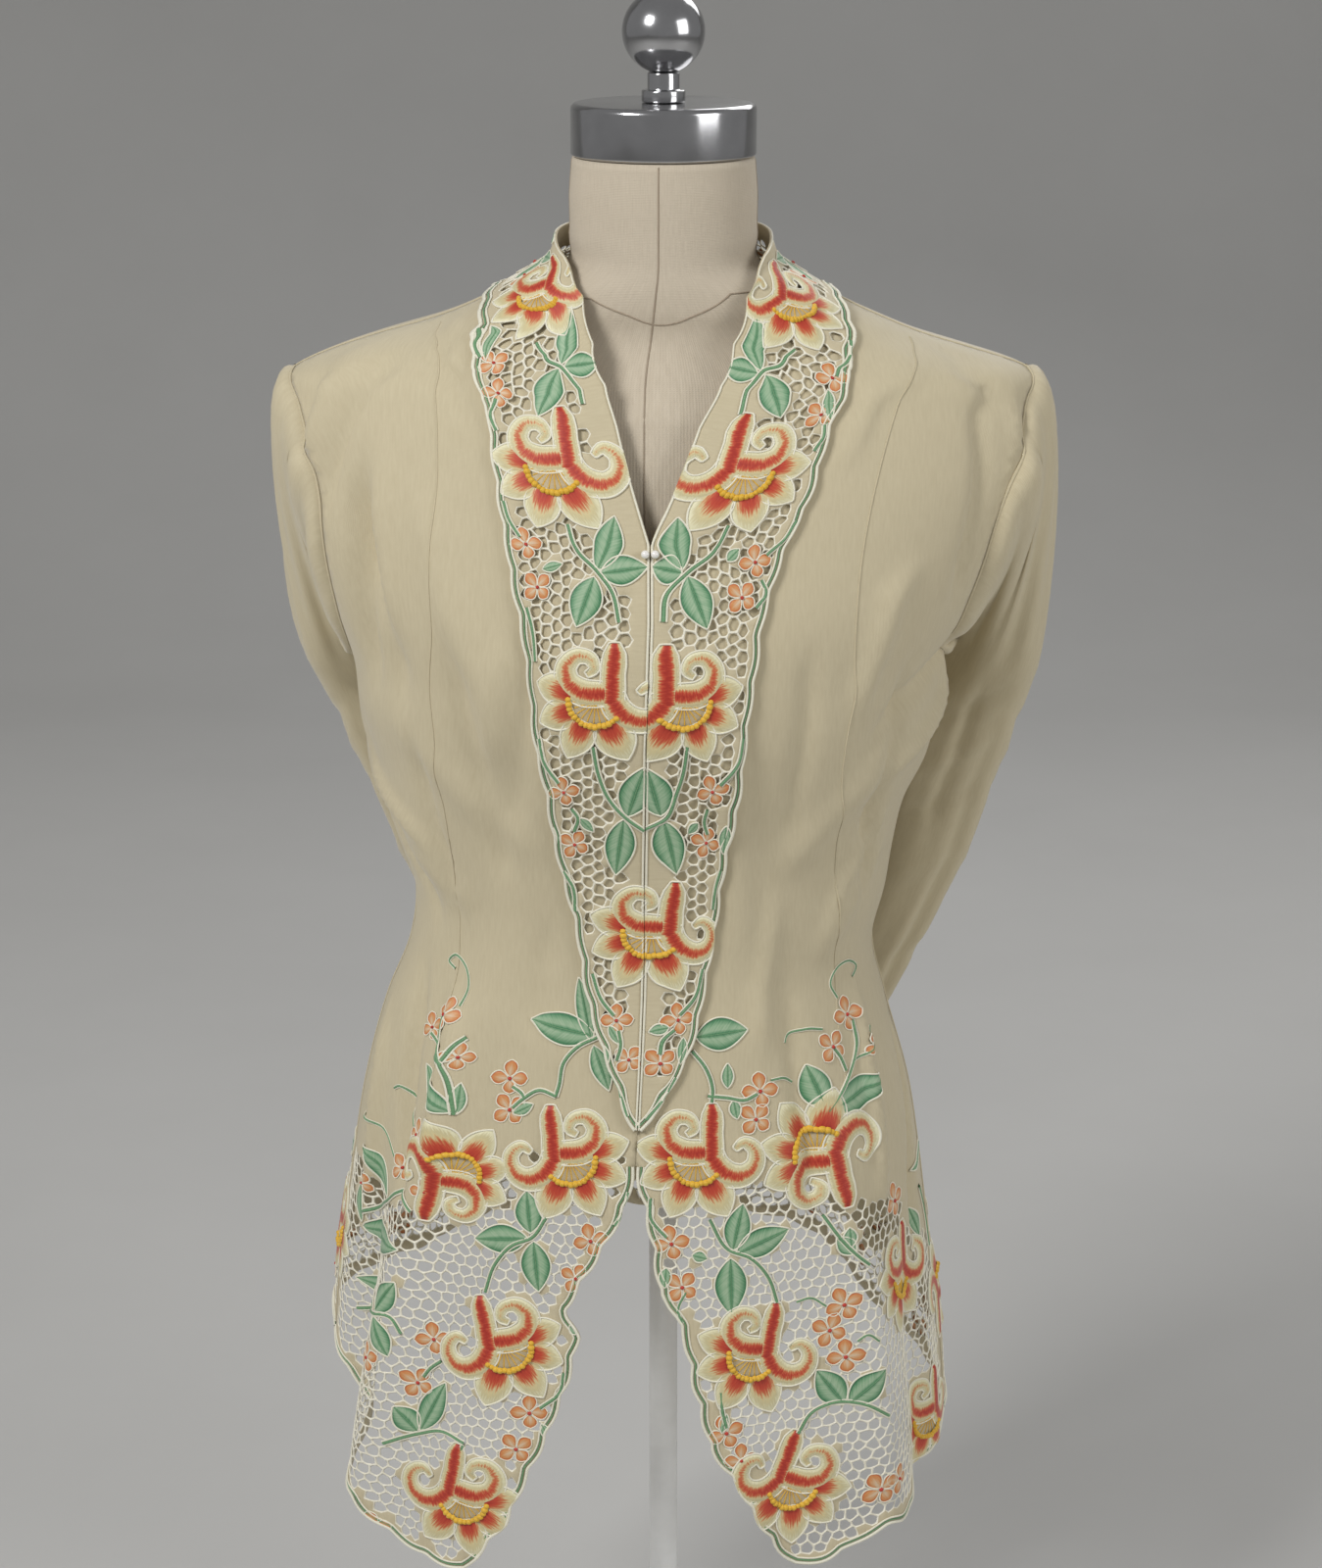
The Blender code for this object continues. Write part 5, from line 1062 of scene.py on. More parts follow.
def grid_faces(rows, columns, round_rows=False, round_columns=False, first=0):
    """The faces of a grid of points, closed on itself where asked."""
    faces = []
    for i in range(rows if round_rows else rows - 1):
        near, far = first + i * columns, first + (i + 1) % rows * columns
        for j in range(columns if round_columns else columns - 1):
            k = (j + 1) % columns
            faces.append((near + j, near + k, far + k, far + j))
    return faces


def make_piece(name, places, faces, thread, materials, slots=None):
    """One smooth mesh object; thread holds each point's place in its cloth, in millimetres."""
    mesh = bpy.data.meshes.new(name)
    mesh.from_pydata(places.reshape(-1, 3).tolist(), [], faces)
    if slots is not None:
        mesh.polygons.foreach_set("material_index", np.array(slots, dtype=np.int32))
    layer = mesh.attributes.new("thread", "FLOAT_VECTOR", "POINT")
    layer.data.foreach_set("vector", np.asarray(thread, dtype=np.float32).ravel())
    for material in materials:
        mesh.materials.append(material)
    mesh.shade_smooth()
    thing = bpy.data.objects.new(name, mesh)
    bpy.context.collection.objects.link(thing)
    return thing


def face_outward(thing):
    """Turns a closed piece inside out if its faces point inward."""
    mesh = thing.data
    mesh.calc_loop_triangles()
    where = np.array([vert.co for vert in mesh.vertices])
    where -= where.mean(axis=0)
    a, b, c = where[np.array([tri.vertices for tri in mesh.loop_triangles]).T]
    if np.einsum("ij,ij->i", a, np.cross(b, c)).sum() < 0:
        mesh.flip_normals()
    return thing


def in_border(turn, drop):
    """True where the border is open net."""
    degrees = np.abs(np.degrees(turn))
    top = by_side(turn, *(column(NET_TOP, "turn", side, degrees) for side in ("left", "right")))
    return drop > top + NET_TOP_EDGE


# Needlework: drawings in millimetres, x to the right and y up, raised from the cloth
PETAL, LIP, FAN, KNOT, LEAF, BLOSSOM, CORD, STEM, EYE, SEAM = range(10)
UP = 0.00015               # where a raised patch starts above the cloth
COVER_REACH = 0.0010       # a gap this near a motif's points stays uncut
CORD_SUNK = 0.8            # how high a cord's middle lies, in its radius


class Needlework:
    """Raised stitching gathered in one flat domain."""

    def __init__(self):
        self.flat = []
        self.height = []
        self.thread = []
        self.faces = []
        self.kinds = []
        self.solid = []
        self.count = 0

    def patch(self, flat, height, thread, kind, round_rows=False, round_columns=False):
        """A grid of points: rows run along the stitching's shape, columns across it."""
        rows, columns = height.shape
        self.flat.append(flat.reshape(-1, 2))
        self.height.append(height.ravel())
        self.thread.append(thread.reshape(-1, 3))
        self.solid.append(np.full(rows * columns, kind in (PETAL, LIP, FAN, LEAF)))
        faces = grid_faces(rows, columns, round_rows, round_columns, self.count)
        self.faces += faces
        self.kinds += [kind] * len(faces)
        self.count += rows * columns

    def tube(self, flat, radius, kind, rise=0.0, closed=False, sides=5):
        """A round cord laid on the cloth along a flat line."""
        run = np.gradient(flat, axis=0)
        if closed:
            run = np.roll(flat, -1, axis=0) - np.roll(flat, 1, axis=0)
        radius = np.broadcast_to(radius, len(flat))[:, None]
        angles = 2 * math.pi * np.arange(sides) / sides
        ring = flat[:, None, :] + left_of(run)[:, None, :] * (radius * np.cos(angles))[:, :, None]
        height = rise + radius * (CORD_SUNK + np.sin(angles))
        length = run_along(flat) * 1000.0
        thread = np.stack(np.broadcast_arrays(length[:, None], angles[None, :], 0.5), axis=-1)
        self.patch(ring, height, thread, kind, closed, True)

    def build(self, name, place, lift, materials):
        """Lays everything on the skin as one piece."""
        points, normals = place(np.concatenate(self.flat))
        places = points + normals * (lift + np.concatenate(self.height)[:, None])
        return make_piece(name, places, self.faces, np.concatenate(self.thread), materials, self.kinds)

    def trim(self, region):
        """Cuts off what lies past the cloth's edge, straight along it."""
        flat = np.concatenate(self.flat)
        past = ~inside(flat, region)
        flat[past] = nearest_on(flat[past], region)[0]
        kept = [k for k, face in enumerate(self.faces) if not all(past[index] for index in face)]
        self.faces = [self.faces[k] for k in kept]
        self.kinds = [self.kinds[k] for k in kept]
        self.flat = [flat]

    def covers(self, middles):
        """Which places lie under the motifs."""
        spots = np.concatenate(self.flat)[np.concatenate(self.solid)]
        return np.array([(np.abs(spots - middle).max(axis=1) < COVER_REACH).any() for middle in middles],
                        dtype=bool)


MM = 0.001
RIM_STEP = 1.3             # points along a motif's cord
CORD_RADIUS = 0.62
NINE = np.linspace(-1.0, 1.0, 9)
SEVEN = np.linspace(-1.0, 1.0, 7)
PETAL_ROWS = 15
PETAL_PAD = 1.2
PETAL_ROOT = 0.13          # where a petal is cut off by the flower's middle, as a share
LIP_ROWS = 44
LIP_FULL = 1.16            # how much wider than listed a lip is
LIP_PAD = 1.5
LEAF_FULL = 1.22           # how much wider than listed a leaf is
LEAF_PAD = 0.7
LEAF_CORD = 0.55
LEAF_RIB = 0.30
BLOSSOM_PAD = 0.6
BLOSSOM_CORD = 0.42
BLOSSOM_EYE = 1.15
LOBE_HALF = 3.9
LOBE_ROWS = 8
THINNEST = 0.02            # half width left at a motif's ends


def smooth_line(points, count):
    """A smooth curve through a few points, evenly read."""
    points = np.asarray(points, dtype=float)
    run = run_along(points)
    at = np.linspace(0.0, run[-1], count)
    return np.column_stack([smooth_column(run, points[:, 0], at), smooth_column(run, points[:, 1], at)])


def turned(points, tilt, mirrored, size):
    """A drawing in millimetres scaled, turned to the left by degrees and mirrored, in metres."""
    angle = math.radians(tilt)
    x = points[..., 0] * (-1 if mirrored else 1)
    y = points[..., 1]
    cos, sin = math.cos(angle), math.sin(angle)
    return np.stack([x * cos - y * sin, x * sin + y * cos], axis=-1) * size * MM


def draw_padded(work, lay, line, half, across, thread, pad, kind, swell, rim):
    """A padded shape about a middle line, down to the cloth at its rim and edged with a cord.

    half is its half width and swell its share of the padding along the line; thread holds the
    threads' three values, two places and a shade.
    """
    normal = left_of(np.gradient(line, axis=0))
    grid = line[:, None, :] + normal[:, None, :] * (half[:, None] * across)[:, :, None]
    height = UP + pad * MM * swell[:, None] * np.sqrt(np.maximum(0.0, 1 - across ** 2))[None, :]
    work.patch(lay(grid), height, np.stack(np.broadcast_arrays(*thread), axis=-1), kind)
    edge = spread(np.concatenate([grid[:, 0], grid[::-1, -1], grid[:1, 0]]), RIM_STEP)[:-1]
    work.tube(lay(edge), rim * MM, CORD, 0.0, True)


def lens(t, sharp):
    """A pointed oval's half width along its length."""
    return np.maximum(0.0, 1.0 - np.abs(2.0 * t ** 0.85 - 1.0) ** sharp)


def draw_petal(work, lay, root, tip, width):
    """A pointed petal, red at its root and cream round its edge."""
    t = np.linspace(PETAL_ROOT, 1.0, PETAL_ROWS)
    out = (t - PETAL_ROOT) / (1 - PETAL_ROOT)
    half = width / 2 * lens(t, 2.3) + THINNEST
    shade = 1 - (1 - out[:, None]) ** 0.85 * (1 - np.abs(NINE) ** 2.4)
    thread = (half[:, None] * NINE, t[:, None] * math.hypot(*(tip - root)), shade)
    draw_padded(work, lay, root + (tip - root) * out[:, None], half, NINE, thread, PETAL_PAD, PETAL,
                ease(1.2 * lens(t, 4.0)), CORD_RADIUS)


def draw_ribbon(work, lay, points, widths, fade):
    """A curling lip: red down its middle, cream at both edges, paler towards its end."""
    line = smooth_line(points, LIP_ROWS)
    t = np.linspace(0.0, 1.0, LIP_ROWS)
    half = LIP_FULL * np.interp(t, np.linspace(0, 1, len(widths)), widths) / 2
    shade = np.clip(np.abs(NINE) ** 1.7 * 1.05 + fade * t[:, None] ** 1.2, 0, 1)
    thread = (run_along(line)[:, None], half[:, None] * NINE * 2, shade)
    draw_padded(work, lay, line, half, NINE, thread, LIP_PAD, LIP, ease(t * 12) * ease((1 - t) * 10),
                CORD_RADIUS)


FAN_APEX = np.array([3.5, 8.0])
FAN_RADIUS = 15.5
FAN_START = 172.0
FAN_END = 318.0
FAN_PAD = 0.5
KNOTS = 15
KNOT_RADIUS = 1.95
KNOT_AROUND = 8
KNOT_LEVELS = np.array([0.0, 0.55, 0.85])[:, None]
FAN_ANGLES = np.linspace(FAN_START, FAN_END, 19)[:, None]
FAN_SHARES = np.linspace(0.06, 1.0, 6)[None, :]
RAY_SHARES = np.linspace(0.12, 0.86, 6)
RAYS = 9
RAY_RADIUS = 0.34
RAY_RISE = 0.4
PETAL_ANGLES = (160.0, 198.0, 239.0, 291.0)
PETAL_LENGTHS = (22.0, 21.5, 24.0, 25.0)
PETAL_WIDTHS = (19.0, 18.5, 20.5, 22.5)
FINGER = [(11.5, 4.0), (13.0, 14.0), (13.8, 24.0), (15.0, 33.0), (15.5, 41.5)]
FINGER_WIDTHS = (12.5, 12.5, 12.0, 11.5, 11.8, 10.5, 5.0)
GREAT_CURL = [(13.0, 12.0), (5.0, 12.0), (-4.5, 13.5), (-11.5, 19.0), (-12.5, 28.0), (-6.0, 34.5),
              (2.0, 32.5), (3.5, 26.5), (-1.0, 23.5)]
GREAT_WIDTHS = (12.0, 13.5, 14.0, 13.5, 11.5, 9.5, 7.5, 6.0, 3.5)
SMALL_CURL = [(12.5, 11.0), (15.0, 3.0), (21.5, -3.5), (30.5, -5.0), (38.0, 0.5), (38.5, 10.0),
              (32.0, 15.0), (26.5, 11.5)]
SMALL_WIDTHS = (12.5, 13.5, 13.5, 12.5, 10.5, 8.5, 6.5, 3.5)


def polar(angle, radius):
    """Places about the fan's apex, in millimetres."""
    angle = np.radians(angle)
    return FAN_APEX + np.stack([np.cos(angle), np.sin(angle)], axis=-1) * np.asarray(radius)[..., None]


def draw_fan(work, lay):
    """The flower's middle: a fan of thin rays, with yellow knots round its rim."""
    radius = FAN_RADIUS * FAN_SHARES
    thread = np.stack(np.broadcast_arrays(FAN_ANGLES, radius, FAN_SHARES), axis=-1)
    height = UP + FAN_PAD * MM * np.broadcast_to(np.sin(math.pi * FAN_SHARES) ** 0.5, thread.shape[:2])
    work.patch(lay(polar(FAN_ANGLES, radius)), height, thread, FAN)
    for angle in np.linspace(FAN_START + 8, FAN_END - 8, RAYS):
        line = polar(angle, RAY_SHARES * FAN_RADIUS)
        work.tube(lay(line), RAY_RADIUS * MM, KNOT, RAY_RISE * MM, False, 4)
    for k, angle in enumerate(np.linspace(FAN_START + 3, FAN_END - 3, KNOTS)):
        radius = FAN_RADIUS - 0.2 + 0.7 * shake(k, 3, 5)
        draw_knot(work, lay, polar(angle, radius), KNOT_RADIUS + 0.3 * shake(k, 7, 2), KNOT)


def draw_knot(work, lay, middle, radius, kind):
    """A small round knot of thread."""
    turns = 2 * math.pi * np.arange(KNOT_AROUND) / KNOT_AROUND
    out = radius * np.cos(KNOT_LEVELS * math.pi / 2)
    grid = middle + out[:, :, None] * np.stack([np.cos(turns), np.sin(turns)], axis=-1)[None]
    thread = np.stack(np.broadcast_arrays(turns[None, :], KNOT_LEVELS, 0.5), axis=-1)
    height = (0.6 + 0.9 * np.sin(KNOT_LEVELS * math.pi / 2)) * radius * MM
    work.patch(lay(grid), np.broadcast_to(height, thread.shape[:2]) + UP, thread, kind, False, True)
    work.faces.append(tuple(range(work.count - KNOT_AROUND, work.count)))
    work.kinds.append(kind)


def draw_flower(work, spot, tilt, mirrored, size):
    """A large flower with four petals and a curling upper lip."""
    def lay(drawing):
        return spot(turned(drawing, tilt, mirrored, size))
    for angle, length, width in zip(PETAL_ANGLES, PETAL_LENGTHS, PETAL_WIDTHS):
        root = polar(angle, FAN_RADIUS - 1.0)
        draw_petal(work, lay, root, polar(angle + 2, FAN_RADIUS + length), width)
    draw_fan(work, lay)
    draw_ribbon(work, lay, SMALL_CURL, SMALL_WIDTHS, 0.42)
    draw_ribbon(work, lay, GREAT_CURL, GREAT_WIDTHS, 0.46)
    draw_ribbon(work, lay, FINGER, FINGER_WIDTHS, 0.0)


def as_drawn(drawing):
    """A drawing already in its domain, only brought to metres."""
    return drawing * MM


def draw_leaf(work, stalk, tip, width):
    """A leaf between two places of the domain, in metres, with a raised rib and pointed ends."""
    stalk, tip = np.asarray(stalk) / MM, np.asarray(tip) / MM
    t = np.linspace(0.0, 1.0, PETAL_ROWS)
    line = stalk + (tip - stalk) * t[:, None]
    half = LEAF_FULL * width / MM / 2 * np.maximum(0.0, 1 - np.abs(2 * t ** 0.9 - 1) ** 1.9) + 0.05
    beside = half[:, None] * NINE
    shade = np.clip(np.abs(NINE) ** 2.2 * 0.9 + 0.75 * (1 - np.minimum(1, np.abs(NINE) * 3.5)), 0, 1)
    thread = (t[:, None] * math.hypot(*(tip - stalk)) - np.abs(beside) * 0.8, beside, shade)
    pad = ease(lens(t, 4.0) * 1.3)
    draw_padded(work, as_drawn, line, half, NINE, thread, LEAF_PAD, LEAF, pad, LEAF_CORD)
    work.tube(as_drawn(line[1:-1]), LEAF_RIB * MM, STEM, 2 * LEAF_RIB * MM, False, 4)


LOBE_ANGLES = (90.0, 5.0, 178.0, 275.0)
LOBE_LENGTHS = (10.2, 9.6, 9.6, 8.2)


def draw_blossom(work, spot, tilt, size):
    """A small blossom of four round lobes about a red eye."""
    def lay(drawing):
        return spot(turned(drawing, tilt, False, size))
    t = np.linspace(0.0, 1.0, LOBE_ROWS)
    half = LOBE_HALF * np.sin(math.pi * t ** 1.25) ** 0.7 + THINNEST
    shade = np.clip(np.abs(SEVEN)[None, :] ** 2 * 0.7 + 0.6 * t[:, None] ** 3, 0, 1)
    for angle, length in zip(LOBE_ANGLES, LOBE_LENGTHS):
        way = np.array([math.cos(math.radians(angle)), math.sin(math.radians(angle))])
        line = way * (0.6 + length * t[:, None])
        thread = (half[:, None] * SEVEN, t[:, None] * length, shade)
        draw_padded(work, lay, line, half, SEVEN, thread, BLOSSOM_PAD, BLOSSOM,
                    np.sin(math.pi * t) ** 0.5, BLOSSOM_CORD)
    draw_knot(work, lay, np.zeros(2), BLOSSOM_EYE, EYE)


STEM_STEP = 0.0014         # points along a stem and along an edge's cords
CORD_STEP = 0.0015
STEM_SIZES = table("thin | radius cord_aside cord_radius",
    (False, 0.85, 1.25, 0.558), (True, 0.55, 0.85, 0.341))
# A scalloped edge's cords, and how far they lie in from it
EDGE_CORDS = table("kind | inward radius rise",
    (CORD, 0.7, 1, -0.3), (STEM, 2.7, 0.5, -0.1), (CORD, 4.1, 0.62, -0.1))


def draw_stem(work, flat, thin):
    """A green stem along a flat line in metres, between two cream cords."""
    sizes = STEM_SIZES[thin]
    line = spread(flat, STEM_STEP)
    work.tube(line, sizes.radius, STEM)
    for way in (-1, 1):
        work.tube(aside(line, way * sizes.cord_aside), sizes.cord_radius, CORD)


def draw_edge(work, line, inward):
    """The finish of a scalloped edge: two cream cords with a pale green line between."""
    line = spread(line, CORD_STEP)
    for cord in EDGE_CORDS:
        work.tube(aside(line, inward * cord.inward), cord.radius, cord.kind, cord.rise)


# Sleeves: level sections from the shoulder to the cuff, a flat oval drawn back behind the body
SLEEVES = pair("| drop outer_x outer_y inner_x inner_y thick",
    [(345, -213, 46, -176, 120, 44), (372, -203, 58, -156, 128, 46), (420, -187, 72, -112, 136, 48),
     (462, -172, 82, -86, 140, 48), (515, -153, 94, -64, 146, 45), (570, -134, 106, -43, 156, 42),
     (625, -114, 122, -24, 168, 40), (678, -96, 138, -12, 178, 38)],
    [(345, 225, 28, 165, 104, 50), (372, 218.7, 38, 146, 118, 52), (420, 206, 52, 108, 130, 52),
     (462, 195, 64, 89, 136, 50), (526, 171, 80, 63, 144, 46), (585, 145, 96, 41, 154, 43),
     (640, 121, 116, 20, 166, 40), (692, 100, 134, 6, 176, 38)])
HEAD_SPACING = 1.5
HEAD_LEAVE = np.array([0.6, 0.0, -0.2])
HEAD_SLOPE = 0.010
HEAD_LEAVE_PUSH = 0.095
HEAD_ARRIVE_PUSH = 0.110
HEAD_LEAVE_SHARE = 0.85
HEAD_ARRIVE_SHARE = 0.90
UNDERARM = 250.0           # where round the sleeve the underarm is, in degrees
UNDERARM_REACH = 34.0
UNDERARM_EASE = 0.55
SLEEVE_FOLDS = table("angle half_width | top end height",
    (150, 16, 240, 560, 3.5), (195, 14, 300, 660, -3.5), (330, 16, 280, 600, 3.5),
    (30, 15, 320, 660, -3.5), (112, 9, 340, 600, -2.2), (128, 8, 430, 700, 1.8), (172, 9, 380, 640, -2),
    (222, 10, 330, 600, 2.6), (246, 9, 450, 700, -2), (300, 10, 360, 660, -2.4), (352, 9, 420, 700, 2),
    (62, 9, 400, 680, 2), (188, 6, 335, 500, -3), (164, 6, 340, 470, 2.6), (140, 7, 340, 450, -2.8))
WRINKLES = table("angle reach | drop slope half_width height",
    (40, 42, 395, -0.4, 6, -3.4), (30, 46, 425, -0.5, 6.5, 3.4), (20, 50, 455, -0.45, 6, -3.4),
    (35, 44, 490, -0.3, 7, 3), (10, 52, 520, -0.2, 6.5, -3), (140, 40, 370, 0.45, 6, -3.2),
    (150, 44, 410, 0.5, 6.5, 3.2), (155, 46, 445, 0.45, 6, -3.4), (145, 42, 485, 0.35, 7, 2.8),
    (170, 40, 560, 0.2, 8, -2.4), (25, 40, 590, -0.2, 8, 2.4), (270, 36, 400, 0, 6, -3),
    (262, 38, 430, 0.1, 6, 3), (275, 36, 465, 0, 6, -3), (90, 34, 545, 0.1, 7, -2),
    (88, 34, 610, -0.1, 8, 1.8))
SLEEVE_DEPTH = 1.25        # how much deeper than listed the lengthwise folds are worn
WRINKLE_START = 0.02
SLEEVE_FOLD_PAST = 0.1
SLEEVE_FOLD_RISE = 0.4
SLEEVE_FOLD_END = 1.2
HEAD_FOLDS = table("angle half_width | height",
    (62, 9, -3.6), (38, 8, 3), (122, 9, -3.6), (146, 8, 3.4), (166, 6, -3.4), (184, 6, 2.6),
    (205, 8, -2.6), (335, 10, -2.6))
SLEEVE_AROUND = 112
HEAD_RINGS = 16
CUFF_HEM = 0.012           # the cuff's turned hem: height, slope and how far it stands out
CUFF_STEP = 0.0012
CUFF_RAISED = 0.0004


def sleeve_section(side, drop, angle):
    """Points of level sections: 90 degrees at the outer edge, 270 at the inner one."""
    read = {name: column(SLEEVES[side], "drop", name, drop) for name in SLEEVES[side][0]._fields[1:]}
    outer = np.column_stack([read["outer_x"], read["outer_y"]])
    inner = np.column_stack([read["inner_x"], read["inner_y"]])
    middle = (outer + inner) / 2
    half = (outer - inner) / 2
    face = unit(np.column_stack([-np.abs(half[:, 1]) * sign_of(side), -np.abs(half[:, 0])]))
    thick = (read["thick"] / 2 * np.cos(angle))[:, None]
    flat = middle + half * np.sin(angle)[:, None] - face * thick
    way = unit(flat - middle)
    for fold in SLEEVE_FOLDS:
        off = degrees_off(angle, fold.angle)
        along = (drop - fold.top) / (fold.end - fold.top)
        fade = ease(along / SLEEVE_FOLD_RISE) * ease((SLEEVE_FOLD_END - along) / SLEEVE_FOLD_RISE)
        fade *= drop < fold.end + SLEEVE_FOLD_PAST
        lift = SLEEVE_DEPTH * fold.height * fade * np.exp(-(off / fold.half_width) ** 2)
        flat += way * lift[:, None]
    for wrinkle in WRINKLES:
        off = degrees_off(angle, wrinkle.angle)
        away = (drop - wrinkle.drop - wrinkle.slope * off) / wrinkle.half_width
        lift = wrinkle.height * np.exp(-away ** 2 - (off / wrinkle.reach) ** 2)
        flat += way * (lift * ease((drop - SLEEVES[side][0].drop) / WRINKLE_START))[:, None]
    return np.column_stack([flat, CAP_TOP - drop])


def armhole_ring(side, angles, inset):
    """Places just inside the armhole's edge: points and the skin's normals there."""
    turn, drop = armhole_spots(side, angles, np.cos(angles) > 0, inset)
    return skin_frame(u_at_turn(turn, drop), drop)


def head_lift(angles, t):
    """The small folds of the sleeve's head."""
    lift = np.zeros_like(angles)
    for fold in HEAD_FOLDS:
        off = degrees_off(angles, fold.angle)
        lift += fold.height * math.sin(math.pi * t) * np.exp(-(off / fold.half_width) ** 2)
    return lift[:, None]


def sleeve_rings(side, step):
    """Rings of points from the armhole to the cuff."""
    angles = 2 * math.pi * np.arange(SLEEVE_AROUND) / SLEEVE_AROUND
    start, normal = armhole_ring(side, angles, SEAM_GAP)
    first = SLEEVES[side][0].drop
    end = sleeve_section(side, np.full(len(angles), first), angles)
    reach = np.linalg.norm(end - start, axis=1)
    leave = unit(normal + HEAD_LEAVE * np.array([sign_of(side), 1.0, 1.0]))
    leave *= np.minimum(HEAD_LEAVE_PUSH, HEAD_LEAVE_SHARE * reach)[:, None]
    under = (np.degrees(angles) - UNDERARM) / UNDERARM_REACH
    leave *= (1 - UNDERARM_EASE * np.exp(-under ** 2))[:, None]
    arrive = unit(sleeve_section(side, np.full(len(angles), first + HEAD_SLOPE), angles) - end)
    arrive *= np.minimum(HEAD_ARRIVE_PUSH, HEAD_ARRIVE_SHARE * reach)[:, None]
    rings = []
    for k in range(HEAD_RINGS):
        t = (k / HEAD_RINGS) ** HEAD_SPACING
        ring = ((2 * t ** 3 - 3 * t ** 2 + 1) * start + (t ** 3 - 2 * t ** 2 + t) * leave
                + (3 * t ** 2 - 2 * t ** 3) * end + (t ** 3 - t ** 2) * arrive)
        rings.append(ring + unit(ring - ring.mean(axis=0)) * head_lift(angles, t))
    for drop in even(first, SLEEVES[side][-1].drop, step):
        rings.append(sleeve_section(side, np.full(len(angles), drop), angles))
    return np.array(rings)


def build_sleeve(side, wall, step, materials):
    """An open tube of cloth with a turned hem at its cuff."""
    rings = sleeve_rings(side, step)
    count, around = rings.shape[:2]
    beside = np.roll(rings, -1, axis=1) - np.roll(rings, 1, axis=1)
    normals = np.cross(np.gradient(rings, axis=0), beside) * sign_of(side)
    normals /= np.maximum(np.linalg.norm(normals, axis=2, keepdims=True), LEAST)
    run = add_up(np.linalg.norm(np.diff(rings.mean(axis=1), axis=0), axis=1))
    hem = ease((run - (run[-1] - CUFF_HEM)) / CUFF_STEP)[:, None, None] * CUFF_RAISED
    outer = rings + normals * (wall / 2 + hem)
    inner = rings - normals * (wall / 2 + hem)
    faces = []
    total = count * around
    last = total - around
    for face in grid_faces(count, around, False, True):
        faces += [face, tuple(index + total for index in face[::-1])]
    for i in range(around):
        j = (i + 1) % around
        faces += [(i + total, j + total, j, i), (last + i, last + j, last + j + total, last + i + total)]
    girth = np.linalg.norm(beside, axis=2).mean() / 2 * np.arange(around)
    thread = np.stack(np.broadcast_arrays(girth[None, :] * 1000, run[:, None] * 1000, 0.0), axis=-1)
    thing = make_piece("sleeve_" + side + "_cloth", np.stack([outer, inner]), faces,
                       np.stack([thread, thread]), materials)
    return face_outward(thing), rings


# The dress form, its cap and its stand
FORM_RINGS = table("| drop half front back",
    (30.6, 53, 53, 53), (50, 54.5, 54, 54.5), (75, 54.8, 54, 55), (92, 58, 54.5, 60), (104, 83, 56, 67),
    (114, 103, 56, 72), (125, 125, 53.5, 74), (135, 148.8, 54.5, 77), (144, 176, 59, 80),
    (154, 197, 66, 85), (171, 206, 81, 92), (200, 207, 91.5, 94), (250, 195, 106.5, 96),
    (290, 175, 116.5, 94), (325, 157, 119, 90), (352, 154, 116.5, 86), (385, 147, 109.5, 81),
    (410, 136, 103.5, 78), (440, 129, 98.5, 76), (470, 123, 96, 76), (505, 118, 96.5, 80),
    (540, 124, 99.5, 85), (580, 130, 102, 89), (596, 129, 101, 88), (600, 125, 97, 84))
FORM_CLEAR = 0.0008        # how much smaller the form is under the cloth
FORM_COVERED = 0.0950      # the drop from which the cloth covers it
FORM_FADE = 0.02
FORM_AROUND = 128
FORM_STEP = 0.004
LINEN_ROUND = 120.0        # millimetres of linen to a radian round the form
FORM_SEAM_TURNS = (-0.04, math.pi, -math.pi / 2, math.pi / 2)
FORM_SEAM_TOP = 0.032
FORM_SEAM_END = 0.598
FORM_SEAM_POINTS = 120
NECK_SEAM_POINTS = 60      # in front
NAPE_SEAM_POINTS = 80      # behind
PROBE_DROP = 0.001         # steps by which the form's slope is felt
PROBE_TURN = 0.01
COVER_SEAM = 0.0007
RIDGE_ACROSS = (-1.0, -0.5, 0.0, 0.5, 1.0)
RIDGE_HEIGHTS = (-0.0003, 0.0003, 0.0005, 0.0003, -0.0003)
NECK_SEAM_DIP = 0.006
NECK_SEAM = [(603, 305), (640, 322), (675, 332), (710, 322), (745, 300)]


def form_ring(name, drop):
    values = [getattr(ring, name) for ring in FORM_RINGS]
    return np.interp(drop, [ring.drop for ring in FORM_RINGS], values)


def form_skin(turn, drop):
    """The form's surface at signed turns."""
    inset = FORM_CLEAR * ease((drop - FORM_COVERED) / FORM_FADE)
    sizes = [np.minimum(form_ring(name, drop), column(FORM_RINGS, "drop", name, drop)) - inset
             for name in ("half", "front", "back")]
    x, y = ring_xy(*sizes, np.abs(turn))
    return np.stack([np.copysign(x, turn), y, CAP_TOP - drop], axis=-1)


def grid_mesh(name, places, thread, materials, closed=True):
    """A smooth mesh from rows of points; if closed, round each row and with flat ends."""
    rows, columns = places.shape[:2]
    faces = grid_faces(rows, columns, False, closed)
    if closed:
        faces.append(tuple(range(columns))[::-1])
        faces.append(tuple(range((rows - 1) * columns, rows * columns)))
    return face_outward(make_piece(name, places, faces, thread, materials))


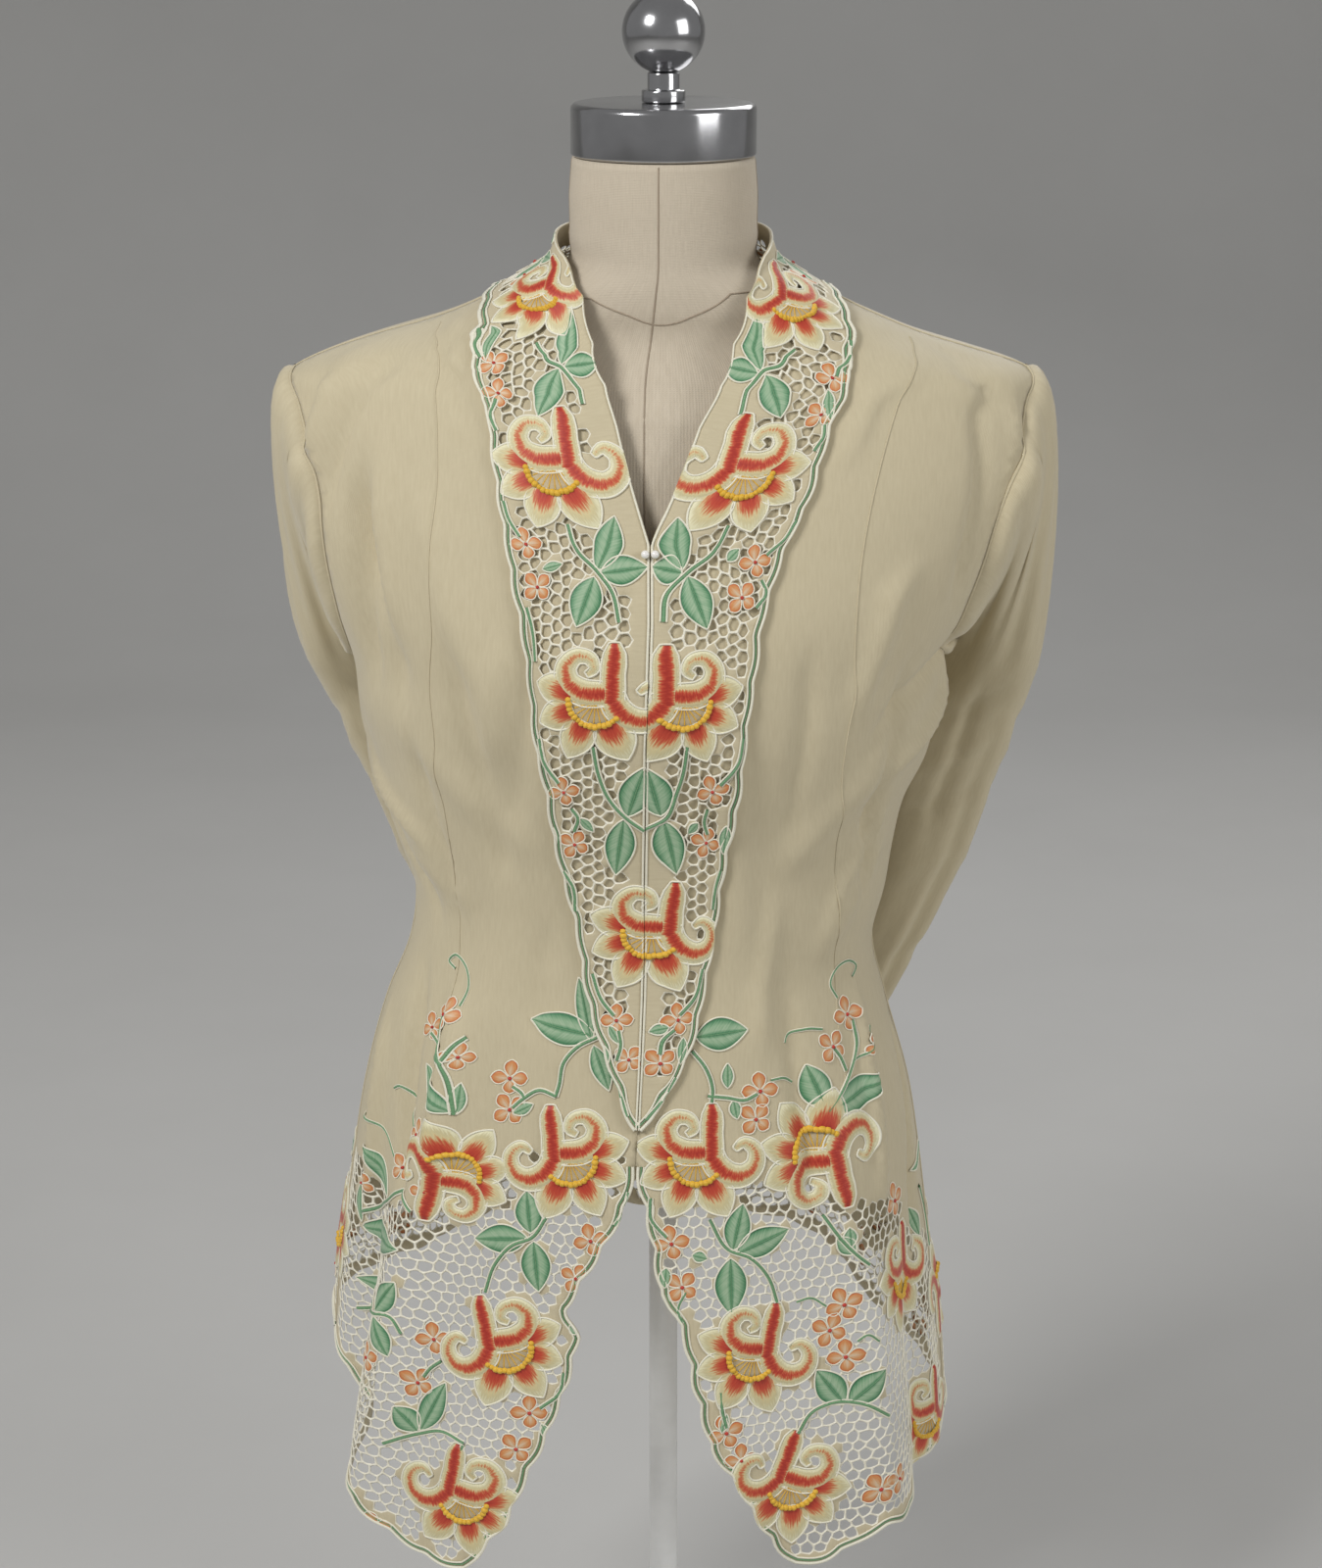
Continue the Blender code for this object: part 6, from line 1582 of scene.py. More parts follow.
def turn_up(name, profile, segments, finish, node):
    """A turned piece from its profile, radius and height, top to foot, closed at both ends."""
    angles = 2 * math.pi * np.arange(segments) / segments
    radius, height = np.array(profile).T[:, :, None]
    places, thread = (np.stack(np.broadcast_arrays(*parts), axis=-1) for parts in (
        (radius * np.sin(angles), -radius * np.cos(angles), height),
        (angles[None, :], height * 1000, radius * 1000)))
    return dress(grid_mesh(name, places, thread, [finish]), [node])


def rounded(points, radius, steps=6):
    """A profile with its corners rounded."""
    points = np.array(points)
    result = [points[0]]
    for before, corner, after in zip(points, points[1:], points[2:]):
        back, on = before - corner, after - corner
        reach = min(radius, 0.48 * np.linalg.norm(back), 0.48 * np.linalg.norm(on))
        start = corner + back / np.linalg.norm(back) * reach
        end = corner + on / np.linalg.norm(on) * reach
        for t in np.linspace(0, 1, steps):
            result.append((1 - t) ** 2 * start + 2 * t * (1 - t) * corner + t * t * end)
    result.append(points[-1])
    return result


NEAR_AXIS = 0.0004         # the small round at a turned piece's ends
CAP_AROUND = 128
FINIAL_AROUND = 96
POLE_AROUND = 72
BASE_AROUND = 144
CAP_ROUND = 0.0020
COLLAR_ROUND = 0.0011
POLE_ROUND = 0.0040
BASE_ROUND = 0.0030
CAP_RADIUS = 0.0540
CAP_EDGE = 0.0022
CAP_TALL = 0.0300
COLLAR_RADIUS = 0.0127
COLLAR_TALL = 0.0070
STEM_RADIUS = 0.0093
STEM_TALL = 0.0100
BALL_RADIUS = 0.0240
BALL_SEAT = 0.0081
POLE_RADIUS = 0.0090
POLE_PLATE_RADIUS = 0.0450
POLE_PLATE_TALL = 0.0060
BASE_RADIUS = 0.1700
BASE_TALL = 0.0120
BOSS_RADIUS = 0.0200
BOSS_TALL = 0.0160
PEARL_RADIUS = 0.0024
PEARL_DROP = 0.2425
PEARL_OFFSET = 0.0028


# Materials
def nodes_of(name, roughness, **values):
    """A new material with its node tree and shader; values are the shader's own inputs."""
    material = bpy.data.materials.new(name)
    material.use_nodes = True
    tree = material.node_tree
    shader = tree.nodes["Principled BSDF"]
    for key, value in dict(values, Roughness=roughness).items():
        shader.inputs[key.replace("_", " ")].default_value = value
    return material, tree, shader


def add(tree, kind, **values):
    """A node with its properties and input values set."""
    node = tree.nodes.new(kind)
    for key, value in values.items():
        if hasattr(node, key):
            setattr(node, key, value)
        else:
            node.inputs[key.replace("_", " ")].default_value = value
    return node


def thread_places(tree):
    """The needle's own places, in millimetres."""
    return add(tree, "ShaderNodeAttribute", attribute_name="thread").outputs["Vector"]


def stretched(tree, places, scale):
    node = add(tree, "ShaderNodeVectorMath", operation="MULTIPLY")
    node.inputs[1].default_value = scale
    tree.links.new(places, node.inputs[0])
    return node.outputs[0]


def texture(tree, kind, places, **values):
    """A texture node read at these places."""
    node = add(tree, kind, **values)
    tree.links.new(places, node.inputs["Vector"])
    return node.outputs["Fac"]


def worked_out(tree, operation, *values):
    """A number from others, each a node's output or a constant."""
    node = add(tree, "ShaderNodeMath", operation=operation)
    for socket, value in zip(node.inputs, values):
        if isinstance(value, float):
            socket.default_value = value
        else:
            tree.links.new(value, socket)
    return node.outputs[0]


def surface(finish, tone, stops, height, relief, distance):
    """Colours a finish by a tone, through stops of place, red, green and blue, and raises it."""
    material, tree, shader = finish
    ramp = tree.nodes.new("ShaderNodeValToRGB")
    elements = ramp.color_ramp.elements
    while len(elements) < len(stops):
        elements.new(0.5)
    for element, (place, *colour) in zip(elements, stops):
        element.position = place
        element.color = (*colour, 1.0)
    bump = add(tree, "ShaderNodeBump", Strength=relief, Distance=distance)
    tree.links.new(tone, ramp.inputs["Fac"])
    tree.links.new(ramp.outputs["Color"], shader.inputs["Base Color"])
    tree.links.new(height, bump.inputs["Height"])
    tree.links.new(bump.outputs["Normal"], shader.inputs["Normal"])
    return material


def woven(name, tones, pitch, relief, sheen, roughness=0.82):
    """Plain weave: two sets of threads at a pitch in millimetres, uneven from dark to light."""
    finish = nodes_of(name, roughness, Sheen_Weight=sheen, Sheen_Roughness=0.45)
    tree = finish[1]
    places = stretched(tree, thread_places(tree), (1.0, 1.0, 0.0))
    waves = [texture(tree, "ShaderNodeTexWave", places, wave_type="BANDS", bands_direction=axis,
                     wave_profile="SIN", Scale=WAVE_SCALE / pitch, Distortion=0.6, Detail=1.0)
             for axis in ("X", "Y")]
    slub = texture(tree, "ShaderNodeTexNoise", stretched(tree, places, (1.0, 0.12, 0.0)), Scale=0.7,
                   Detail=4.0, Roughness=0.6)
    height = worked_out(tree, "MAXIMUM", *waves)
    return surface(finish, slub, spread_tones(tones), height, relief, 0.0004)


def stitched(name, grain, stops, relief):
    """Close satin stitches that run along the thread's second axis, shaded from root to rim."""
    finish = nodes_of(name, 0.5, Sheen_Weight=0.3, Sheen_Roughness=0.35)
    tree = finish[1]
    places = thread_places(tree)
    streak = texture(tree, "ShaderNodeTexNoise", stretched(tree, places, (grain, 0.11, 0.0)), Scale=1.0,
                     Detail=4.0, Roughness=0.65)
    split = tree.nodes.new("ShaderNodeSeparateXYZ")
    tree.links.new(places, split.inputs[0])
    uneven = worked_out(tree, "MULTIPLY_ADD", streak, 0.80, -0.40)
    tone = worked_out(tree, "ADD", split.outputs["Z"], uneven)
    return surface(finish, tone, stops, streak, relief, 0.0005)


def plain_finish(name, tones, roughness, metallic=0.0, coat=0.0, scale=60.0, relief=0.03):
    """A hard finish with a slight unevenness in tone and surface."""
    finish = nodes_of(name, roughness, Metallic=metallic, Coat_Weight=coat)
    tree = finish[1]
    noise = texture(tree, "ShaderNodeTexNoise", tree.nodes.new("ShaderNodeTexCoord").outputs["Object"],
                    Scale=scale, Detail=4.0, Roughness=0.6)
    return surface(finish, noise, spread_tones(tones), noise, relief, 0.0002)


def spread_tones(tones):
    """Stops from a dark tone to a light one."""
    return [(place, *tone) for place, tone in zip((0.30, 0.70), tones)]


WAVE_SCALE = 0.314         # a wave texture's scale for bands 1 mm apart
VOILE = ((0.535, 0.462, 0.306), (0.580, 0.508, 0.345))
NET = ((0.790, 0.745, 0.600), (0.885, 0.850, 0.725))
LINEN = ((0.520, 0.448, 0.345), (0.585, 0.510, 0.400))
LINEN_SEAM = ((0.300, 0.240, 0.175), (0.380, 0.310, 0.230))
CHROME = ((0.46, 0.46, 0.47), (0.53, 0.53, 0.54))
LACQUER = ((0.80, 0.80, 0.785), (0.86, 0.86, 0.85))
PEARL = ((0.80, 0.77, 0.72), (0.90, 0.88, 0.85))
FLOOR = ((0.500, 0.495, 0.480), (0.520, 0.515, 0.500))
THREADS = table(
    "name grain stops |",
    ("petal_thread", 1.15,
     ((0.04, 0.36, 0.022, 0.012), (0.30, 0.52, 0.060, 0.026), (0.42, 0.56, 0.210, 0.080),
      (0.54, 0.66, 0.560, 0.300), (0.68, 0.58, 0.510, 0.290), (0.84, 0.72, 0.680, 0.450),
      (1.0, 0.74, 0.710, 0.490))),
    ("lip_thread", 1.15,
     ((0.02, 0.38, 0.024, 0.012), (0.18, 0.54, 0.065, 0.028), (0.31, 0.57, 0.220, 0.085),
      (0.43, 0.67, 0.570, 0.310), (0.62, 0.58, 0.510, 0.290), (0.82, 0.72, 0.680, 0.450),
      (1.0, 0.74, 0.710, 0.490))),
    ("fan_thread", 0.5, ((0.0, 0.36, 0.12, 0.03), (0.45, 0.46, 0.36, 0.21), (1.0, 0.56, 0.47, 0.30))),
    ("knot_thread", 3.0, ((0.2, 0.66, 0.33, 0.015), (0.8, 0.84, 0.56, 0.055))),
    ("leaf_thread", 1.15, ((0.0, 0.400, 0.520, 0.350), (0.30, 0.230, 0.390, 0.230),
                           (0.62, 0.065, 0.220, 0.100), (1.0, 0.028, 0.130, 0.055))),
    ("blossom_thread", 1.15, ((0.0, 0.66, 0.50, 0.33), (0.28, 0.62, 0.28, 0.10),
                              (0.60, 0.56, 0.16, 0.045), (1.0, 0.46, 0.10, 0.03))),
    ("cord_thread", 2.6, ((0.2, 0.740, 0.700, 0.550), (0.8, 0.880, 0.850, 0.720))),
    ("stem_thread", 1.6, ((0.2, 0.050, 0.200, 0.080), (0.8, 0.240, 0.420, 0.220))),
    ("eye_thread", 3.0, ((0.2, 0.42, 0.020, 0.012), (0.8, 0.58, 0.050, 0.024))))
class Finishes:
    """Every finish of the part, made once."""

    def __init__(self, settings):
        relief, sheen = settings.weave_relief, settings.sheen
        self.voile = woven("voile_cloth", VOILE, 0.62, relief, sheen)
        self.seam = woven("seam_cloth", VOILE, 0.9, relief, sheen)
        self.net = woven("net_thread", NET, 0.8, relief, sheen, 0.75)
        self.threads = [stitched(*row, settings.thread_relief) for row in THREADS] + [self.seam]
        self.linen = woven("form_linen", LINEN, 0.9, 0.40, 0.15, 0.92)
        self.linen_seam = woven("form_seam", LINEN_SEAM, 0.9, 0.5, 0.1, 0.95)
        self.chrome = plain_finish("cap_chrome", CHROME, 0.16, 1.0)
        self.lacquer = plain_finish("stand_lacquer", LACQUER, 0.34, 0.0, 0.4)
        self.pearl = plain_finish("pearl_lustre", PEARL, 0.18, 0.0, 0.8, 400.0)
        self.floor = plain_finish("studio_floor", FLOOR, 0.85, 0.0, 0.0, 3.0, 0.01)


MADE = {}


def made(context, key, *more):
    """What the steps share, made once: the finishes, the domains and the needlework's drawings."""
    makers = {"finishes": lambda: Finishes(context.scene.kebaya_blouse), "body": Body, "band": Band,
              "front_work": lambda side: work_front(made(context, "body"), side),
              "back_work": lambda: work_back(made(context, "body")),
              "band_work": lambda side: work_band(made(context, "band", side), side)}
    if (key, *more) not in MADE:
        MADE[key, *more] = makers[key](*more)
    return MADE[key, *more]


def given(context):
    """The settings and the finishes."""
    return context.scene.kebaya_blouse, made(context, "finishes")


def dress(thing, nodes=()):
    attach(thing, "root")
    if nodes:
        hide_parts(*nodes)
    return thing


def sew_panel(context, panel):
    """Builds a panel with its net and hides the solids that it stands for."""
    settings, finishes = given(context)
    thing = build_cloth(panel, settings.cloth_step, [finishes.voile, finishes.net])
    dress(thing, panel.nodes)


def inward_of(line, outline):
    """The side of a line on which its outline's cloth lies, in aside's sense."""
    tests = aside(spread(line, 0.003), 0.0018)[2:-2]
    return 1 if inside(tests, outline).mean() > 0.5 else -1


def stitch_motifs(work, domain, flowers, leaves, blossoms, stems):
    """Stitches motifs that are placed by pixels of the photograph."""
    for flower in flowers:
        spot = domain.spot(domain.at_pixel(flower.px, flower.py))
        draw_flower(work, spot, flower.tilt, flower.mirrored, flower.size)
    for leaf in leaves:
        tip = domain.at_pixel(leaf.tip_px, leaf.tip_py)
        draw_leaf(work, domain.at_pixel(leaf.px, leaf.py), tip, leaf.width)
    for blossom in blossoms:
        spot = domain.spot(domain.at_pixel(blossom.px, blossom.py))
        draw_blossom(work, spot, blossom.tilt, blossom.size)
    for stem in stems:
        points = np.array([domain.at_pixel(*point) for point in stem.points])
        draw_stem(work, smooth_line(points, 8 * len(points)), stem.thin)


def stitch_seam(work, line, radius):
    work.tube(spread(line, SEAM_STEP), radius, SEAM, SEAM_RISE, False, 6)


def front_region(side):
    """Where a front's needlework may lie: above its hem, also past the side seam."""
    hem, flap = front_foot(side, REGION_TURN, EDGE_STEP)
    centre = shifted(centre_line(2 * EDGE_STEP), sign_of(side) * SEAM_GAP)
    far = sign_of(side) * REGION_WIDE
    return join(hem, flap, centre, [(centre[-1, 0], 0.0)], [(far, 0.0)], [(far, hem[0, 1])])


def work_front(body, side):
    """The needlework of one front's border."""
    work = Needlework()
    stitch_motifs(work, body, HEM_FLOWERS[side], HEM_LEAVES[side], HEM_BLOSSOMS[side], HEM_STEMS[side])
    work.trim(front_region(side))
    return work


def work_back(body):
    """The needlework of the back's border, which no picture shows."""
    work = Needlework()

    def middle(row):
        return body.at_turn(math.radians(row.turn), row.drop)
    for flower in BACK_FLOWERS:
        draw_flower(work, body.spot(middle(flower)), flower.tilt, flower.mirrored, flower.size)
    for trio in BACK_TRIOS:
        for leaf in LEAF_TRIO:
            draw_leaf(work, middle(trio), middle(trio) + np.array([leaf.run, -leaf.rise]), leaf.width)
    for blossom in BACK_BLOSSOMS:
        for way in (-1, 1):
            spot = body.spot(middle(blossom) + np.array(BLOSSOM_PAIR) * way)
            draw_blossom(work, spot, 20 + 30 * way, 1.05)
    return work


def work_band(band, side):
    """The needlework of one lapel, with a few motifs at the nape that no picture shows."""
    work = Needlework()
    stitch_motifs(work, band, LAPEL_FLOWERS[side] + SHARED_FLOWER, LAPEL_LEAVES[side],
                  LAPEL_BLOSSOMS[side], LAPEL_STEMS[side])
    mirror = np.array([1.0, band.sign])
    draw_flower(work, band.spot(NAPE_FLOWER * mirror), -90 * band.sign, side == "right", 0.62)
    for spot in NAPE_LEAVES:
        for leaf in NAPE_PAIR:
            stalk = spot * mirror
            draw_leaf(work, stalk, stalk + np.array([leaf.run, leaf.rise]) * mirror, leaf.width)
    for spot in NAPE_BLOSSOMS:
        draw_blossom(work, band.spot(spot * mirror), 20, 0.9)
    work.trim(band_outline(band, EDGE_STEP))
    return work


def armhole_flat(side):
    """The armhole's seam all round, in the fronts' domain."""
    return join(armhole_line(side, "front"), armhole_line(side, "back")[::-1][1:-1])


# What a user may change
class KebayaSettings(bpy.types.PropertyGroup):
    """Sizes and finishes of the blouse."""

    cloth_step: bpy.props.FloatProperty(
        name="Cloth step", description="Distance between the cloth's points", default=0.0052, min=0.003,
        unit="LENGTH")
    cloth_wall: bpy.props.FloatProperty(
        name="Cloth wall", description="Thickness of the fronts, the back and the sleeves",
        default=0.0010, min=0.0003, unit="LENGTH")
    lapel_wall: bpy.props.FloatProperty(
        name="Lapel wall", description="Thickness of the lapel bands", default=0.0012, min=0.0003,
        unit="LENGTH")
    weave_relief: bpy.props.FloatProperty(
        name="Weave relief", description="Strength of the weave", default=0.30, min=0.0, max=1.0,
        subtype="FACTOR")
    thread_relief: bpy.props.FloatProperty(
        name="Thread relief", description="Strength of the needlework's threads", default=0.60, min=0.0,
        max=1.0, subtype="FACTOR")
    sheen: bpy.props.FloatProperty(
        name="Sheen", description="Soft sheen of the voile", default=0.25, min=0.0, max=1.0,
        subtype="FACTOR")
    light_power: bpy.props.FloatProperty(
        name="Light power", description="Power of the main softbox", default=60.0, min=0.0,
        unit="POWER")
    floor_size: bpy.props.FloatProperty(
        name="Floor size", description="Width of the studio sweep", default=12.0, min=4.0,
        unit="LENGTH")


class BuildFronts(bpy.types.Operator):
    """Builds both fronts of the blouse with the net of their borders"""

    bl_idname = "kebaya.fronts"
    bl_label = "Fronts"

    def execute(self, context):
        settings = context.scene.kebaya_blouse
        for side in ("left", "right"):
            outline = front_outline(side, settings.cloth_step)
            work = made(context, "front_work", side)

            def keep(flat):
                drop = drop_at(flat[:, 1])
                return in_border(turn_at_u(flat[:, 0], drop), drop) & ~work.covers(flat)
            cells = net_knots(outline, NET_SEEDS["front"] + sign_of(side), keep)
            nodes = ["front_centre_" + side, "front_side_" + side]
            sew_panel(context, Panel("front_" + side + "_cloth", made(context, "body").place, outline,
                                     cells, settings.cloth_wall, 0.0, "voile", nodes, "hung",
                                     ["dress_form"]))
        return {"FINISHED"}


class BuildBack(bpy.types.Operator):
    """Builds the back of the blouse with the net of its border"""

    bl_idname = "kebaya.back"
    bl_label = "Back"

    def execute(self, context):
        settings = context.scene.kebaya_blouse
        back = Back()
        outline = back_outline(settings.cloth_step)
        works = [made(context, "back_work"), made(context, "front_work", "left"),
                 made(context, "front_work", "right")]

        def keep(flat):
            u, drop = back.to_body(flat)
            spots = np.column_stack([u, flat[:, 1]])
            covered = np.any([work.covers(spots) for work in works], axis=0)
            return in_border(turn_at_u(u, drop), drop) & ~covered
        sew_panel(context, Panel("back_cloth", back.place, outline,
                                 net_knots(outline, NET_SEEDS["back"], keep), settings.cloth_wall, 0.0,
                                 "voile", ["back"], "hung", ["dress_form"]))
        return {"FINISHED"}


class BuildSleeves(bpy.types.Operator):
    """Builds both sleeves, drawn back behind the body"""

    bl_idname = "kebaya.sleeves"
    bl_label = "Sleeves"

    def execute(self, context):
        settings, finishes = given(context)
        for side in ("left", "right"):
            thing, rings = build_sleeve(side, settings.cloth_wall, settings.cloth_step, [finishes.voile])
            dress(thing, ["sleeve_" + side])
        return {"FINISHED"}


class BuildLapels(bpy.types.Operator):
    """Builds both lapel bands of net"""

    bl_idname = "kebaya.lapels"
    bl_label = "Lapels"

    def execute(self, context):
        settings = context.scene.kebaya_blouse
        for side in ("left", "right"):
            band = made(context, "band", side)
            outline = band_outline(band, settings.cloth_step)
            work = made(context, "band_work", side)

            def keep(flat):
                plain = np.where(flat[:, 0] < band.closure, BAND_PLAIN, 0.0)
                return (band.sign * flat[:, 1] >= plain + NET_PITCH) & ~work.covers(flat)
            cells = net_knots(outline, NET_SEEDS["lapel"] + band.sign, keep)
            sew_panel(context, Panel("lapel_" + side + "_cloth", band.place, outline, cells,
                                     settings.lapel_wall, LAPEL_LIFT, "cutwork", ["lapel_" + side],
                                     "laid", ["front_" + side + "_cloth", "back_cloth"]))
        return {"FINISHED"}


class StitchLapels(bpy.types.Operator):
    """Works the flowers, leaves and edges of the lapels"""

    bl_idname = "kebaya.lapel_needlework"
    bl_label = "Lapel needlework"

    def execute(self, context):
        settings, finishes = given(context)
        for side in ("left", "right"):
            band = made(context, "band", side)
            work = made(context, "band_work", side)
            alongs, outer = band_edges(band, settings.cloth_step)
            outer = outer * np.array([1.0, band.sign])
            draw_edge(work, outer, inward_of(outer, band_outline(band, settings.cloth_step)))
            inner = np.column_stack([alongs, np.full(len(alongs), INNER_CORD_IN * band.sign)])
            work.tube(spread(inner, EDGE_STEP), INNER_CORD_RADIUS, CORD, INNER_CORD_RISE)
            lift = LAPEL_LIFT + settings.lapel_wall / 2
            dress(work.build("lapel_" + side + "_needlework", band.place, lift, finishes.threads))
        return {"FINISHED"}


class StitchHem(bpy.types.Operator):
    """Works the flowers and edges of the border, and the seams of the body"""

    bl_idname = "kebaya.hem_needlework"
    bl_label = "Border needlework and seams"

    def execute(self, context):
        settings, finishes = given(context)
        body = made(context, "body")
        lift = settings.cloth_wall / 2
        for side in ("left", "right"):
            work = made(context, "front_work", side)
            edge = join(*front_foot(side, SHOULDER_TURN, settings.cloth_step / 2))
            draw_edge(work, edge, inward_of(edge, front_outline(side, settings.cloth_step)))
            drops = np.linspace(PRINCESS_TOP[side] + PRINCESS_START, PRINCESS_END, PRINCESS_POINTS)
            across = u_at_x(column(PRINCESS, "drop", side, drops), drops)
            stitch_seam(work, flat_at(across, drops), PRINCESS_RADIUS)
            for start, end in ((BACK_NECK_DROP, ARMHOLE_DROP - ARMHOLE_TALL),
                               (ARMHOLE_DROP + ARMHOLE_TALL, side_foot(side) - SEAM_STEP)):
                stitch_seam(work, shoulder_line(side, start, end, SEAM_STEP), SEAM_RADIUS)
            stitch_seam(work, armhole_flat(side), ARMHOLE_RADIUS)
            dress(work.build("front_" + side + "_needlework", body.place, lift, finishes.threads))
        work = made(context, "back_work")
        dress(work.build("back_needlework", body.place, lift, finishes.threads))
        self.cord_back(settings, finishes, lift)
        return {"FINISHED"}

    def cord_back(self, settings, finishes, lift):
        """The corded hem of the back."""
        edging = Needlework()
        right, left = (back_hem(side, settings.cloth_step) * np.array([sign_of(side), 1.0])
                       for side in ("right", "left"))
        edge = join(right, left[::-1])
        draw_edge(edging, edge, inward_of(edge, back_outline(settings.cloth_step)))
        dress(edging.build("back_edge_cords", Back().place, lift, finishes.threads))


PEARL_AROUND = 36
PEARL_ROUND = 14.0         # where a bead's round starts, in degrees from its bore
PEARL_RIM = 9.0            # the rim of its bore
PEARL_HOLE = 0.86          # how far from its middle that rim lies, in radii
PEARL_BORE = (1.0, 0.0, 0.25)


class SewPearls(bpy.types.Operator):
    """Sews the two small pearls at the closure"""

    bl_idname = "kebaya.pearls"
    bl_label = "Pearls"

    def execute(self, context):
        settings, finishes = given(context)
        angles = np.concatenate([[PEARL_RIM], np.linspace(PEARL_ROUND, 180 - PEARL_ROUND, 20),
                                 [180 - PEARL_RIM]])
        angles = np.radians(angles)
        depth = np.concatenate([[PEARL_HOLE], np.ones(20), [PEARL_HOLE]])
        profile = np.column_stack([PEARL_RADIUS * np.sin(angles) * depth,
                                   PEARL_RADIUS * np.cos(angles) * depth])
        turn = Vector((0.0, 0.0, 1.0)).rotation_difference(Vector(PEARL_BORE))
        x = float(column(CENTRE, "drop", "x", PEARL_DROP))
        for side in ("left", "right"):
            u = u_at_x(x, PEARL_DROP) + sign_of(side) * PEARL_OFFSET
            point, normal = (row[0] for row in skin_frame([float(u)], [PEARL_DROP]))
            middle = point + normal * (LAPEL_LIFT + settings.lapel_wall / 2 + SEAM_GAP + PEARL_RADIUS)
            bead = turn_up("pearl_" + side + "_bead", profile, PEARL_AROUND, finishes.pearl,
                           "pearl_" + side)
            bead.data.transform(turn.to_matrix().to_4x4())
            bead.data.transform(Matrix.Translation(Vector(middle)))
        return {"FINISHED"}


class BuildForm(bpy.types.Operator):
    """Builds the limbless dress form"""

    bl_idname = "kebaya.dress_form"
    bl_label = "Dress form"

    def execute(self, context):
        finishes = made(context, "finishes")
        turns = 2 * math.pi * (np.arange(FORM_AROUND) + 0.5) / FORM_AROUND - math.pi
        drops = even(FORM_RINGS[0].drop, FORM_RINGS[-1].drop, FORM_STEP)
        turns, drops = np.broadcast_arrays(turns, drops[:, None])
        thread = np.stack([turns * LINEN_ROUND, drops * 1000, np.zeros(turns.shape)], axis=-1)
        form = grid_mesh("dress_form", form_skin(turns, drops), thread, [finishes.linen])
        dress(form, ["form_body"])
        parts = [seam_strip(*seam) for seam in form_seams()]
        dress(join_strips("form_seams", parts, [finishes.linen_seam]))
        return {"FINISHED"}


def ray_to_form(px, py):
    """Signed turn and drop where the ray through a pixel meets the form's neck."""
    x, y, drop = ray(px, py)
    half, front = form_ring("half", drop), form_ring("front", drop)
    inner = (np.abs(x) / half) ** RING_POWER + (np.abs(y) / front) ** RING_POWER <= 1.0
    met = int(np.argmax(inner & (drop > FORM_RINGS[0].drop)))
    return float(front_turn(x, y, half, front)[met]), float(drop[met])


def form_seams():
    """The form's sewn lines as turns and drops: four down it and one round its neck."""
    drops = np.linspace(FORM_SEAM_TOP, FORM_SEAM_END, FORM_SEAM_POINTS)
    front = smooth_line([ray_to_form(*point) for point in NECK_SEAM], NECK_SEAM_POINTS)
    turn = np.linspace(front[-1, 0], 2 * math.pi + front[0, 0], NAPE_SEAM_POINTS)
    dip = NECK_SEAM_DIP * np.sin(np.linspace(0, math.pi, NAPE_SEAM_POINTS))
    back = (np.where(turn > math.pi, turn - 2 * math.pi, turn),
            np.linspace(front[-1, 1], front[0, 1], NAPE_SEAM_POINTS) - dip)
    return [(np.full(len(drops), turn), drops) for turn in FORM_SEAM_TURNS] + [front.T, back]


def seam_strip(turns, drops):
    """A low ridge along a line on the form: rows of five points."""
    points = form_skin(turns, drops)
    normals = unit(np.cross(form_skin(turns, drops + PROBE_DROP) - points,
                            form_skin(turns + PROBE_TURN, drops) - points))
    beside = unit(np.cross(unit(np.gradient(points, axis=0)), normals))
    return np.stack([points + beside * share * COVER_SEAM + normals * height
                     for share, height in zip(RIDGE_ACROSS, RIDGE_HEIGHTS)], axis=1)


def join_strips(name, parts, materials):
    """Several strips of points as one mesh."""
    faces, count = [], 0
    for part in parts:
        faces += grid_faces(*part.shape[:2], first=count)
        count += part.shape[0] * part.shape[1]
    places = np.concatenate([part.reshape(-1, 3) for part in parts])
    return make_piece(name, places, faces, places * 1000.0, materials)


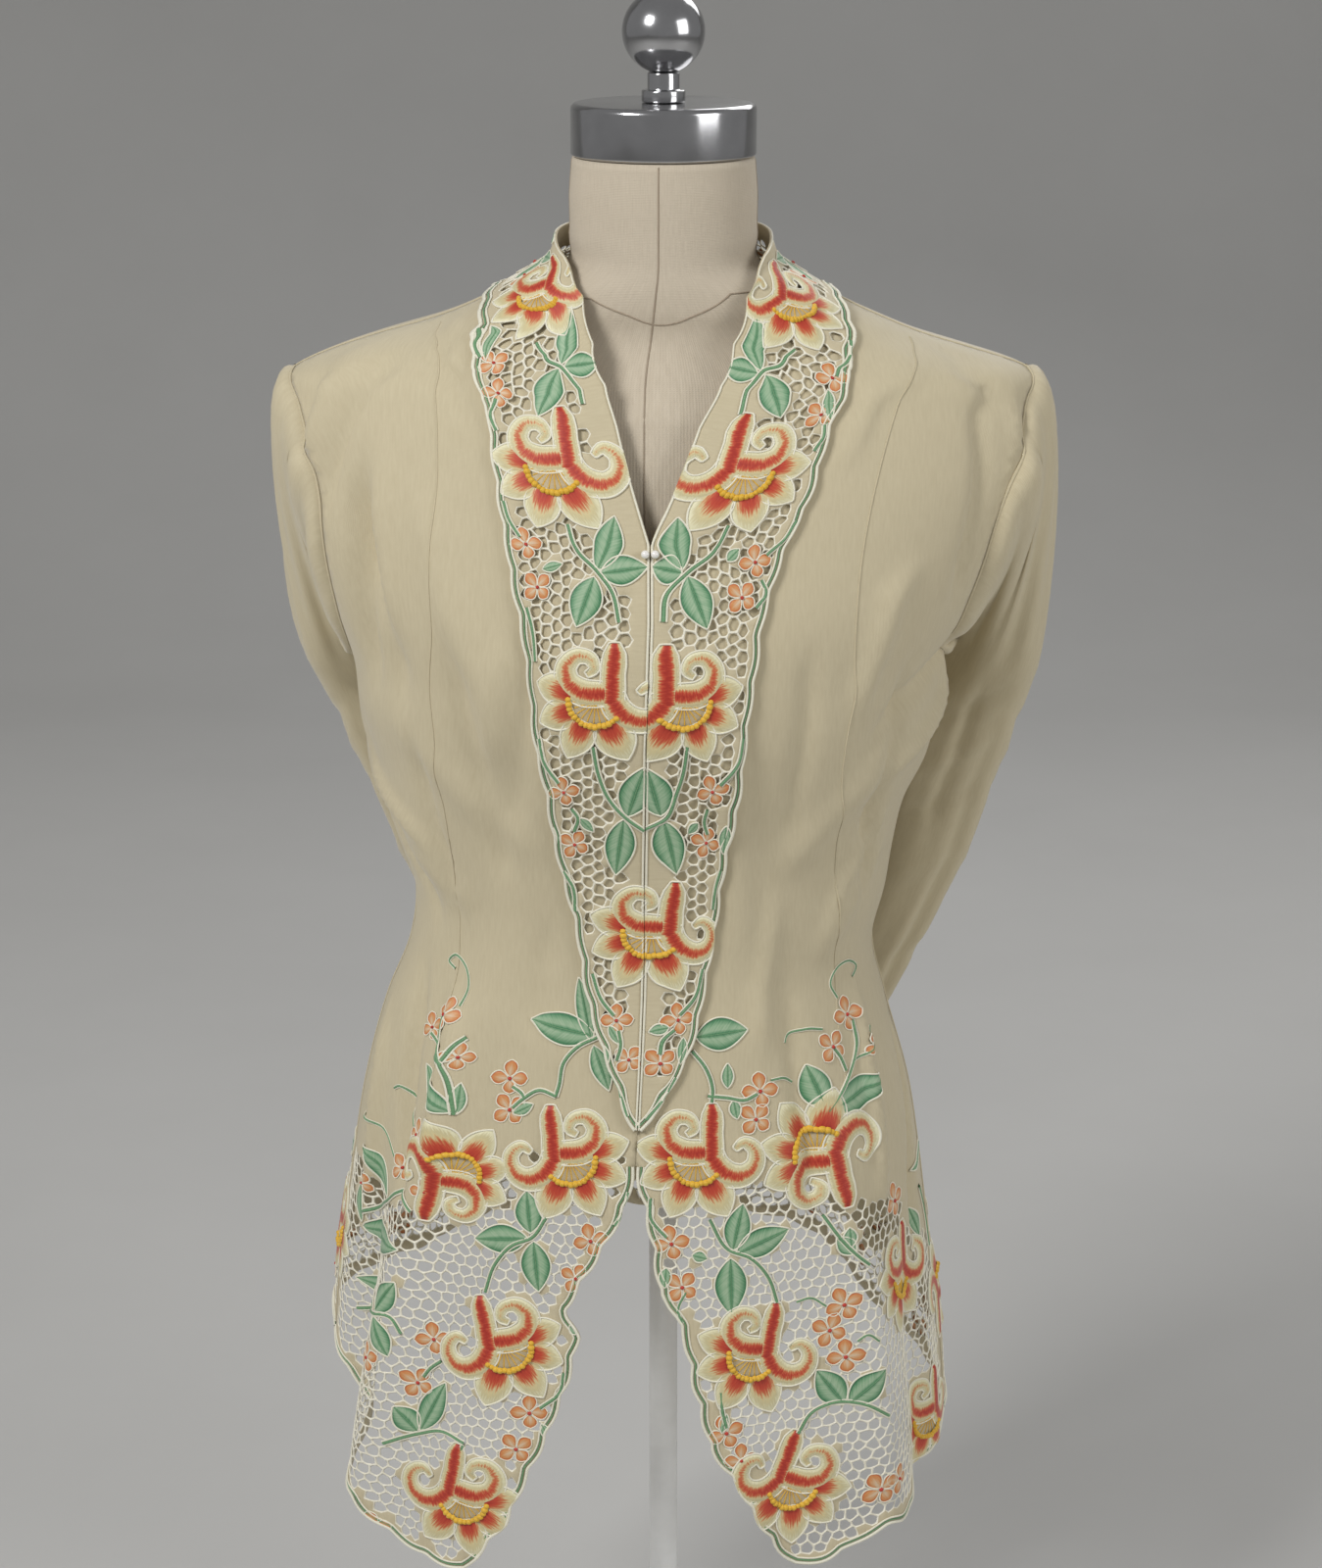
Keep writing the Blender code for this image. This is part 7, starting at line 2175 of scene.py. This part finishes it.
class BuildCap(bpy.types.Operator):
    """Builds the polished neck cap and its finial"""

    bl_idname = "kebaya.cap"
    bl_label = "Cap and finial"

    def execute(self, context):
        chrome = made(context, "finishes").chrome
        foot = CAP_TOP - CAP_TALL
        cap = [(NEAR_AXIS, CAP_TOP), (CAP_RADIUS - CAP_EDGE, CAP_TOP), (CAP_RADIUS, CAP_TOP - CAP_EDGE),
               (CAP_RADIUS, foot + 0.0010), (CAP_RADIUS - 0.0012, foot), (NEAR_AXIS, foot)]
        turn_up("polished_cap", rounded(cap, CAP_ROUND), CAP_AROUND, chrome, "neck_cap")
        collar_foot = CAP_TOP + SEAM_GAP
        stem_foot = collar_foot + COLLAR_TALL
        stem_top = stem_foot + STEM_TALL
        collar = [(NEAR_AXIS, stem_top), (STEM_RADIUS, stem_top), (STEM_RADIUS, stem_foot),
                  (COLLAR_RADIUS, stem_foot), (COLLAR_RADIUS, collar_foot), (NEAR_AXIS, collar_foot)]
        turn_up("polished_collar", rounded(collar, COLLAR_ROUND), FINIAL_AROUND, chrome,
                "finial_collar")
        middle = stem_top + SEAM_GAP + math.sqrt(BALL_RADIUS ** 2 - BALL_SEAT ** 2)
        angles = np.linspace(0.03, math.pi - math.asin(BALL_SEAT / BALL_RADIUS), 48)
        ball = np.column_stack([BALL_RADIUS * np.sin(angles), middle + BALL_RADIUS * np.cos(angles)])
        turn_up("polished_ball", ball, FINIAL_AROUND, chrome, "finial_ball")
        return {"FINISHED"}


class BuildStand(bpy.types.Operator):
    """Builds the pole and the round base under the form"""

    bl_idname = "kebaya.stand"
    bl_label = "Pole and base"

    def execute(self, context):
        lacquer = made(context, "finishes").lacquer
        plate = CAP_TOP - FORM_RINGS[-1].drop - SEAM_GAP
        plate_foot = plate - POLE_PLATE_TALL
        boss_top = BASE_TALL + BOSS_TALL
        pole = [(NEAR_AXIS, plate), (POLE_PLATE_RADIUS, plate), (POLE_PLATE_RADIUS, plate_foot),
                (POLE_RADIUS + 0.0040, plate_foot - 0.0040), (POLE_RADIUS, plate_foot - 0.0160),
                (POLE_RADIUS, boss_top + SEAM_GAP), (NEAR_AXIS, boss_top + SEAM_GAP)]
        turn_up("lacquered_pole", rounded(pole, POLE_ROUND), POLE_AROUND, lacquer,
                "stand_pole")
        base = [(NEAR_AXIS, boss_top), (BOSS_RADIUS - 0.0010, boss_top),
                (BOSS_RADIUS, boss_top - 0.0015), (BOSS_RADIUS, BASE_TALL + 0.0030),
                (BOSS_RADIUS + 0.0040, BASE_TALL), (BASE_RADIUS - 0.0060, BASE_TALL - 0.0030),
                (BASE_RADIUS, BASE_TALL - 0.0070),
                (BASE_RADIUS, 0.0), (NEAR_AXIS, 0.0)]
        turn_up("lacquered_base", rounded(base, BASE_ROUND), BASE_AROUND, lacquer,
                "stand_base")
        return {"FINISHED"}


WORLD_STRENGTH = 0.26
SWEEP_RADIUS = 1.6
SWEEP_START = 0.45         # where behind the part the floor starts to rise, in half floors
SWEEP_TALL = 6.0
FLOOR_UNDER = 0.0002       # how far the floor lies under the base
AIM_HEIGHT = 0.65
CAMERA_SEES = 50.0
# Each softbox's place, its size and its share of the main one's power
SOFTBOXES = [
    ("key_softbox", (-1.7, -1.7, 2.5), (0.8, 0.8), 1.0),
    ("fill_softbox", (2.3, -1.5, 1.7), (1.4, 1.6), 0.50),
    ("back_softbox", (0.9, 2.2, 2.4), (2.0, 1.4), 0.40),
]


class SetStage(bpy.types.Operator):
    """Sets the pale floor, the soft lights and the camera"""

    bl_idname = "kebaya.stage"
    bl_label = "Studio"

    def execute(self, context):
        settings, finishes = given(context)
        self.lay_floor(settings, finishes)
        self.hang_lights(settings)
        self.place_camera(context)
        world = bpy.data.worlds.new("studio")
        context.scene.world = world
        world.use_nodes = True
        glow = world.node_tree.nodes["Background"]
        glow.inputs["Color"].default_value = (1.0, 1.0, 1.0, 1.0)
        glow.inputs["Strength"].default_value = WORLD_STRENGTH
        context.scene.view_settings.view_transform = "Standard"
        return {"FINISHED"}

    def lay_floor(self, settings, finishes):
        """A pale sweep: the floor, rising far behind the part."""
        half = settings.floor_size / 2
        start = half * SWEEP_START
        profile = [(-half, 0.0), (start, 0.0)]
        profile += [(start + SWEEP_RADIUS * math.sin(a), SWEEP_RADIUS * (1 - math.cos(a)))
                    for a in np.linspace(0.1, math.pi / 2, 14)]
        profile.append((start + SWEEP_RADIUS, SWEEP_TALL))
        places = np.array([[(x, y, z - FLOOR_UNDER) for x in np.linspace(-half, half, 9)]
                           for y, z in profile])
        grid_mesh("studio_floor", places, places * 1000, [finishes.floor], False)

    def hang_lights(self, settings):
        for name, place, size, share in SOFTBOXES:
            light = bpy.data.lights.new(name, "AREA")
            light.shape = "RECTANGLE"
            light.size, light.size_y = size
            light.energy = settings.light_power * share
            thing = bpy.data.objects.new(name, light)
            bpy.context.collection.objects.link(thing)
            thing.location = place
            aim = Vector((0.0, 0.0, AIM_HEIGHT)) - Vector(place)
            thing.rotation_euler = aim.to_track_quat("-Z", "Y").to_euler()

    def place_camera(self, context):
        camera = bpy.data.objects.new("camera", bpy.data.cameras.new("camera"))
        bpy.context.collection.objects.link(camera)
        camera.data.sensor_width = SENSOR
        camera.data.lens = SENSOR * FOCAL / PHOTO_TALL
        offset = (PHOTO_WIDE / 2 - PHOTO_AXIS) / FOCAL * CAMERA_BACK
        camera.location = (offset, -CAMERA_BACK, CAP_TOP + CAMERA_ABOVE_CAP)
        camera.rotation_euler = (math.pi / 2 - CAMERA_PITCH, 0.0, 0.0)
        camera.data.clip_end = CAMERA_SEES
        context.scene.camera = camera


class KebayaPanel(bpy.types.Panel):
    """Lists the steps that build the blouse"""

    bl_idname = "VIEW3D_PT_kebaya"
    bl_label = "Kebaya blouse"
    bl_space_type = "VIEW_3D"
    bl_region_type = "UI"
    bl_category = "Kebaya"

    def draw(self, context):
        for step in STEPS:
            self.layout.operator(step.bl_idname)
        for name in KebayaSettings.__annotations__:
            self.layout.prop(context.scene.kebaya_blouse, name)


STEPS = (BuildForm, BuildCap, BuildStand, BuildFronts, BuildBack, BuildSleeves, BuildLapels, StitchHem,
         StitchLapels, SewPearls, SetStage)


def register():
    for kind in (KebayaSettings, *STEPS, KebayaPanel):
        bpy.utils.register_class(kind)
    bpy.types.Scene.kebaya_blouse = bpy.props.PointerProperty(type=KebayaSettings)


def unregister():
    del bpy.types.Scene.kebaya_blouse
    for kind in (KebayaPanel, *reversed(STEPS), KebayaSettings):
        bpy.utils.unregister_class(kind)


def main():
    register()
    for step in STEPS:
        getattr(bpy.ops.kebaya, step.bl_idname.split(".")[1])()


if __name__ == "__main__":
    main()
